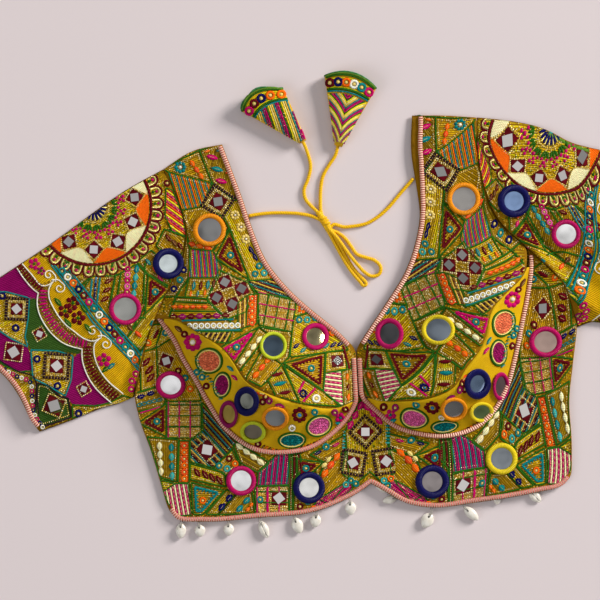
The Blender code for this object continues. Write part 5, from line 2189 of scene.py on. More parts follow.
    def _join_bands(self, sheet: Gathering, section: Section, metal: Metal, rows: list[tuple]) -> None:
        """Adds the bands of one section and material.

        Args:
            sheet: where they are gathered.
            section: their shape across.
            metal: their material.
            rows: the bands, as band keeps them.
        """
        offsets, heights = (np.array(part) for part in section.value)
        points, width, colour, rise, base = (np.concatenate(column) for column in zip(*rows))
        which = np.repeat(np.arange(len(rows)), [len(row[0]) for row in rows])
        same = which[1:] == which[:-1]
        step = np.diff(points, axis=0) * same[:, None]
        ahead = np.zeros_like(points)
        ahead[:-1] += step
        ahead[1:] += step
        ahead = unit(ahead)
        side = np.column_stack([-ahead[:, 1], ahead[:, 0]])
        lanes = len(offsets)
        # Painted shade on the edge lanes and a painted highlight on the crown lanes of each band, multiplied into the
        # dye.
        shade = np.where(heights == 0, self.painted_shade_at_foot[section], self.painted_highlight_at_crown)
        plan = points[:, None] + side[:, None] * (0.5 * width[:, None] * offsets)[..., None]
        lift = (base[:, None] + rise[:, None] * heights) - 0.22 * (heights == 0)
        along = np.concatenate([[0], np.cumsum(np.linalg.norm(step, axis=1))])
        uv = np.stack([np.repeat(along, lanes), np.tile(offsets, len(points))], axis=1)
        first = sheet.points(plan, lift, colour[:, None] * shade[None, :, None], uv)
        for lane in range(lanes - 1):
            a = first + np.nonzero(same)[0] * lanes + lane
            sheet.add(metal, a, a + lanes, a + lanes + 1, a + 1)

    def _join_domes(self, sheet: Gathering, metal: Metal, rows: list[tuple]) -> None:
        """Adds the beads and knots of one material, each a crown point, an upper ring and a foot.

        Args:
            sheet: where they are gathered.
            metal: their material.
            rows: the beads and knots, as beads keeps them.
        """
        sides = self.bead_sides
        turns = 2 * math.pi * np.arange(sides) / sides
        circle = np.column_stack([np.cos(turns), np.sin(turns)])
        centre, size, colour, rise, base = (np.concatenate(column) for column in zip(*rows))
        crown = centre[:, None] + circle * (0.66 * size)[:, None, None]
        foot = centre[:, None] + circle * size[:, None, None]
        rings = (np.repeat(z[:, None], sides, axis=1) for z in (base + 0.78 * rise, base - 0.3))
        lift = [(base + rise)[:, None], *rings]
        # Painted highlight on each bead's crown point and painted shade on its foot ring, multiplied into the dye.
        shade = np.concatenate([[1.12], np.full(sides, 1.0), np.full(sides, 0.78)])
        each = 2 * sides + 1
        first = sheet.points(
            np.concatenate([centre[:, None], crown, foot], axis=1), np.concatenate(lift, axis=1),
            colour[:, None] * shade[None, :, None], np.zeros((len(centre) * each, 2)),
        )
        at = first + each * np.arange(len(centre))
        for i in range(sides):
            j = (i + 1) % sides
            sheet.add(metal, at, at + 1 + i, at + 1 + j)
            sheet.add(metal, at + 1 + i, at + 1 + sides + i, at + 1 + sides + j, at + 1 + j)

    @staticmethod
    def _join_tiles(sheet: Gathering, metal: Metal, rows: list[tuple]) -> None:
        """Adds the squares of one material, each a flat top with four sloping sides.

        Args:
            sheet: where they are gathered.
            metal: their material.
            rows: the squares, as tile keeps them.
        """
        outer = np.stack([row[0] for row in rows])
        middle = outer.mean(axis=1, keepdims=True)
        inner = middle + (outer - middle) * 0.9
        rise = np.array([row[2] for row in rows])
        lift = np.concatenate([np.repeat(rise[:, None], 8, axis=1), np.full((len(rows), 4), -0.1)], axis=1)
        first = sheet.points(
            np.concatenate([inner, inner, outer], axis=1), lift,
            np.repeat(np.stack([row[1] for row in rows])[:, None], 12, axis=1),
            np.tile(np.array(((0, -1), (1, -1), (1, 1), (0, 1)) * 3, float) * 0.8, (len(rows), 1)),
        )
        at = first + 12 * np.arange(len(rows))
        sheet.add(metal, at, at + 1, at + 2, at + 3)
        for i in range(4):
            j = (i + 1) % 4
            sheet.add(metal, at + 4 + i, at + 8 + i, at + 8 + j, at + 4 + j)


# --------------------------------------------------------------------------- motifs


PALE_GOLDS = (Silk.PALE_GOLD.value, Silk.GOLD.value)
BRIGHT_GOLDS = (*PALE_GOLDS, Silk.CREAM.value)


@dataclass
class Motifs:
    """The embroiderer's stock of motifs, drawn with one threadwork."""

    work: Threadwork

    def backdrop(self, outline: np.ndarray, covered: Sequence[np.ndarray], dye: Colour, angle: float) -> None:
        """Couching and beads over whatever the patches leave bare.

        Args:
            outline: the panel's outline.
            covered: the patches' outlines.
            dye: the rows' dye.
            angle: the rows' direction.
        """
        for start, end in hatch(outline, angle, 2.3):
            points = stations(start, end, 2.2)
            bare = ~np.any([is_inside(points, each) for each in covered], axis=0)
            for run in np.split(np.arange(len(points)), np.nonzero(np.diff(bare.astype(int)))[0] + 1):
                if bare[run[0]] and len(run) > 1:
                    self.work.band(points[run], 2.3, self.work.shades(dye, len(run), 0.18), 0.4, -0.1, Section.THIN)
        low, high = outline.min(axis=0), outline.max(axis=0)
        places = self.work.chance.uniform(low, high, (int(np.prod(high - low) / 7.5), 2))
        places = places[is_inside(places, outline)]
        places = places[~np.any([is_inside(places, each) for each in covered], axis=0)]
        self.work.beads(places, 0.75, (*PALE_GOLDS, Silk.GREEN.value, Silk.MUSTARD.value), 0.8, 0.2)

    def bars(self, line: np.ndarray, dyes: Sequence[Colour], length: float) -> None:
        """Short satin bars across a line.

        Args:
            line: a plan line.
            dyes: the dyes, in turn.
            length: how long they are.
        """
        places = resampled(line, 3.3)
        ahead = np.gradient(places, axis=0)
        for i, place in enumerate(places):
            self.work.leaf(place, heading(ahead[i]) + 90, length, 2.9, dyes[i % len(dyes)])

    def ground(self, outline: np.ndarray, dye: Colour, angle: float, beads: float = 0.0) -> None:
        """Rows of couching over a patch, flecked with gold.

        Args:
            outline: a closed plan outline.
            dye: the rows' dye.
            angle: the rows' direction.
            beads: how far apart its beads are, or 0 for none.
        """
        gold = np.array(Silk.GOLD.value)
        for start, end in hatch(outline, angle, 1.9, 0.2 + 0.5 * self.work.chance.random()):
            points = stations(start, end, 2.4)
            mix = self.work.chance.random(len(points))[:, None] ** 3.4
            shade = self.work.shades(dye, len(points), 0.13) * (1 - 0.75 * mix) + gold * 0.75 * mix
            self.work.band(points, 1.75, shade * self.work.chance.uniform(0.45, 1.2), 0.55, 0.0, Section.THIN)
        if beads:
            self.work.sprinkle(outline, beads, 0.7, BRIGHT_GOLDS)

    def satin(self, outline: np.ndarray, dye: Colour, angle: float, pitch: float = 1.5, rise: float = 0.7) -> None:
        """Close satin stitches in one dye.

        Args:
            outline: a closed plan outline.
            dye: its dye.
            angle: the rows' direction.
            pitch: how far apart the rows are.
            rise: how far it stands over its edges.
        """
        for start, end in hatch(outline, angle, pitch):
            self.work.row(
                start, end, 5.0, dye, 0.05, width=pitch * 1.08, rise=rise * 0.6, base=0.25, section=Section.THIN
            )

    def stripes(self, outline: np.ndarray, dyes: Sequence[Colour], angle: float, pitch: float = 2.8) -> None:
        """Twisted stripes in dyes that take turns, each with short dashes of the next.

        Args:
            outline: a closed plan outline.
            dyes: the dyes, in turn.
            angle: the rows' direction.
            pitch: how far apart the rows are.
        """
        for index, (start, end) in enumerate(hatch(outline, angle, pitch)):
            dye, other = dyes[index % len(dyes)], dyes[(index + 1) % len(dyes)]
            points = stations(start, end, 1.5)
            fleck = (np.arange(len(points)) % 3 == index % 3)[:, None] * 0.22
            shade = self.work.shades(dye, len(points), 0.09) * (1 - fleck) + np.array(other) * fleck
            self.work.band(points, pitch * 0.96, shade, 0.85, 0.2)

    def zari(self, outline: np.ndarray, angle: float, pitch: float = 11.0) -> None:
        """A glittering gold check crossed by magenta and green lines.

        Args:
            outline: a closed plan outline.
            angle: the rows' direction.
            pitch: how far apart the check's lines are.
        """
        gold, pale, dark = (np.array(s.value) for s in (Silk.GOLD, Silk.PALE_GOLD, Silk.MUSTARD))
        for start, end in hatch(outline, angle, 1.7):
            points = stations(start, end, 1.8)
            draw = self.work.chance.random(len(points))[:, None]
            shade = np.where(draw < 0.45, gold, np.where(draw < 0.7, pale, dark))
            self.work.band(points, 1.75, shade, 0.55, 0.1, Section.THIN, Metal.ZARI)
        self.work.sprinkle(outline, 2.6, 0.8, BRIGHT_GOLDS)
        for turn, dye in ((angle, Silk.GREEN.value), (angle + 90, Silk.MAGENTA.value)):
            for start, end in hatch(outline, turn, pitch, 1.0):
                self.work.row(start, end, 2.6, dye, width=1.7, rise=0.9, base=0.4)

    def outline(self, outline: np.ndarray, dye: Colour, beads: bool, base: float) -> None:
        """A cord round a patch, with gold beads inside it.

        Args:
            outline: a closed plan outline.
            dye: the cord's dye.
            beads: whether there are beads.
            base: how far its edges stand off the cloth.
        """
        cord = resampled(closed(outline), 2.6)
        self.work.band(cord, 1.8, self.work.shades(dye, len(cord), 0.12), 0.85, base)
        if beads:
            ring = resampled(closed(shrunk(outline, 2.5)), 2.1)
            self.work.beads(ring[is_inside(ring, outline)], 0.78, BRIGHT_GOLDS, 0.75, 0.35, Metal.ZARI)

    def saw(self, outline: np.ndarray, dye: Colour, ring: Colour) -> None:
        """A patch inside a toothed border, with a ring in its middle.

        Args:
            outline: a closed plan outline.
            dye: the border's dye.
            ring: the ring's dye.
        """
        inner = shrunk(outline, 3.4)
        middle = inner.mean(axis=0)
        for a, b in zip(inner, np.roll(inner, -1, axis=0)):
            length = float(np.linalg.norm(b - a))
            ahead = (b - a) / max(length, 1e-6)
            across = np.array((-ahead[1], ahead[0]))
            if np.dot(across, middle - a) < 0:
                across = -across
            self.work.row(a, b, 2.5, dye, width=2.7, rise=0.95, base=0.35)
            count = max(1, int(length / 3.1))
            for i in range(count):
                tooth = a + ahead * length * (i + 0.5) / count + across * 1.7
                self.work.leaf(tooth, heading(across), 2.6, 2.0, dye, rise=0.75, base=0.4)
        self.ringlet(middle, 3.7, ring)

    def ringlet(
        self, centre: Sequence[float], radius: float, dye: Colour, core: Colour = Silk.PALE_GOLD.value
    ) -> None:
        """A small stitched ring round a bead."""
        self.work.ring(centre, radius * 0.72, radius * 0.62, dye, rise=1.05, base=0.4)
        self.work.beads(np.array([centre]), radius * 0.42, (core,), 1.0, 0.5)

    def leaves(
        self, line: np.ndarray, dyes: Sequence[Colour], length: float, width: float, lean: float = 0.0
    ) -> None:
        """Leaves in single file along a line, turned by a lean, each with a gold vein.

        Args:
            line: a plan line.
            dyes: the dyes, in turn.
            length: a leaf's length.
            width: a leaf's width.
            lean: how far they turn from the line.
        """
        span = float(np.linalg.norm(np.diff(line, axis=0), axis=1).sum())
        count = max(1, round(span / (length * (1.04 if lean == 0 else 0.72))))
        fine = resampled(line, span / (2 * count))
        for i in range(count):
            place = fine[min(2 * i + 1, len(fine) - 1)]
            angle = heading(fine[min(2 * i + 2, len(fine) - 1)] - fine[min(2 * i, len(fine) - 2)]) + lean
            self.work.leaf(place, angle, length, width, dyes[i % len(dyes)])
            reach = 0.22 * length * axes(angle)[0]
            self.work.row(
                place - reach, place + reach, 3.0, Silk.PALE_GOLD.value, width=0.7, rise=0.35, base=1.2,
                section=Section.THIN,
            )

    def rings(self, line: np.ndarray, dyes: Sequence[Colour], radius: float) -> None:
        """Ringlets in single file along a line."""
        for i, place in enumerate(resampled(line, 2.0 * radius)):
            self.ringlet(place, radius, dyes[i % len(dyes)])

    def links(self, line: np.ndarray, dye: Colour, size: float) -> None:
        """A chain of open oval links.

        Args:
            line: a plan line.
            dye: its dye.
            size: a link's size.
        """
        places = resampled(line, size * 1.75)
        for i, place in enumerate(places):
            angle = heading(places[min(i + 1, len(places) - 1)] - places[max(i - 1, 0)])
            self.work.ring(place, size * 0.72, 1.15, dye, sides=10, squash=(1.25, 0.78), turn=angle, rise=0.8)

    def cord(self, line: np.ndarray, dye: Colour, width: float, metal: Metal = Metal.SILK) -> None:
        """A couched cord along a line."""
        fine = resampled(line, 2.4)
        self.work.band(fine, width, self.work.shades(dye, len(fine), 0.1), 0.9, 0.4, metal=metal)

    def boat(self, centre: Sequence[float], angle: float, length: float, dye: Colour) -> None:
        """A boat-shaped leaf with teeth along one side.

        Args:
            centre: its middle.
            angle: its direction in degrees.
            length: its length.
            dye: its dye.
        """
        self.work.leaf(centre, angle, length, length * 0.34, dye, rise=1.1)
        ahead, across = axes(angle)
        for i in range(6):
            share = (i + 0.5) / 6 - 0.5
            place = np.array(centre) + ahead * share * length * 0.95 + across * (length * 0.2)
            self.work.leaf(place, angle + 90, 2.6, 1.2, Silk.PALE_GOLD.value, rise=0.8, metal=Metal.ZARI)

    def flower(
        self, centre: Sequence[float], radius: float, petals: int, dye: Colour, heart: Colour, turn: float = 0.0
    ) -> None:
        """Round satin petals about a knot.

        Args:
            centre: its middle.
            radius: how far it reaches.
            petals: how many petals it has.
            dye: its dye.
            heart: the knot's dye.
            turn: its angle in degrees.
        """
        for i in range(petals):
            place = np.array(centre) + 0.66 * radius * axes(turn + 360 * i / petals)[:1]
            self.work.beads(place, radius * min(0.44, 2.7 / petals), (dye,), 1.1, 0.4)
        self.work.beads(np.array([centre]), radius * 0.27, (heart,), 1.3, 0.5)

    def disc(
        self, centre: Sequence[float], half: tuple[float, float], turn: float, fill: Colour, rim: Colour
    ) -> None:
        """A knotted oval with a gold line and a cord round it.

        Args:
            centre: its middle.
            half: half its width and half its height.
            turn: its angle in degrees.
            fill: the knots' dye.
            rim: the cord's dye.
        """
        angles = np.linspace(0, 2 * math.pi, 24, endpoint=False)
        ring = np.column_stack([np.cos(angles) * half[0], np.sin(angles) * half[1]])
        outline = np.array(centre) + (ring * 0.8) @ axes(turn)
        self.satin(outline, fill, turn + 20, 1.6, 0.5)
        knots = (fill, tuple(np.array(fill) * 0.62), tuple(np.minimum(np.array(fill) * 1.5, 1)))
        for _ in range(2):
            self.work.sprinkle(outline, 2.3, 0.95, knots, Metal.SILK)
        for share, dye, width in ((0.86, Silk.PALE_GOLD.value, 1.3), (1.0, rim, 1.9)):
            self.work.ring(
                centre, 1.0, width, dye, sides=26, squash=(half[0] * share, half[1] * share), turn=turn, rise=0.9
            )

    def mirror_square(self, centre: Sequence[float], half: float, angle: float, glass: Colour) -> None:
        """A square mirror on a maroon square in a gold frame.

        Args:
            centre: its middle.
            half: half its side.
            angle: its direction in degrees.
            glass: its tint.
        """
        self.work.tile(centre, half * 1.55, angle, Silk.MAROON.value, 1.15)
        self.work.tile(centre, half, angle + 40, glass, 1.55, Metal.GLASS)
        self.work.bead_line(closed(square(centre, half * 1.55 + 0.6, angle)), 2.0, 0.95, BRIGHT_GOLDS)

    def framed_mirror(self, centre: Sequence[float], half: float, angle: float, glass: Colour) -> None:
        """A square mirror in a double frame: gold beads, then dark dashes on gold.

        Args:
            centre: its middle.
            half: half the frame's side.
            angle: its direction in degrees.
            glass: its tint.
        """
        self.work.tile(centre, half * 0.58, angle, Silk.MAROON.value, 1.15)
        self.work.tile(centre, half * 0.4, angle + 42, glass, 1.55, Metal.GLASS)
        for share in (0.66, 0.78):
            beads = (Silk.PALE_GOLD.value, Silk.CREAM.value, Silk.GOLD.value)
            self.work.bead_line(closed(square(centre, half * share, angle)), 1.9, 0.9, beads)
        frame = closed(square(centre, half, angle))
        self.cord(frame, Silk.GOLD.value, 3.0, Metal.ZARI)
        for place in resampled(frame, 3.0):
            self.work.tile(place, 1.36, angle, Silk.INK.value, 1.45)

    def scroll(self, centre: Sequence[float], radius: float, turn: float, way: int, dye: Colour) -> None:
        """A spiral cord that winds in from a tail.

        Args:
            centre: its middle.
            radius: its radius.
            turn: its angle in degrees.
            way: 1 or -1, for the way it winds.
            dye: its dye.
        """
        angles = math.radians(turn) + way * np.linspace(0, 2.7 * math.pi, 24)
        reach = radius * np.linspace(1, 0.18, 24) + radius * 0.7 * np.maximum(0, 1 - np.arange(24) / 3.0)
        line = np.array(centre) + np.column_stack([np.cos(angles) * reach, np.sin(angles) * reach])
        self.work.band(line, 1.4, self.work.shades(dye, len(line), 0.05), 0.8, 0.4)


# --------------------------------------------------------------------------- pattern tables


class Fill(Enum):
    """How a patch is filled."""

    GROUND = "couched rows"
    STRIPES = "twisted stripes"
    ZARI = "gold check"
    SAW = "toothed border"
    SATIN = "close satin"


@dataclass(frozen=True)
class Patch:
    """One patch of the left side, its outline drawn with y down."""

    outline: tuple[Point, ...]
    fill: Fill
    dyes: tuple[Silk, ...]
    angle: float = 0.0
    pitch: float = 2.2
    edge: Optional[Silk] = Silk.GREEN
    ring: Silk = Silk.TEAL
    beads: float = 4.6

    def stitch(self, motifs: Motifs) -> None:
        """Fills the patch and cords its edge.

        Args:
            motifs: the motifs to draw with.
        """
        outline = down(self.outline)
        dyes = [silk.value for silk in self.dyes]
        if self.fill is Fill.GROUND:
            motifs.ground(outline, dyes[0], self.angle, self.beads)
        elif self.fill is Fill.STRIPES:
            motifs.stripes(outline, dyes, self.angle, self.pitch)
        elif self.fill is Fill.ZARI:
            motifs.zari(outline, self.angle)
        elif self.fill is Fill.SATIN:
            motifs.satin(outline, dyes[0], self.angle, 1.7)
        else:
            motifs.ground(outline, Silk.MUSTARD.value, self.angle, 4.2)
            motifs.saw(outline, dyes[0], self.ring.value)
        if self.edge is not None:
            motifs.outline(outline, self.edge.value, self.fill is not Fill.SAW, 0.35)


class Run(Enum):
    """What runs along a trail."""

    LEAVES = "leaves in single file"
    FERN = "leaves leaning one way"
    RINGS = "ringlets"
    LINKS = "open links"
    CORD = "couched cord"
    BEADS = "gold beads"
    BARS = "bars across"

    @property
    def usual_size(self) -> float:
        """The size it has where a trail gives none, in millimetres."""
        return {"RINGS": 3.4, "LINKS": 3.0, "CORD": 1.9, "BEADS": 0.85, "BARS": 8.0}.get(self.name, 6.5)


@dataclass(frozen=True)
class Trail:
    """A line of motifs, drawn with y down."""

    run: Run
    line: tuple[Point, ...]
    dyes: tuple[Silk, ...]
    size: float = 0.0

    def stitch(self, motifs: Motifs) -> None:
        """Lays the trail.

        Args:
            motifs: the motifs to draw with.
        """
        line = down(self.line)
        line = smooth_curve(line, 2.0) if len(line) > 2 else resampled(line, 2.0)
        dyes = [silk.value for silk in self.dyes]
        size = self.size or self.run.usual_size
        if self.run is Run.LEAVES:
            motifs.leaves(line, dyes, 1.1 * size, 0.86 * size)
        elif self.run is Run.FERN:
            motifs.leaves(line, dyes, size, 0.45 * size, 62.0)
        elif self.run is Run.RINGS:
            motifs.rings(line, dyes, size)
        elif self.run is Run.LINKS:
            motifs.links(line, dyes[0], size)
        elif self.run is Run.CORD:
            motifs.cord(line, dyes[0], size)
        elif self.run is Run.BARS:
            motifs.bars(line, dyes, size)
        else:
            motifs.work.bead_line(line, 2.1, size, dyes)


class Shape(Enum):
    """A motif that stands alone."""

    RINGLET = "ringlet"
    LEAF = "leaf"
    BOAT = "boat leaf"
    FLOWER = "flower"
    DISC = "knotted disc"
    SQUARE = "square mirror"
    FRAME = "framed square mirror"
    SCROLL = "spiral cord"
    STAR = "five petals"


@dataclass(frozen=True)
class Spot:
    """A motif at a place drawn with y down."""

    shape: Shape
    place: Point
    size: float
    dyes: tuple[Silk, ...] = (Silk.TEAL,)
    turn: float = 0.0
    tall: float = 1.0

    def stitch(self, motifs: Motifs) -> None:
        """Lays the motif.

        Args:
            motifs: the motifs to draw with.
        """
        centre = down([self.place])[0]
        dyes = [silk.value for silk in self.dyes]
        second = dyes[1] if len(dyes) > 1 else Silk.PALE_GOLD.value
        # Square mirrors listed with the darker glass get painted shade on their reflection.
        glass = Silk.DIMMED_REFLECTION_GLASS.value if Silk.DIMMED_REFLECTION_GLASS in self.dyes else Silk.GLASS.value
        if self.shape is Shape.RINGLET:
            motifs.ringlet(centre, self.size, dyes[0], second)
        elif self.shape is Shape.LEAF:
            reach = 0.5 * self.size * axes(self.turn)[0]
            line = np.array([centre - reach, centre + reach])
            motifs.leaves(line, dyes, self.size, 0.5 * self.size * self.tall)
        elif self.shape is Shape.BOAT:
            motifs.boat(centre, self.turn, self.size, dyes[0])
        elif self.shape in (Shape.FLOWER, Shape.STAR):
            petals = 8 if self.shape is Shape.FLOWER else 5
            motifs.flower(centre, self.size, petals, dyes[0], second, self.turn)
        elif self.shape is Shape.DISC:
            motifs.disc(centre, (self.size, self.size * self.tall), self.turn, dyes[0], second)
        elif self.shape is Shape.SQUARE:
            motifs.mirror_square(centre, self.size, self.turn, glass)
        elif self.shape is Shape.FRAME:
            motifs.framed_mirror(centre, self.size, self.turn, glass)
        else:
            motifs.scroll(centre, self.size, self.turn, 1 if self.tall > 0 else -1, dyes[0])


def ringlets(places: Sequence[Point], *dyes: Silk, size: float = 3.5) -> tuple[Spot, ...]:
    """Ringlets at places, their dyes in turn."""
    return tuple(Spot(Shape.RINGLET, place, size, (dyes[i % len(dyes)],)) for i, place in enumerate(places))


def leaf_spots(places: Sequence[Point], turn: float, *dyes: Silk, size: float = 7.0) -> tuple[Spot, ...]:
    """Leaves at places, all turned one way."""
    return tuple(Spot(Shape.LEAF, place, size, (dyes[i % len(dyes)],), turn) for i, place in enumerate(places))


UPPER_FRONT = (
    Patch(((199, 150), (224, 142), (240, 200), (234, 200), (212, 183)), Fill.GROUND, (Silk.OLIVE,), 75),
    Patch(((163, 168), (199, 150), (212, 183), (168, 172)), Fill.GROUND, (Silk.MUSTARD,), 20),
    Patch(((168, 172), (212, 183), (202, 206), (182, 210)), Fill.STRIPES,
          (Silk.TEAL, Silk.ORANGE, Silk.OLIVE), -73, pitch=1.75),
    Patch(((182, 210), (202, 206), (223, 217), (229, 228), (213, 251), (190, 249), (187, 236)), Fill.GROUND,
          (Silk.MUSTARD,), 60),
    Patch(((212, 183), (234, 200), (223, 217), (202, 206)), Fill.GROUND, (Silk.OLIVE,), 10),
    Patch(((234, 200), (240, 200), (253, 230), (281, 279), (250, 281), (229, 228), (223, 217)), Fill.GROUND,
          (Silk.BRIGHT,), -62),
    Patch(((230, 229), (249, 280), (215, 258)), Fill.SAW, (Silk.MAROON,), -40),
    Patch(((190, 249), (213, 251), (222, 268), (219, 278), (189, 278)), Fill.STRIPES,
          (Silk.MAGENTA, Silk.TEAL, Silk.OLIVE), -85, pitch=1.75),
    Patch(((246, 281), (281, 279), (300, 300), (258, 293)), Fill.STRIPES,
          (Silk.INK, Silk.GOLD, Silk.MAROON, Silk.TEAL), -20, pitch=1.6),
    Patch(((219, 270), (248, 283), (255, 293), (246, 312), (226, 320), (207, 300)), Fill.GROUND, (Silk.OLIVE,), 30,
          beads=3.2),
    Patch(((189, 278), (219, 278), (207, 299), (185, 297)), Fill.GROUND, (Silk.BRIGHT,), 0),
    Patch(((176, 297), (207, 299), (226, 318), (243, 331), (215, 332), (165, 331)), Fill.GROUND, (Silk.MUSTARD,), 0,
          beads=0.0),
    Patch(((192, 331), (232, 331), (228, 343), (212, 341)), Fill.STRIPES, (Silk.INK, Silk.GOLD), 60),
    Patch(((248, 295), (258, 294), (257, 324), (246, 327)), Fill.SATIN, (Silk.ORANGE,), 0),
    Patch(((238, 303), (248, 295), (246, 327), (238, 331)), Fill.STRIPES, (Silk.BROWN, Silk.GOLD), 90),
    Patch(((258, 292), (296, 301), (292, 332), (259, 325)), Fill.ZARI, (Silk.GOLD,), -100),
    Patch(((296, 300), (313, 312), (294, 317)), Fill.GROUND, (Silk.BRIGHT,), -30),
    Patch(((294, 317), (313, 311), (340, 333), (348, 350), (330, 352), (290, 357), (292, 332)), Fill.GROUND,
          (Silk.BRIGHT,), -30),
    Patch(((259, 327), (235, 364), (219, 348)), Fill.SAW, (Silk.MAGENTA,), 40),
    Patch(((259, 327), (268, 334), (240, 371), (235, 364)), Fill.GROUND, (Silk.OLIVE,), 50, beads=0.0),
    Patch(((259, 327), (292, 332), (289, 357), (282, 364), (262, 350), (268, 334)), Fill.GROUND, (Silk.OLIVE,), 0),
    Patch(((262, 350), (282, 364), (262, 386), (246, 378)), Fill.GROUND, (Silk.MUSTARD,), 50),
    Patch(((268, 380), (282, 364), (300, 402), (276, 395)), Fill.GROUND, (Silk.BRIGHT,), -60, beads=0.0),
    Patch(((284, 363), (325, 352), (323, 390)), Fill.SAW, (Silk.MAROON,), 10),
    Patch(((284, 365), (323, 391), (340, 406), (300, 403)), Fill.GROUND, (Silk.BRIGHT,), -35),
    Patch(((326, 352), (345, 350), (347, 369), (325, 373)), Fill.GROUND, (Silk.BRIGHT,), 0),
    Patch(((325, 373), (341, 371), (343, 407), (323, 391)), Fill.STRIPES, (Silk.MAGENTA, Silk.CREAM), -8),
    Patch(((341, 371), (353, 368), (354, 402), (343, 407)), Fill.GROUND, (Silk.OLIVE,), 90),
    Patch(((163, 232), (186, 236), (190, 249), (189, 278), (176, 297), (160, 297)), Fill.GROUND, (Silk.OLIVE,), 80),
    Trail(Run.LEAVES, ((190, 160), (203, 179)), (Silk.ORANGE, Silk.RUST)),
    Spot(Shape.FLOWER, (180, 167), 6.5, (Silk.TEAL, Silk.WHITE)),
    *leaf_spots(((212, 157), (221, 181)), -14, Silk.MAGENTA, size=12),
    *leaf_spots(((217, 169),), -14, Silk.TEAL, size=12),
    *leaf_spots(((207, 151), (219, 150), (228, 172)), 20, Silk.ORANGE, Silk.TEAL, Silk.RUST, size=6),
    Spot(Shape.FRAME, (218, 201.5), 12.0, (Silk.DIMMED_REFLECTION_GLASS,), -33),
    Trail(Run.LEAVES, ((188, 243), (200, 246), (212, 249)), (Silk.RUST, Silk.ORANGE), 7),
    Trail(Run.BEADS, ((184, 218), (192, 230)), (Silk.PALE_GOLD, Silk.CREAM)),
    *(Spot(Shape.FLOWER, place, 5.2, (Silk.PALE_GOLD, Silk.WHITE)) for place in ((235, 215), (241, 227), (246, 239))),
    *leaf_spots(((251, 250), (255, 257)), -60, Silk.NAVY, size=9),
    *ringlets(((259, 266), (255, 274), (264, 273), (272, 275)), Silk.TEAL, Silk.TEAL, Silk.AQUA, Silk.ORANGE),
    Spot(Shape.SQUARE, (225, 282.5), 4.2, turn=20),
    Spot(Shape.SQUARE, (241.5, 289), 4.2, turn=20),
    Spot(Shape.SQUARE, (217, 298), 4.2, turn=20),
    Spot(Shape.SQUARE, (232.5, 304.5), 4.2, turn=20),
    *leaf_spots(((194, 286), (201, 286), (208, 285), (214, 284)), 82, Silk.TEAL, Silk.MAROON, size=9),
    *leaf_spots(((191, 294), (198, 294), (205, 293)), 82, Silk.ORANGE, Silk.TEAL, size=6),
    Trail(Run.CORD, ((173, 302), (211, 303)), (Silk.GREEN,)),
    Trail(Run.LEAVES, ((172, 307), (208, 307)), (Silk.ORANGE, Silk.RUST), 5.6),
    Trail(Run.CORD, ((171, 311), (216, 311.5)), (Silk.GREEN,)),
    Trail(Run.LEAVES, ((170, 317), (230, 315.5)), (Silk.MAROON, Silk.WINE), 7.6),
    Trail(Run.CORD, ((169, 321), (234, 319.5)), (Silk.TEAL,)),
    Trail(Run.RINGS, ((190, 326), (238, 325.5)), (Silk.WHITE,), 3.1),
    Trail(Run.CORD, ((167, 330), (240, 330)), (Silk.TEAL,)),
    Trail(Run.RINGS, ((252, 299), (252, 323)), (Silk.RUST, Silk.ORANGE), 3.3),
    Spot(Shape.STAR, (302, 309), 5.0, (Silk.ORANGE, Silk.WHITE)),
    *ringlets(((299, 320), (307, 320), (315, 318)), Silk.TEAL, Silk.AQUA, Silk.TEAL),
    Spot(Shape.RINGLET, (332, 333), 3.6, (Silk.ORANGE,)),
    *leaf_spots(((296, 346), (303, 350), (333, 345), (340, 344), (326, 346)), 40, Silk.NAVY, Silk.TEAL, Silk.NAVY,
                size=8),
    Trail(Run.LEAVES, ((240, 364), (262, 336)), (Silk.CREAM,), 7.0),
    Trail(Run.LEAVES, ((253, 378), (271, 356)), (Silk.ORANGE, Silk.RUST), 7.5),
    Spot(Shape.BOAT, (277, 374), 13, (Silk.MAROON,), 14),
    Spot(Shape.BOAT, (280, 383), 14, (Silk.TEAL,), 14),
    Spot(Shape.BOAT, (285, 392), 13, (Silk.MAROON,), 10),
    Trail(Run.CORD, ((298, 392), (304, 381)), (Silk.MAGENTA,), 2.6),
    Trail(Run.CORD, ((303, 401), (315, 388)), (Silk.MAGENTA,), 2.6),
    Spot(Shape.FLOWER, (303, 393), 4.8, (Silk.NAVY, Silk.BLUE)),
    *ringlets(((316, 398),), Silk.WHITE, size=4.4),
    Spot(Shape.SQUARE, (337, 361), 3.9, (Silk.DIMMED_REFLECTION_GLASS,), 5),
    *leaf_spots(((347, 377), (348, 387), (348, 397)), 85, Silk.ORANGE, Silk.MAROON, Silk.ORANGE),
    Trail(Run.CORD, ((343, 346), (349, 369)), (Silk.MAROON,), 3.0),
    *leaf_spots(((168, 236), (175, 242), (180, 250), (171, 250)), -50, Silk.MAROON, Silk.RUST, size=8),
    *ringlets(((184, 270), (180, 280), (174, 289), (169, 279), (170, 266)), Silk.NAVY, Silk.TEAL, Silk.NAVY),
)

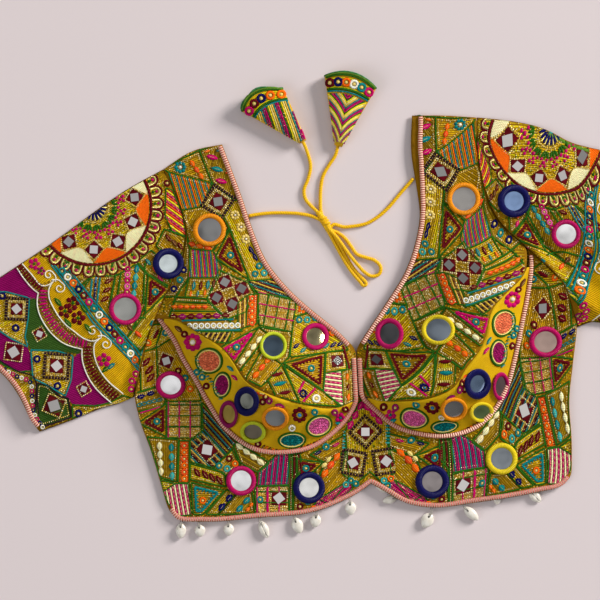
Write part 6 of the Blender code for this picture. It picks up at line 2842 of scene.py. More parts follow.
LOWER_CUP = (
    Spot(Shape.FLOWER, (193, 342), 9.5, (Silk.MAGENTA, Silk.WHITE)),
    Spot(Shape.DISC, (209.5, 360.5), 13.4, (Silk.CORAL, Silk.GREEN), tall=0.93),
    Spot(Shape.DISC, (222.5, 384.5), 8.4, (Silk.WINE, Silk.GREEN), -8, 1.5),
    *ringlets(((185, 334), (202.5, 377), (206.5, 386), (197, 372)), Silk.MAROON, Silk.TEAL),
    *leaf_spots(((179, 329),), -40, Silk.BROWN, size=10),
    *leaf_spots(((235, 377), (231, 368)), -40, Silk.MAGENTA, Silk.TEAL, size=8),
    *ringlets(((266, 396), (269.5, 400), (263, 401), (334.5, 412), (258, 444)), Silk.MAROON, Silk.WINE),
    *leaf_spots(((280, 405), (262, 393), (340, 424)), -15, Silk.WINE, Silk.RUST, Silk.TEAL, size=10),
    Spot(Shape.DISC, (292, 440), 13.6, (Silk.TEAL, Silk.GREEN), 3, 0.55),
    Spot(Shape.DISC, (319, 425.5), 13.2, (Silk.PINK, Silk.GREEN), 24, 0.76),
    Spot(Shape.FLOWER, (299.5, 414.5), 8.4, (Silk.MAROON, Silk.BLUE)),
    *ringlets(((314.5, 411.5), (292, 427.5), (345, 409)), Silk.TEAL, Silk.WHITE, Silk.MAROON),
    Spot(Shape.STAR, (340, 417.5), 5.0, (Silk.MAGENTA, Silk.TEAL)),
    Trail(Run.FERN, ((197, 355), (200, 367), (211, 380), (222, 400)), (Silk.GREEN, Silk.TEAL), 4.5),
    Trail(Run.FERN, ((262, 446), (278, 451), (308, 446), (330, 436)), (Silk.MAROON, Silk.ORANGE), 4.5),
)

WAIST_HALF = (
    Patch(((139, 353), (156, 348), (158, 386), (141, 392)), Fill.GROUND, (Silk.MUSTARD,), 90),
    Patch(((163, 324), (178, 345), (196, 380), (201, 401), (167, 402), (158, 386), (156, 345)), Fill.GROUND,
          (Silk.MUSTARD,), -60),
    Patch(((150, 325), (163, 324), (172, 338), (156, 348), (139, 353)), Fill.GROUND, (Silk.BRIGHT,), 30, beads=0.0),
    Patch(((133, 394), (158, 386), (166, 400), (163, 406), (137, 412)), Fill.GROUND, (Silk.OLIVE,), 15),
    Patch(((166, 404), (166, 437), (138, 423)), Fill.SAW, (Silk.MAROON,), 20),
    Patch(((167, 402), (201, 401), (201, 438), (166, 438)), Fill.ZARI, (Silk.GOLD,), 0),
    Patch(((202, 403), (237, 443), (226, 455), (203, 430)), Fill.STRIPES,
          (Silk.TEAL, Silk.MAROON, Silk.OLIVE, Silk.INK), -48, pitch=1.6),
    Patch(((190, 441), (203, 430), (226, 455), (213, 468), (190, 462)), Fill.STRIPES,
          (Silk.MAROON, Silk.GOLD, Silk.TEAL, Silk.INK), -45, pitch=1.6),
    Patch(((147, 437), (178, 440), (177, 482), (160, 478)), Fill.GROUND, (Silk.OLIVE,), 90, beads=0.0),
    Patch(((179, 441), (189, 441), (189, 483), (178, 483)), Fill.SATIN, (Silk.ORANGE,), 0),
    Patch(((190, 464), (224, 473), (226, 487), (190, 480)), Fill.GROUND, (Silk.BRIGHT,), -15, beads=0.0),
    Patch(((213, 468), (232, 450), (240, 466), (226, 476)), Fill.GROUND, (Silk.MUSTARD,), 45),
    Patch(((233, 445), (238, 443), (270, 463), (258, 473), (240, 463)), Fill.GROUND, (Silk.OLIVE,), -30, beads=0.0),
    Patch(((258, 472), (280, 452), (290, 455), (289, 485), (257, 486)), Fill.STRIPES,
          (Silk.MAGENTA, Silk.TEAL, Silk.WINE), 84, pitch=1.75),
    Patch(((191, 483), (224, 491), (203, 515), (193, 515)), Fill.SAW, (Silk.TEAL,), 0, ring=Silk.ORANGE),
    Patch(((226, 490), (236, 494), (218, 515), (205, 515)), Fill.GROUND, (Silk.BRIGHT,), 50, beads=0.0),
    Patch(((236, 494), (252, 492), (255, 514), (218, 515)), Fill.GROUND, (Silk.OLIVE,), 50, beads=0.0),
    Patch(((163, 492), (175, 484), (188, 484), (191, 515), (174, 517)), Fill.STRIPES, (Silk.MAGENTA, Silk.CREAM),
          -80),
    Patch(((160, 480), (175, 484), (163, 492)), Fill.GROUND, (Silk.BRIGHT,), 0),
    Patch(((254, 487), (289, 486), (290, 512), (257, 514)), Fill.ZARI, (Silk.MUSTARD,), 0, edge=Silk.GREEN),
    Patch(((289, 455), (300, 453), (302, 470), (294, 480), (293, 515), (289, 512)), Fill.STRIPES,
          (Silk.GREEN, Silk.MAROON), 90),
    Patch(((297, 459), (323, 463), (299, 485)), Fill.SAW, (Silk.MAROON,), 0),
    Patch(((310, 455), (345, 435), (347, 450), (325, 463)), Fill.GROUND, (Silk.MUSTARD,), 30),
    Patch(((347, 452), (349, 480), (330, 505), (310, 495), (317, 482), (325, 463)), Fill.GROUND, (Silk.MUSTARD,), 50),
    Patch(((350, 480), (353, 489), (334, 504), (309, 512), (318, 500)), Fill.STRIPES, (Silk.WINE, Silk.MAGENTA), 38),
    Patch(((297, 487), (299, 485), (317, 482), (310, 495), (330, 505), (322, 516), (293, 515), (294, 494)),
          Fill.GROUND, (Silk.OLIVE,), 0),
    *leaf_spots(((146, 362), (149, 370), (150, 378)), 50, Silk.MAROON, size=12),
    Spot(Shape.SQUARE, (166, 361), 4.0, (Silk.DIMMED_REFLECTION_GLASS,), -22),
    *ringlets(((178, 371), (185, 378), (190, 389), (176, 394), (168, 392)), Silk.MAROON, Silk.TEAL, Silk.ORANGE),
    Spot(Shape.BOAT, (156, 334), 12, (Silk.MAROON,), 62),
    *ringlets(((148, 343), (165, 333)), Silk.ORANGE, Silk.TEAL),
    Trail(Run.LEAVES, ((136, 398), (155, 392)), (Silk.NAVY,), 7),
    Trail(Run.LINKS, ((139, 405), (159, 400)), (Silk.TEAL,), 2.7),
    Trail(Run.CORD, ((140, 413), (160, 407)), (Silk.MAGENTA,)),
    Spot(Shape.SQUARE, (207, 450), 5.4, turn=40),
    Trail(Run.LEAVES, ((159, 442), (161, 476)), (Silk.CREAM,), 7.5),
    Trail(Run.LEAVES, ((171, 443), (172, 481)), (Silk.TEAL, Silk.AQUA), 7.5),
    Trail(Run.RINGS, ((184, 446), (184, 479)), (Silk.RUST, Silk.ORANGE), 3.4),
    *leaf_spots(((197, 473), (205, 475), (212, 478), (219, 480.5)), -56, Silk.MAROON, size=11),
    *ringlets(((219, 466), (227, 469), (229, 459), (235, 464)), Silk.TEAL, Silk.AQUA, Silk.MAROON, Silk.ORANGE),
    Trail(Run.LEAVES, ((236, 444), (264, 465)), (Silk.CREAM,), 8.0),
    Trail(Run.LEAVES, ((233, 494), (218, 512)), (Silk.NAVY,), 8.5),
    Trail(Run.LEAVES, ((250, 497), (236, 513)), (Silk.TEAL,), 8),
    Trail(Run.LEAVES, ((253, 503), (246, 512)), (Silk.ORANGE,), 5),
    Trail(Run.CORD, ((267, 488), (267, 512)), (Silk.MAGENTA,)),
    Spot(Shape.SQUARE, (279, 498.5), 4.9, turn=-3),
    *ringlets(((260, 500),), Silk.TEAL),
    Spot(Shape.RINGLET, (326, 447), 3.8, (Silk.TEAL,)),
    *leaf_spots(((336, 445), (318, 453)), 30, Silk.MAGENTA, Silk.NAVY, size=8),
    Trail(Run.LEAVES, ((340, 453), (331, 465), (322, 478)), (Silk.ORANGE, Silk.RUST), 9.0),
    Trail(Run.LEAVES, ((331, 457), (322, 468)), (Silk.PALE_GOLD,), 6.0),
    *ringlets(((300, 507), (308, 502), (314, 509)), Silk.MAROON, Silk.TEAL, Silk.ORANGE),
)

GORE = (
    Patch(((345, 432), (363, 396), (370, 396), (388, 424), (390, 452), (398, 470), (384, 484), (370, 472), (356, 484),
           (342, 474), (346, 452)), Fill.GROUND, (Silk.BRIGHT,), 90, beads=5.0),
)

GORE_MOTIFS = (
    Trail(Run.LEAVES, ((348, 430), (355, 416), (363, 401)), (Silk.MAGENTA,), 9.0),
    Trail(Run.LEAVES, ((364, 404), (373, 413), (382, 424)), (Silk.MAGENTA,), 9.0),
    *ringlets(((351, 481), (346, 485), (356, 484), (384, 481), (391, 479), (388, 486)), Silk.TEAL, Silk.AQUA, Silk.TEAL,
              Silk.AQUA, Silk.ORANGE),
    Trail(Run.BARS, ((343, 432), (343, 448)), (Silk.TEAL, Silk.AQUA), 5.5),
    Trail(Run.BARS, ((388, 426), (388, 443)), (Silk.TEAL, Silk.AQUA), 5.5),
    Spot(Shape.FRAME, (353, 463), 11.5, turn=-11),
    Spot(Shape.FRAME, (386.5, 461.5), 12.0, turn=10),
    Spot(Shape.FRAME, (365.5, 432), 11.4, turn=48),
)


SLEEVE_GROUND = (
    Patch(((78, 297), (92, 276), (116, 276), (137, 264), (148, 275), (145, 306), (127, 338)), Fill.GROUND,
          (Silk.MUSTARD,), -55, beads=3.6),
    Patch(((148, 275), (170, 289), (145, 314)), Fill.SAW, (Silk.MAROON,), 0),
    Patch(((137, 262), (151, 250), (164, 262), (172, 288), (148, 274)), Fill.GROUND, (Silk.OLIVE,), 30),
    Patch(((166, 188), (172, 190), (182, 214), (186, 236), (172, 231), (165, 216)), Fill.STRIPES,
          (Silk.MAGENTA, Silk.YELLOW, Silk.RUST), -36),
    Patch(((164, 229), (186, 237), (184, 250), (176, 262), (156, 246)), Fill.GROUND, (Silk.MUSTARD,), -45),
    Patch(((145, 314), (170, 290), (172, 299), (160, 320), (141, 352), (127, 338)), Fill.GROUND, (Silk.BRIGHT,), 50),
    Patch(((141, 352), (160, 322), (150, 350), (139, 374)), Fill.STRIPES, (Silk.TEAL, Silk.YELLOW), 55),
    Patch(((66, 268), (60, 258), (92, 276), (78, 288)), Fill.GROUND, (Silk.OLIVE,), -20, beads=3.6),
    Patch(((92, 266), (118, 262), (116, 276), (92, 276)), Fill.STRIPES, (Silk.GREEN, Silk.GOLD), 80),
    Patch(((52, 266), (63, 266), (77, 284), (93, 305), (109, 322), (124, 339), (140, 359), (140, 374), (126, 356),
           (110, 339), (95, 325), (80, 303), (65, 283)), Fill.GROUND, (Silk.BRIGHT,), -50, edge=None),
    Patch(((20, 262), (40, 254), (52, 266), (65, 283), (80, 303), (95, 325), (110, 339), (126, 356), (140, 374),
           (134, 400), (122, 396), (107, 380), (95, 359), (94, 346), (99, 338), (85, 339), (66, 325), (53, 307),
           (49, 292), (54, 280), (40, 284)), Fill.SATIN, (Silk.SUN,), 40, edge=None),
    Patch(((-60, 318), (-42, 334), (-30, 338), (-14, 352), (5, 366), (19, 372), (31, 371), (31, 380), (33, 400),
           (37, 424), (38, 434), (24, 430), (8, 390), (-40, 346)), Fill.GROUND, (Silk.BRIGHT,), 40, beads=3.2),
)

SLEEVE_BORDER = (
    Patch(((16, 266), (21, 263), (31, 274), (43, 286), (54, 281), (49, 292), (53, 307), (66, 325), (85, 339),
           (99, 338), (94, 346), (95, 359), (107, 380), (123, 394), (111, 403), (93, 385), (83, 366), (82, 350),
           (63, 343), (45, 325), (37, 306), (38, 293), (24, 279)), Fill.GROUND, (Silk.OLIVE,), -45, edge=None,
          beads=3.0),
    Patch(((-22, 262), (-6, 258), (16, 266), (24, 279), (38, 293), (37, 299), (26, 299), (6, 292), (-14, 292)),
          Fill.SATIN, (Silk.PLUM,), 20, edge=None),
    Patch(((29, 297), (37, 299), (39, 314), (45, 325), (53, 335), (67, 345), (82, 350), (78, 354), (57, 351),
           (31, 350), (25, 337), (28, 318)), Fill.SATIN, (Silk.MOSS,), 20, edge=None),
    Patch(((80, 353), (83, 366), (87, 375), (96, 388), (109, 402), (95, 406), (73, 405), (65, 396), (71, 380),
           (73, 357)), Fill.SATIN, (Silk.PLUM,), 20, edge=None),
    Patch(((-14, 292), (6, 292), (29, 298), (28, 318), (25, 337), (28, 347), (10, 338), (-8, 326)), Fill.GROUND,
          (Silk.BRIGHT,), 30, edge=Silk.TEAL, beads=3.0),
    Patch(((-8, 326), (10, 338), (28, 347), (34, 371), (20, 372), (0, 362), (-30, 338)), Fill.SATIN,
          (Silk.PLUM,), 20, edge=None),
    Patch(((31, 350), (57, 351), (73, 356), (71, 380), (65, 396), (47, 385), (33, 378)),
          Fill.GROUND, (Silk.BRIGHT,), 20, edge=Silk.TEAL, beads=3.0),
    Patch(((37, 383), (48, 385), (60, 397), (68, 398), (71, 417), (51, 424), (41, 427), (34, 417)),
          Fill.SATIN, (Silk.MOSS,), 20, edge=Silk.INK),
    Patch(((72, 405), (95, 406), (109, 403), (123, 395), (134, 400), (104, 412), (72, 418)),
          Fill.GROUND, (Silk.BRIGHT,), 20, beads=3.0),
    Patch(((-60, 318), (-22, 280), (-14, 292), (-8, 326), (-30, 338), (-42, 334)), Fill.SATIN, (Silk.MOSS,), 20),
    Patch(((-30, 262), (6, 250), (24, 262), (16, 266), (-6, 258)), Fill.GROUND, (Silk.OLIVE,), 30, beads=3.6),
)

SLEEVE_MOTIFS = (
    *(Trail(Run.CORD, line, (Silk.TEAL,), 2.0) for line in (
        ((51, 265), (65, 283), (80, 303), (95, 325), (110, 339), (126, 356), (139, 371)),
        ((54, 265), (67, 281), (82, 301), (97, 322), (112, 337), (128, 354), (140, 368)),
        ((63, 267), (77, 284), (93, 305), (109, 322), (124, 339), (140, 359)),
        ((66, 266), (79, 282), (95, 302), (111, 320), (126, 337), (142, 356)),
    )),
    Trail(Run.RINGS, ((62, 271), (70, 279.6), (81, 292), (97, 312), (112, 331), (121, 342), (135, 360)),
          (Silk.TEAL, Silk.WHITE, Silk.ORANGE, Silk.NAVY, Silk.MAROON, Silk.MAGENTA), 4.1),
    *(Trail(Run.CORD, line, (Silk.WHITE,), 1.5) for line in (
        ((20, 262), (31, 274), (43, 286), (50, 284), (54, 280)),
        ((54, 280), (49, 288), (49, 298), (53, 307), (66, 325), (75, 332), (85, 339), (94, 341), (100, 338)),
        ((100, 338), (95, 343), (94, 352), (97, 364), (107, 380), (123, 394)),
        ((15, 266), (24, 279), (34, 290), (38, 293)),
        ((38, 293), (37, 300), (38, 310), (45, 325), (53, 335), (63, 343), (73, 347), (82, 349)),
        ((82, 349), (82, 358), (85, 370), (93, 385), (102, 395), (111, 403)),
    )),
    Trail(Run.BARS, ((19, 266), (29, 278), (41, 289)), (Silk.MAROON,), 7.5),
    Trail(Run.BARS, ((43, 291), (43, 303), (50, 319), (60, 331), (72, 340), (86, 344)), (Silk.MAGENTA, Silk.WINE), 9.5),
    Trail(Run.BARS, ((88, 347), (88, 360), (92, 371), (102, 384), (115, 397)), (Silk.MAROON,), 9.5),
    Spot(Shape.SCROLL, (48.5, 275), 5.6, (Silk.WHITE,), -45),
    Spot(Shape.SCROLL, (59.5, 288), 6.6, (Silk.WHITE,), 135, tall=-1),
    Spot(Shape.SCROLL, (93, 331), 6.4, (Silk.WHITE,), -45),
    Spot(Shape.SCROLL, (106, 344), 6.6, (Silk.WHITE,), 135, tall=-1),
    *(Spot(Shape.STAR, place, 7.4, (Silk.MAROON, Silk.GREEN)) for place in ((65, 311), (78, 318), (73, 303))),
    *leaf_spots(((58, 302), (88, 328), (68, 323), (84, 309)), -50, Silk.GREEN, size=11),
    Spot(Shape.STAR, (104, 360), 7.2, (Silk.MAGENTA, Silk.GREEN), 90),
    *leaf_spots(((111, 366), (106, 369)), 40, Silk.TEAL, Silk.GREEN, size=10),
    Spot(Shape.STAR, (34, 264), 6.2, (Silk.MAGENTA, Silk.GREEN)),
    Spot(Shape.STAR, (41, 271), 4.4, (Silk.WINE, Silk.GREEN)),
    *ringlets(((136, 374), (132, 381), (138, 384), (131, 389), (136, 391)), Silk.MAGENTA, Silk.MAGENTA, Silk.WINE),
    Trail(Run.CORD, ((92, 279), (90, 298)), (Silk.TEAL,), 2.2),
    Trail(Run.CORD, ((100, 277), (97, 303)), (Silk.TEAL,), 2.2),
    Trail(Run.BEADS, ((96, 278), (94, 301)), (Silk.NAVY, Silk.BLUE), 1.5),
    *leaf_spots(((108.5, 281), (107, 290), (105, 299)), 32, Silk.MAROON, size=10),
    Trail(Run.CORD, ((116, 273), (109, 308)), (Silk.GREEN,), 2.4),
    Trail(Run.RINGS, ((127.5, 269), (127, 292)), (Silk.MAGENTA, Silk.PINK), 3.2),
    Trail(Run.LEAVES, ((137, 265), (133, 298)), (Silk.TEAL, Silk.AQUA), 7.5),
    Trail(Run.CORD, ((121, 272), (115, 312)), (Silk.GREEN,), 2.2),
    Trail(Run.CORD, ((145, 263), (143, 304)), (Silk.GREEN,), 2.4),
    Trail(Run.CORD, ((116, 327), (132, 318), (146, 318)), (Silk.GREEN,), 2.4),
    Spot(Shape.FLOWER, (154, 324), 4.6, (Silk.TEAL, Silk.AQUA)),
    *ringlets(((158, 338), (154, 343), (163, 336)), Silk.ORANGE),
    *leaf_spots(((138, 334), (130, 328)), -45, Silk.RUST, Silk.BROWN, size=9),
    *ringlets(((162, 306), (168, 299)), Silk.MAGENTA),
    *leaf_spots(((168, 238), (174, 243), (180, 246)), -55, Silk.MAROON, Silk.BROWN, size=9),
    Spot(Shape.RINGLET, (167, 183), 3.6, (Silk.MAROON,)),
    *leaf_spots(((148, 262), (155, 270), (160, 278)), -50, Silk.TEAL, Silk.RUST, Silk.MAGENTA, size=8),
    Spot(Shape.FRAME, (16.5, 309), 10.4, turn=-3),
    Spot(Shape.FRAME, (56.5, 366), 12.0, turn=-4),
    Spot(Shape.SQUARE, (13.6, 352), 5.2, turn=-8),
    Spot(Shape.SQUARE, (54, 405.5), 5.6, turn=-22),
    Spot(Shape.SQUARE, (83.6, 389), 3.2, turn=30),
    Spot(Shape.SQUARE, (39.4, 334), 3.2, turn=30),
    Spot(Shape.SQUARE, (-30, 312), 4.2, turn=-36),
    *ringlets(((15.6, 328), (37, 359), (57.3, 386), (78, 413.5), (-6, 300), (2, 296)), Silk.NAVY, size=4.0),
    Trail(Run.RINGS, ((-30, 344), (0, 367), (16, 376), (30, 382), (32, 400), (34, 414), (42, 427)),
          (Silk.NAVY, Silk.WHITE, Silk.MAGENTA), 2.4),
    Trail(Run.CORD, ((-24, 341), (2, 362), (20, 372), (33, 376), (37, 395), (38, 414)), (Silk.INK,), 1.6),
)


SLEEVE_EXTRA = {
    "left": (),
    "right": (Trail(Run.CORD, ((549, 134), (562, 140), (577, 147), (590, 151)), (Silk.GRASS,), 4.5),),
}


@dataclass(frozen=True)
class Mandala:
    """The round medallion on the shoulder of a sleeve: scallops, arcs, petals, square mirrors and a flower."""

    centre: Point = (93.0, 393.0)
    reach: float = 58.0
    first: float = -152.0
    last: float = 40.0

    def stitch(self, motifs: Motifs) -> None:
        """Lays the medallion.

        Args:
            motifs: the motifs to draw with.
        """
        work = motifs.work
        motifs.ground(self._wedge(72.5), Silk.BRIGHT.value, 30, 3.2)
        motifs.cord(self._arc(self.reach), Silk.MAROON.value, 3.2)
        for turn in np.arange(self.first + 4, self.last, 10.8):
            self._scallop(motifs, turn)
        for index, turn in enumerate((-160, -125, -89, -54, -20, 13, 44)):
            self._petal(motifs, turn, (Silk.ORANGE, Silk.CREAM)[index % 2].value)
        for turn in (-125, -89, -54.5, -20.5, 13):
            motifs.mirror_square(self._at(42.6, turn), 4.4, turn + 45, Silk.GLASS.value)
        for turn in np.arange(self.first, self.last, 24.0):
            for reach, shift in ((25.5, -7), (28.0, 0), (31.5, 4), (31.0, -4), (25.0, 7)):
                work.beads(self._at(reach, turn + shift)[None], 1.9, (Silk.MAGENTA.value,), 1.3, 0.4)
            for lean in (-24, 0, 24):
                work.leaf(self._at(21.5, turn + 0.3 * lean), turn + lean, 7.0, 3.0, Silk.GREEN.value)
        work.bead_line(self._arc(15.5), 2.0, 0.9, PALE_GOLDS)
        for turn in np.arange(self.first, self.last + 20, 20.0):
            work.leaf(self._at(9.5, turn), turn, 9.0, 3.4, Silk.NAVY.value)
            work.leaf(self._at(11.5, turn + 10), turn + 10, 6.0, 1.9, Silk.PALE_GOLD.value, metal=Metal.ZARI)
        work.ring(self.centre, 4.0, 2.2, Silk.AQUA.value)

    def _at(self, reach: float, turn: float) -> np.ndarray:
        """The place at a distance and an angle from the middle."""
        return np.array(self.centre) + reach * axes(turn)[0]

    def _arc(self, reach: float) -> np.ndarray:
        """An arc round the middle."""
        turns = np.radians(np.linspace(self.first, self.last, 60))
        return np.array(self.centre) + reach * np.column_stack([np.cos(turns), np.sin(turns)])

    def _wedge(self, outer: float) -> np.ndarray:
        """A closed outline under an arc."""
        return np.vstack([self._arc(outer), [self.centre]])

    def _scallop(self, motifs: Motifs, turn: float) -> None:
        """One scallop outside the arc: a maroon loop round a gold one, with a pink and a green knot.

        Args:
            motifs: the motifs to draw with.
            turn: its angle in degrees.
        """
        angles = np.radians(np.linspace(-90, 90, 10))
        for grow, dye, width, metal in (
            (1.0, Silk.MAROON, 1.9, Metal.SILK), (0.66, Silk.PALE_GOLD, 2.3, Metal.ZARI)
        ):
            curve = np.column_stack([6.0 * np.cos(angles), 5.7 * np.sin(angles)]) * grow
            loop = np.vstack([[(-5.0, -5.7 * grow)], curve, [(-5.0, 5.7 * grow)]])
            fine = resampled(self._at(64.6, turn) + loop @ axes(turn), 2.0)
            motifs.work.band(fine, width, motifs.work.shades(dye.value, len(fine), 0.1), 0.9, 0.45, metal=metal)
        motifs.work.beads(self._at(65.2, turn)[None], 1.8, (Silk.MAGENTA.value,), 1.3, 0.5)
        motifs.work.beads(self._at(61.8, turn)[None], 1.6, (Silk.GREEN.value,), 1.2, 0.5)

    def _petal(self, motifs: Motifs, turn: float, dye: Colour) -> None:
        """One pointed lens inside the arc, of radial satin stitches edged with beads.

        Args:
            motifs: the motifs to draw with.
            turn: its angle in degrees.
            dye: its dye.
        """
        edge = []
        for share in np.linspace(0.02, 0.98, 27):
            lean = turn + 35.0 * share
            if not self.first < lean < self.last:
                continue
            depth = 0.6 + 12.5 * math.sin(math.pi * share)
            inner = self._at(56.0 - depth, lean)
            edge.append(inner)
            motifs.work.row(self._at(56.0, lean), inner, 4.0, dye, 0.07, width=1.75, rise=0.8, base=0.35)
        if len(edge) > 2:
            motifs.work.bead_line(np.array(edge), 1.9, 0.85, PALE_GOLDS, rise=1.1, base=0.6)


# --------------------------------------------------------------------------- panels


@dataclass
class Warp:
    """A smooth bend of the board that carries some places onto others."""

    here: np.ndarray
    there: np.ndarray
    stiffness: float = 6.0

    def __post_init__(self) -> None:
        """Solves for the bend."""
        kept = np.unique(np.round(self.here / 3.0).astype(int), axis=0, return_index=True)[1]
        self.here, self.there = self.here[np.sort(kept)], self.there[np.sort(kept)]
        count = len(self.here)
        flat = np.column_stack([np.ones(count), self.here / 100.0])
        table = np.zeros((count + 3, count + 3))
        table[:count, :count] = self._kernel(self.here) + np.eye(count) * self.stiffness * 0.001
        table[:count, count:] = flat
        table[count:, :count] = flat.T
        self.weights = np.linalg.solve(table, np.vstack([self.there, np.zeros((3, 2))]))

    def _kernel(self, points: np.ndarray) -> np.ndarray:
        """The bending kernel between points and the anchors."""
        away = ((points[:, None] - self.here[None]) ** 2).sum(axis=2) / 1e4
        return 0.5 * away * np.log(np.maximum(away, 1e-12))

    def moved(self, points: np.ndarray) -> np.ndarray:
        """Where plan points go.

        Args:
            points: plan points.

        Returns:
            Their places on the other side.
        """
        found = np.zeros_like(points)
        for start in range(0, len(points), 20000):
            part = points[start : start + 20000]
            found[start : start + 20000] = self._kernel(part) @ self.weights[:-3] + np.column_stack(
                [np.ones(len(part)), part / 100.0]
            ) @ self.weights[-3:]
        return found


def shares(line: Sequence[Point], count: int) -> np.ndarray:
    """A number of places evenly spaced along a smooth curve.

    Args:
        line: the points it passes through.
        count: how many places there are.

    Returns:
        The places.
    """
    fine = smooth_curve(line, 1.0)
    places = np.linspace(0, len(fine) - 1, count)
    return np.column_stack([np.interp(places, np.arange(len(fine)), fine[:, k]) for k in range(2)])


def warp_between(pairs: Sequence[tuple], here: Sequence[Point], there: Sequence[Point]) -> Warp:
    """The warp that carries curves and single places of the left onto those of the right.

    Args:
        pairs: a curve on the left, its match on the right, and how many places to take along them.
        here: single places on the left.
        there: their matches on the right.

    Returns:
        The warp.
    """
    left, right = ([shares(pair[k], pair[2]) for pair in pairs] for k in (0, 1))
    return Warp(np.vstack([*left, np.array(here, float)]), np.vstack([*right, np.array(there, float)]))


def body_warp() -> Warp:
    """Carries the left of the front onto the right of it, edge onto edge and mirror onto mirror.

    Returns:
        The warp.
    """
    centre = ((356, 251), GORE_PEAK, (371, 116))
    counts = {"shoulder": 4, "neck": 9, "armhole": 9, "side": 5, "hem": 8, "underwire": 10, "ridge": 9}
    pairs = [(getattr(LEFT, name), getattr(RIGHT, name), count) for name, count in counts.items()]
    matches = {1: 13, 2: 14, 4: 17, 5: 16, 6: 18, 7: 19, 8: 20, 9: 21, 10: 22, 11: 24, 12: 23}
    here, there = (
        [(MIRRORS[number - 1].x, MIRRORS[number - 1].y) for number in numbers]
        for numbers in (matches.keys(), matches.values())
    )
    return warp_between([*pairs, (centre, centre, 5)], here, there)


def sleeve_warp() -> Warp:
    """Carries the left sleeve onto the right one.

    Returns:
        The warp.
    """
    counts = {"sleeve_top": 7, "armhole": 7, "sleeve_under": 4, "sleeve_hem": 6}
    pairs = [(getattr(LEFT, name), getattr(RIGHT, name), count) for name, count in counts.items()]
    here = ((52, 335), (138, 235), (150.8, 406), (92, 336), (134.5, 402))
    there = ((597, 414), (582, 303), (487, 462), (569, 410), (508, 456))
    return warp_between(pairs, here, there)


@dataclass(frozen=True)
class Panel:
    """One piece of cloth to embroider: its name, its slot and its outline on the board."""

    name: str
    slot: str
    outline: np.ndarray


def panels(side: str) -> tuple[Panel, ...]:
    """The four panels of one side, their outlines along the seams and under the middle of the piping.

    Args:
        side: left or right.

    Returns:
        The upper front, the lower cup, half of the waist band and the sleeve.
    """
    half = HALVES[side]
    shoulder, armhole, edge, hem = (
        smooth_curve(line, 2.0) for line in (half.shoulder, half.armhole, half.side, half.hem)
    )
    turn = int(np.linalg.norm(armhole - np.array(half.cup_start, float), axis=1).argmin())
    ridge, wire = (smooth_curve([armhole[turn], *line, GORE_PEAK], 2.0) for line in (half.ridge, half.underwire))
    top, under, cuff = (smooth_curve(line, 3.0) for line in (half.sleeve_top, half.sleeve_under, half.sleeve_hem))
    hem, cuff = (parallel(line, PIPING_REACH * half.out) for line in (hem, cuff))
    centre = np.array(((371, 118), (366.5, 160), GORE_PEAK), float) + (0.9 * half.out, 0)
    upper = np.vstack([armhole[:turn], ridge, [(356, 248)], neck_seat(side)[::-1], shoulder[::-1][1:-1]])
    cup = np.vstack([ridge, wire[::-1][1:-1]])
    waist = np.vstack([armhole[turn:-1], edge[:-1], hem, centre, wire[::-1][1:-1]])
    sleeve = np.vstack([top[:-1], cuff[1:-1], under[::-1], armhole[::-1][1:-1]])
    return tuple(
        Panel(f"{name}_embroidery_{side}", slot, shrunk(outline, margin))
        for name, slot, outline, margin in (
            ("upper_front", "front_cloth", upper, 0.7), ("lower_cup", "cup_cloth", cup, 0.3),
            ("waist", "band_cloth", waist, 0.7), ("sleeve", "sleeve_cloth", sleeve, 0.7),
        )
    )


def gore_outline() -> np.ndarray:
    """The middle of the waist band: under the cups' piping, down to the hem's.

    Returns:
        A closed plan outline.
    """
    left, right = (smooth_curve([*half.underwire, GORE_PEAK], 2.0) for half in (LEFT, RIGHT))
    top = np.vstack([left[left[:, 0] > 344], right[right[:, 0] < 392][::-1]])
    hem = np.vstack([smooth_curve(LEFT.hem, 2.0), smooth_curve(RIGHT.hem[::-1], 2.0)])
    hem = hem[(hem[:, 0] > 336) & (hem[:, 0] < 400)]
    return np.vstack([top, hem[np.argsort(hem[:, 0])[::-1]] + (0, PIPING_REACH)])


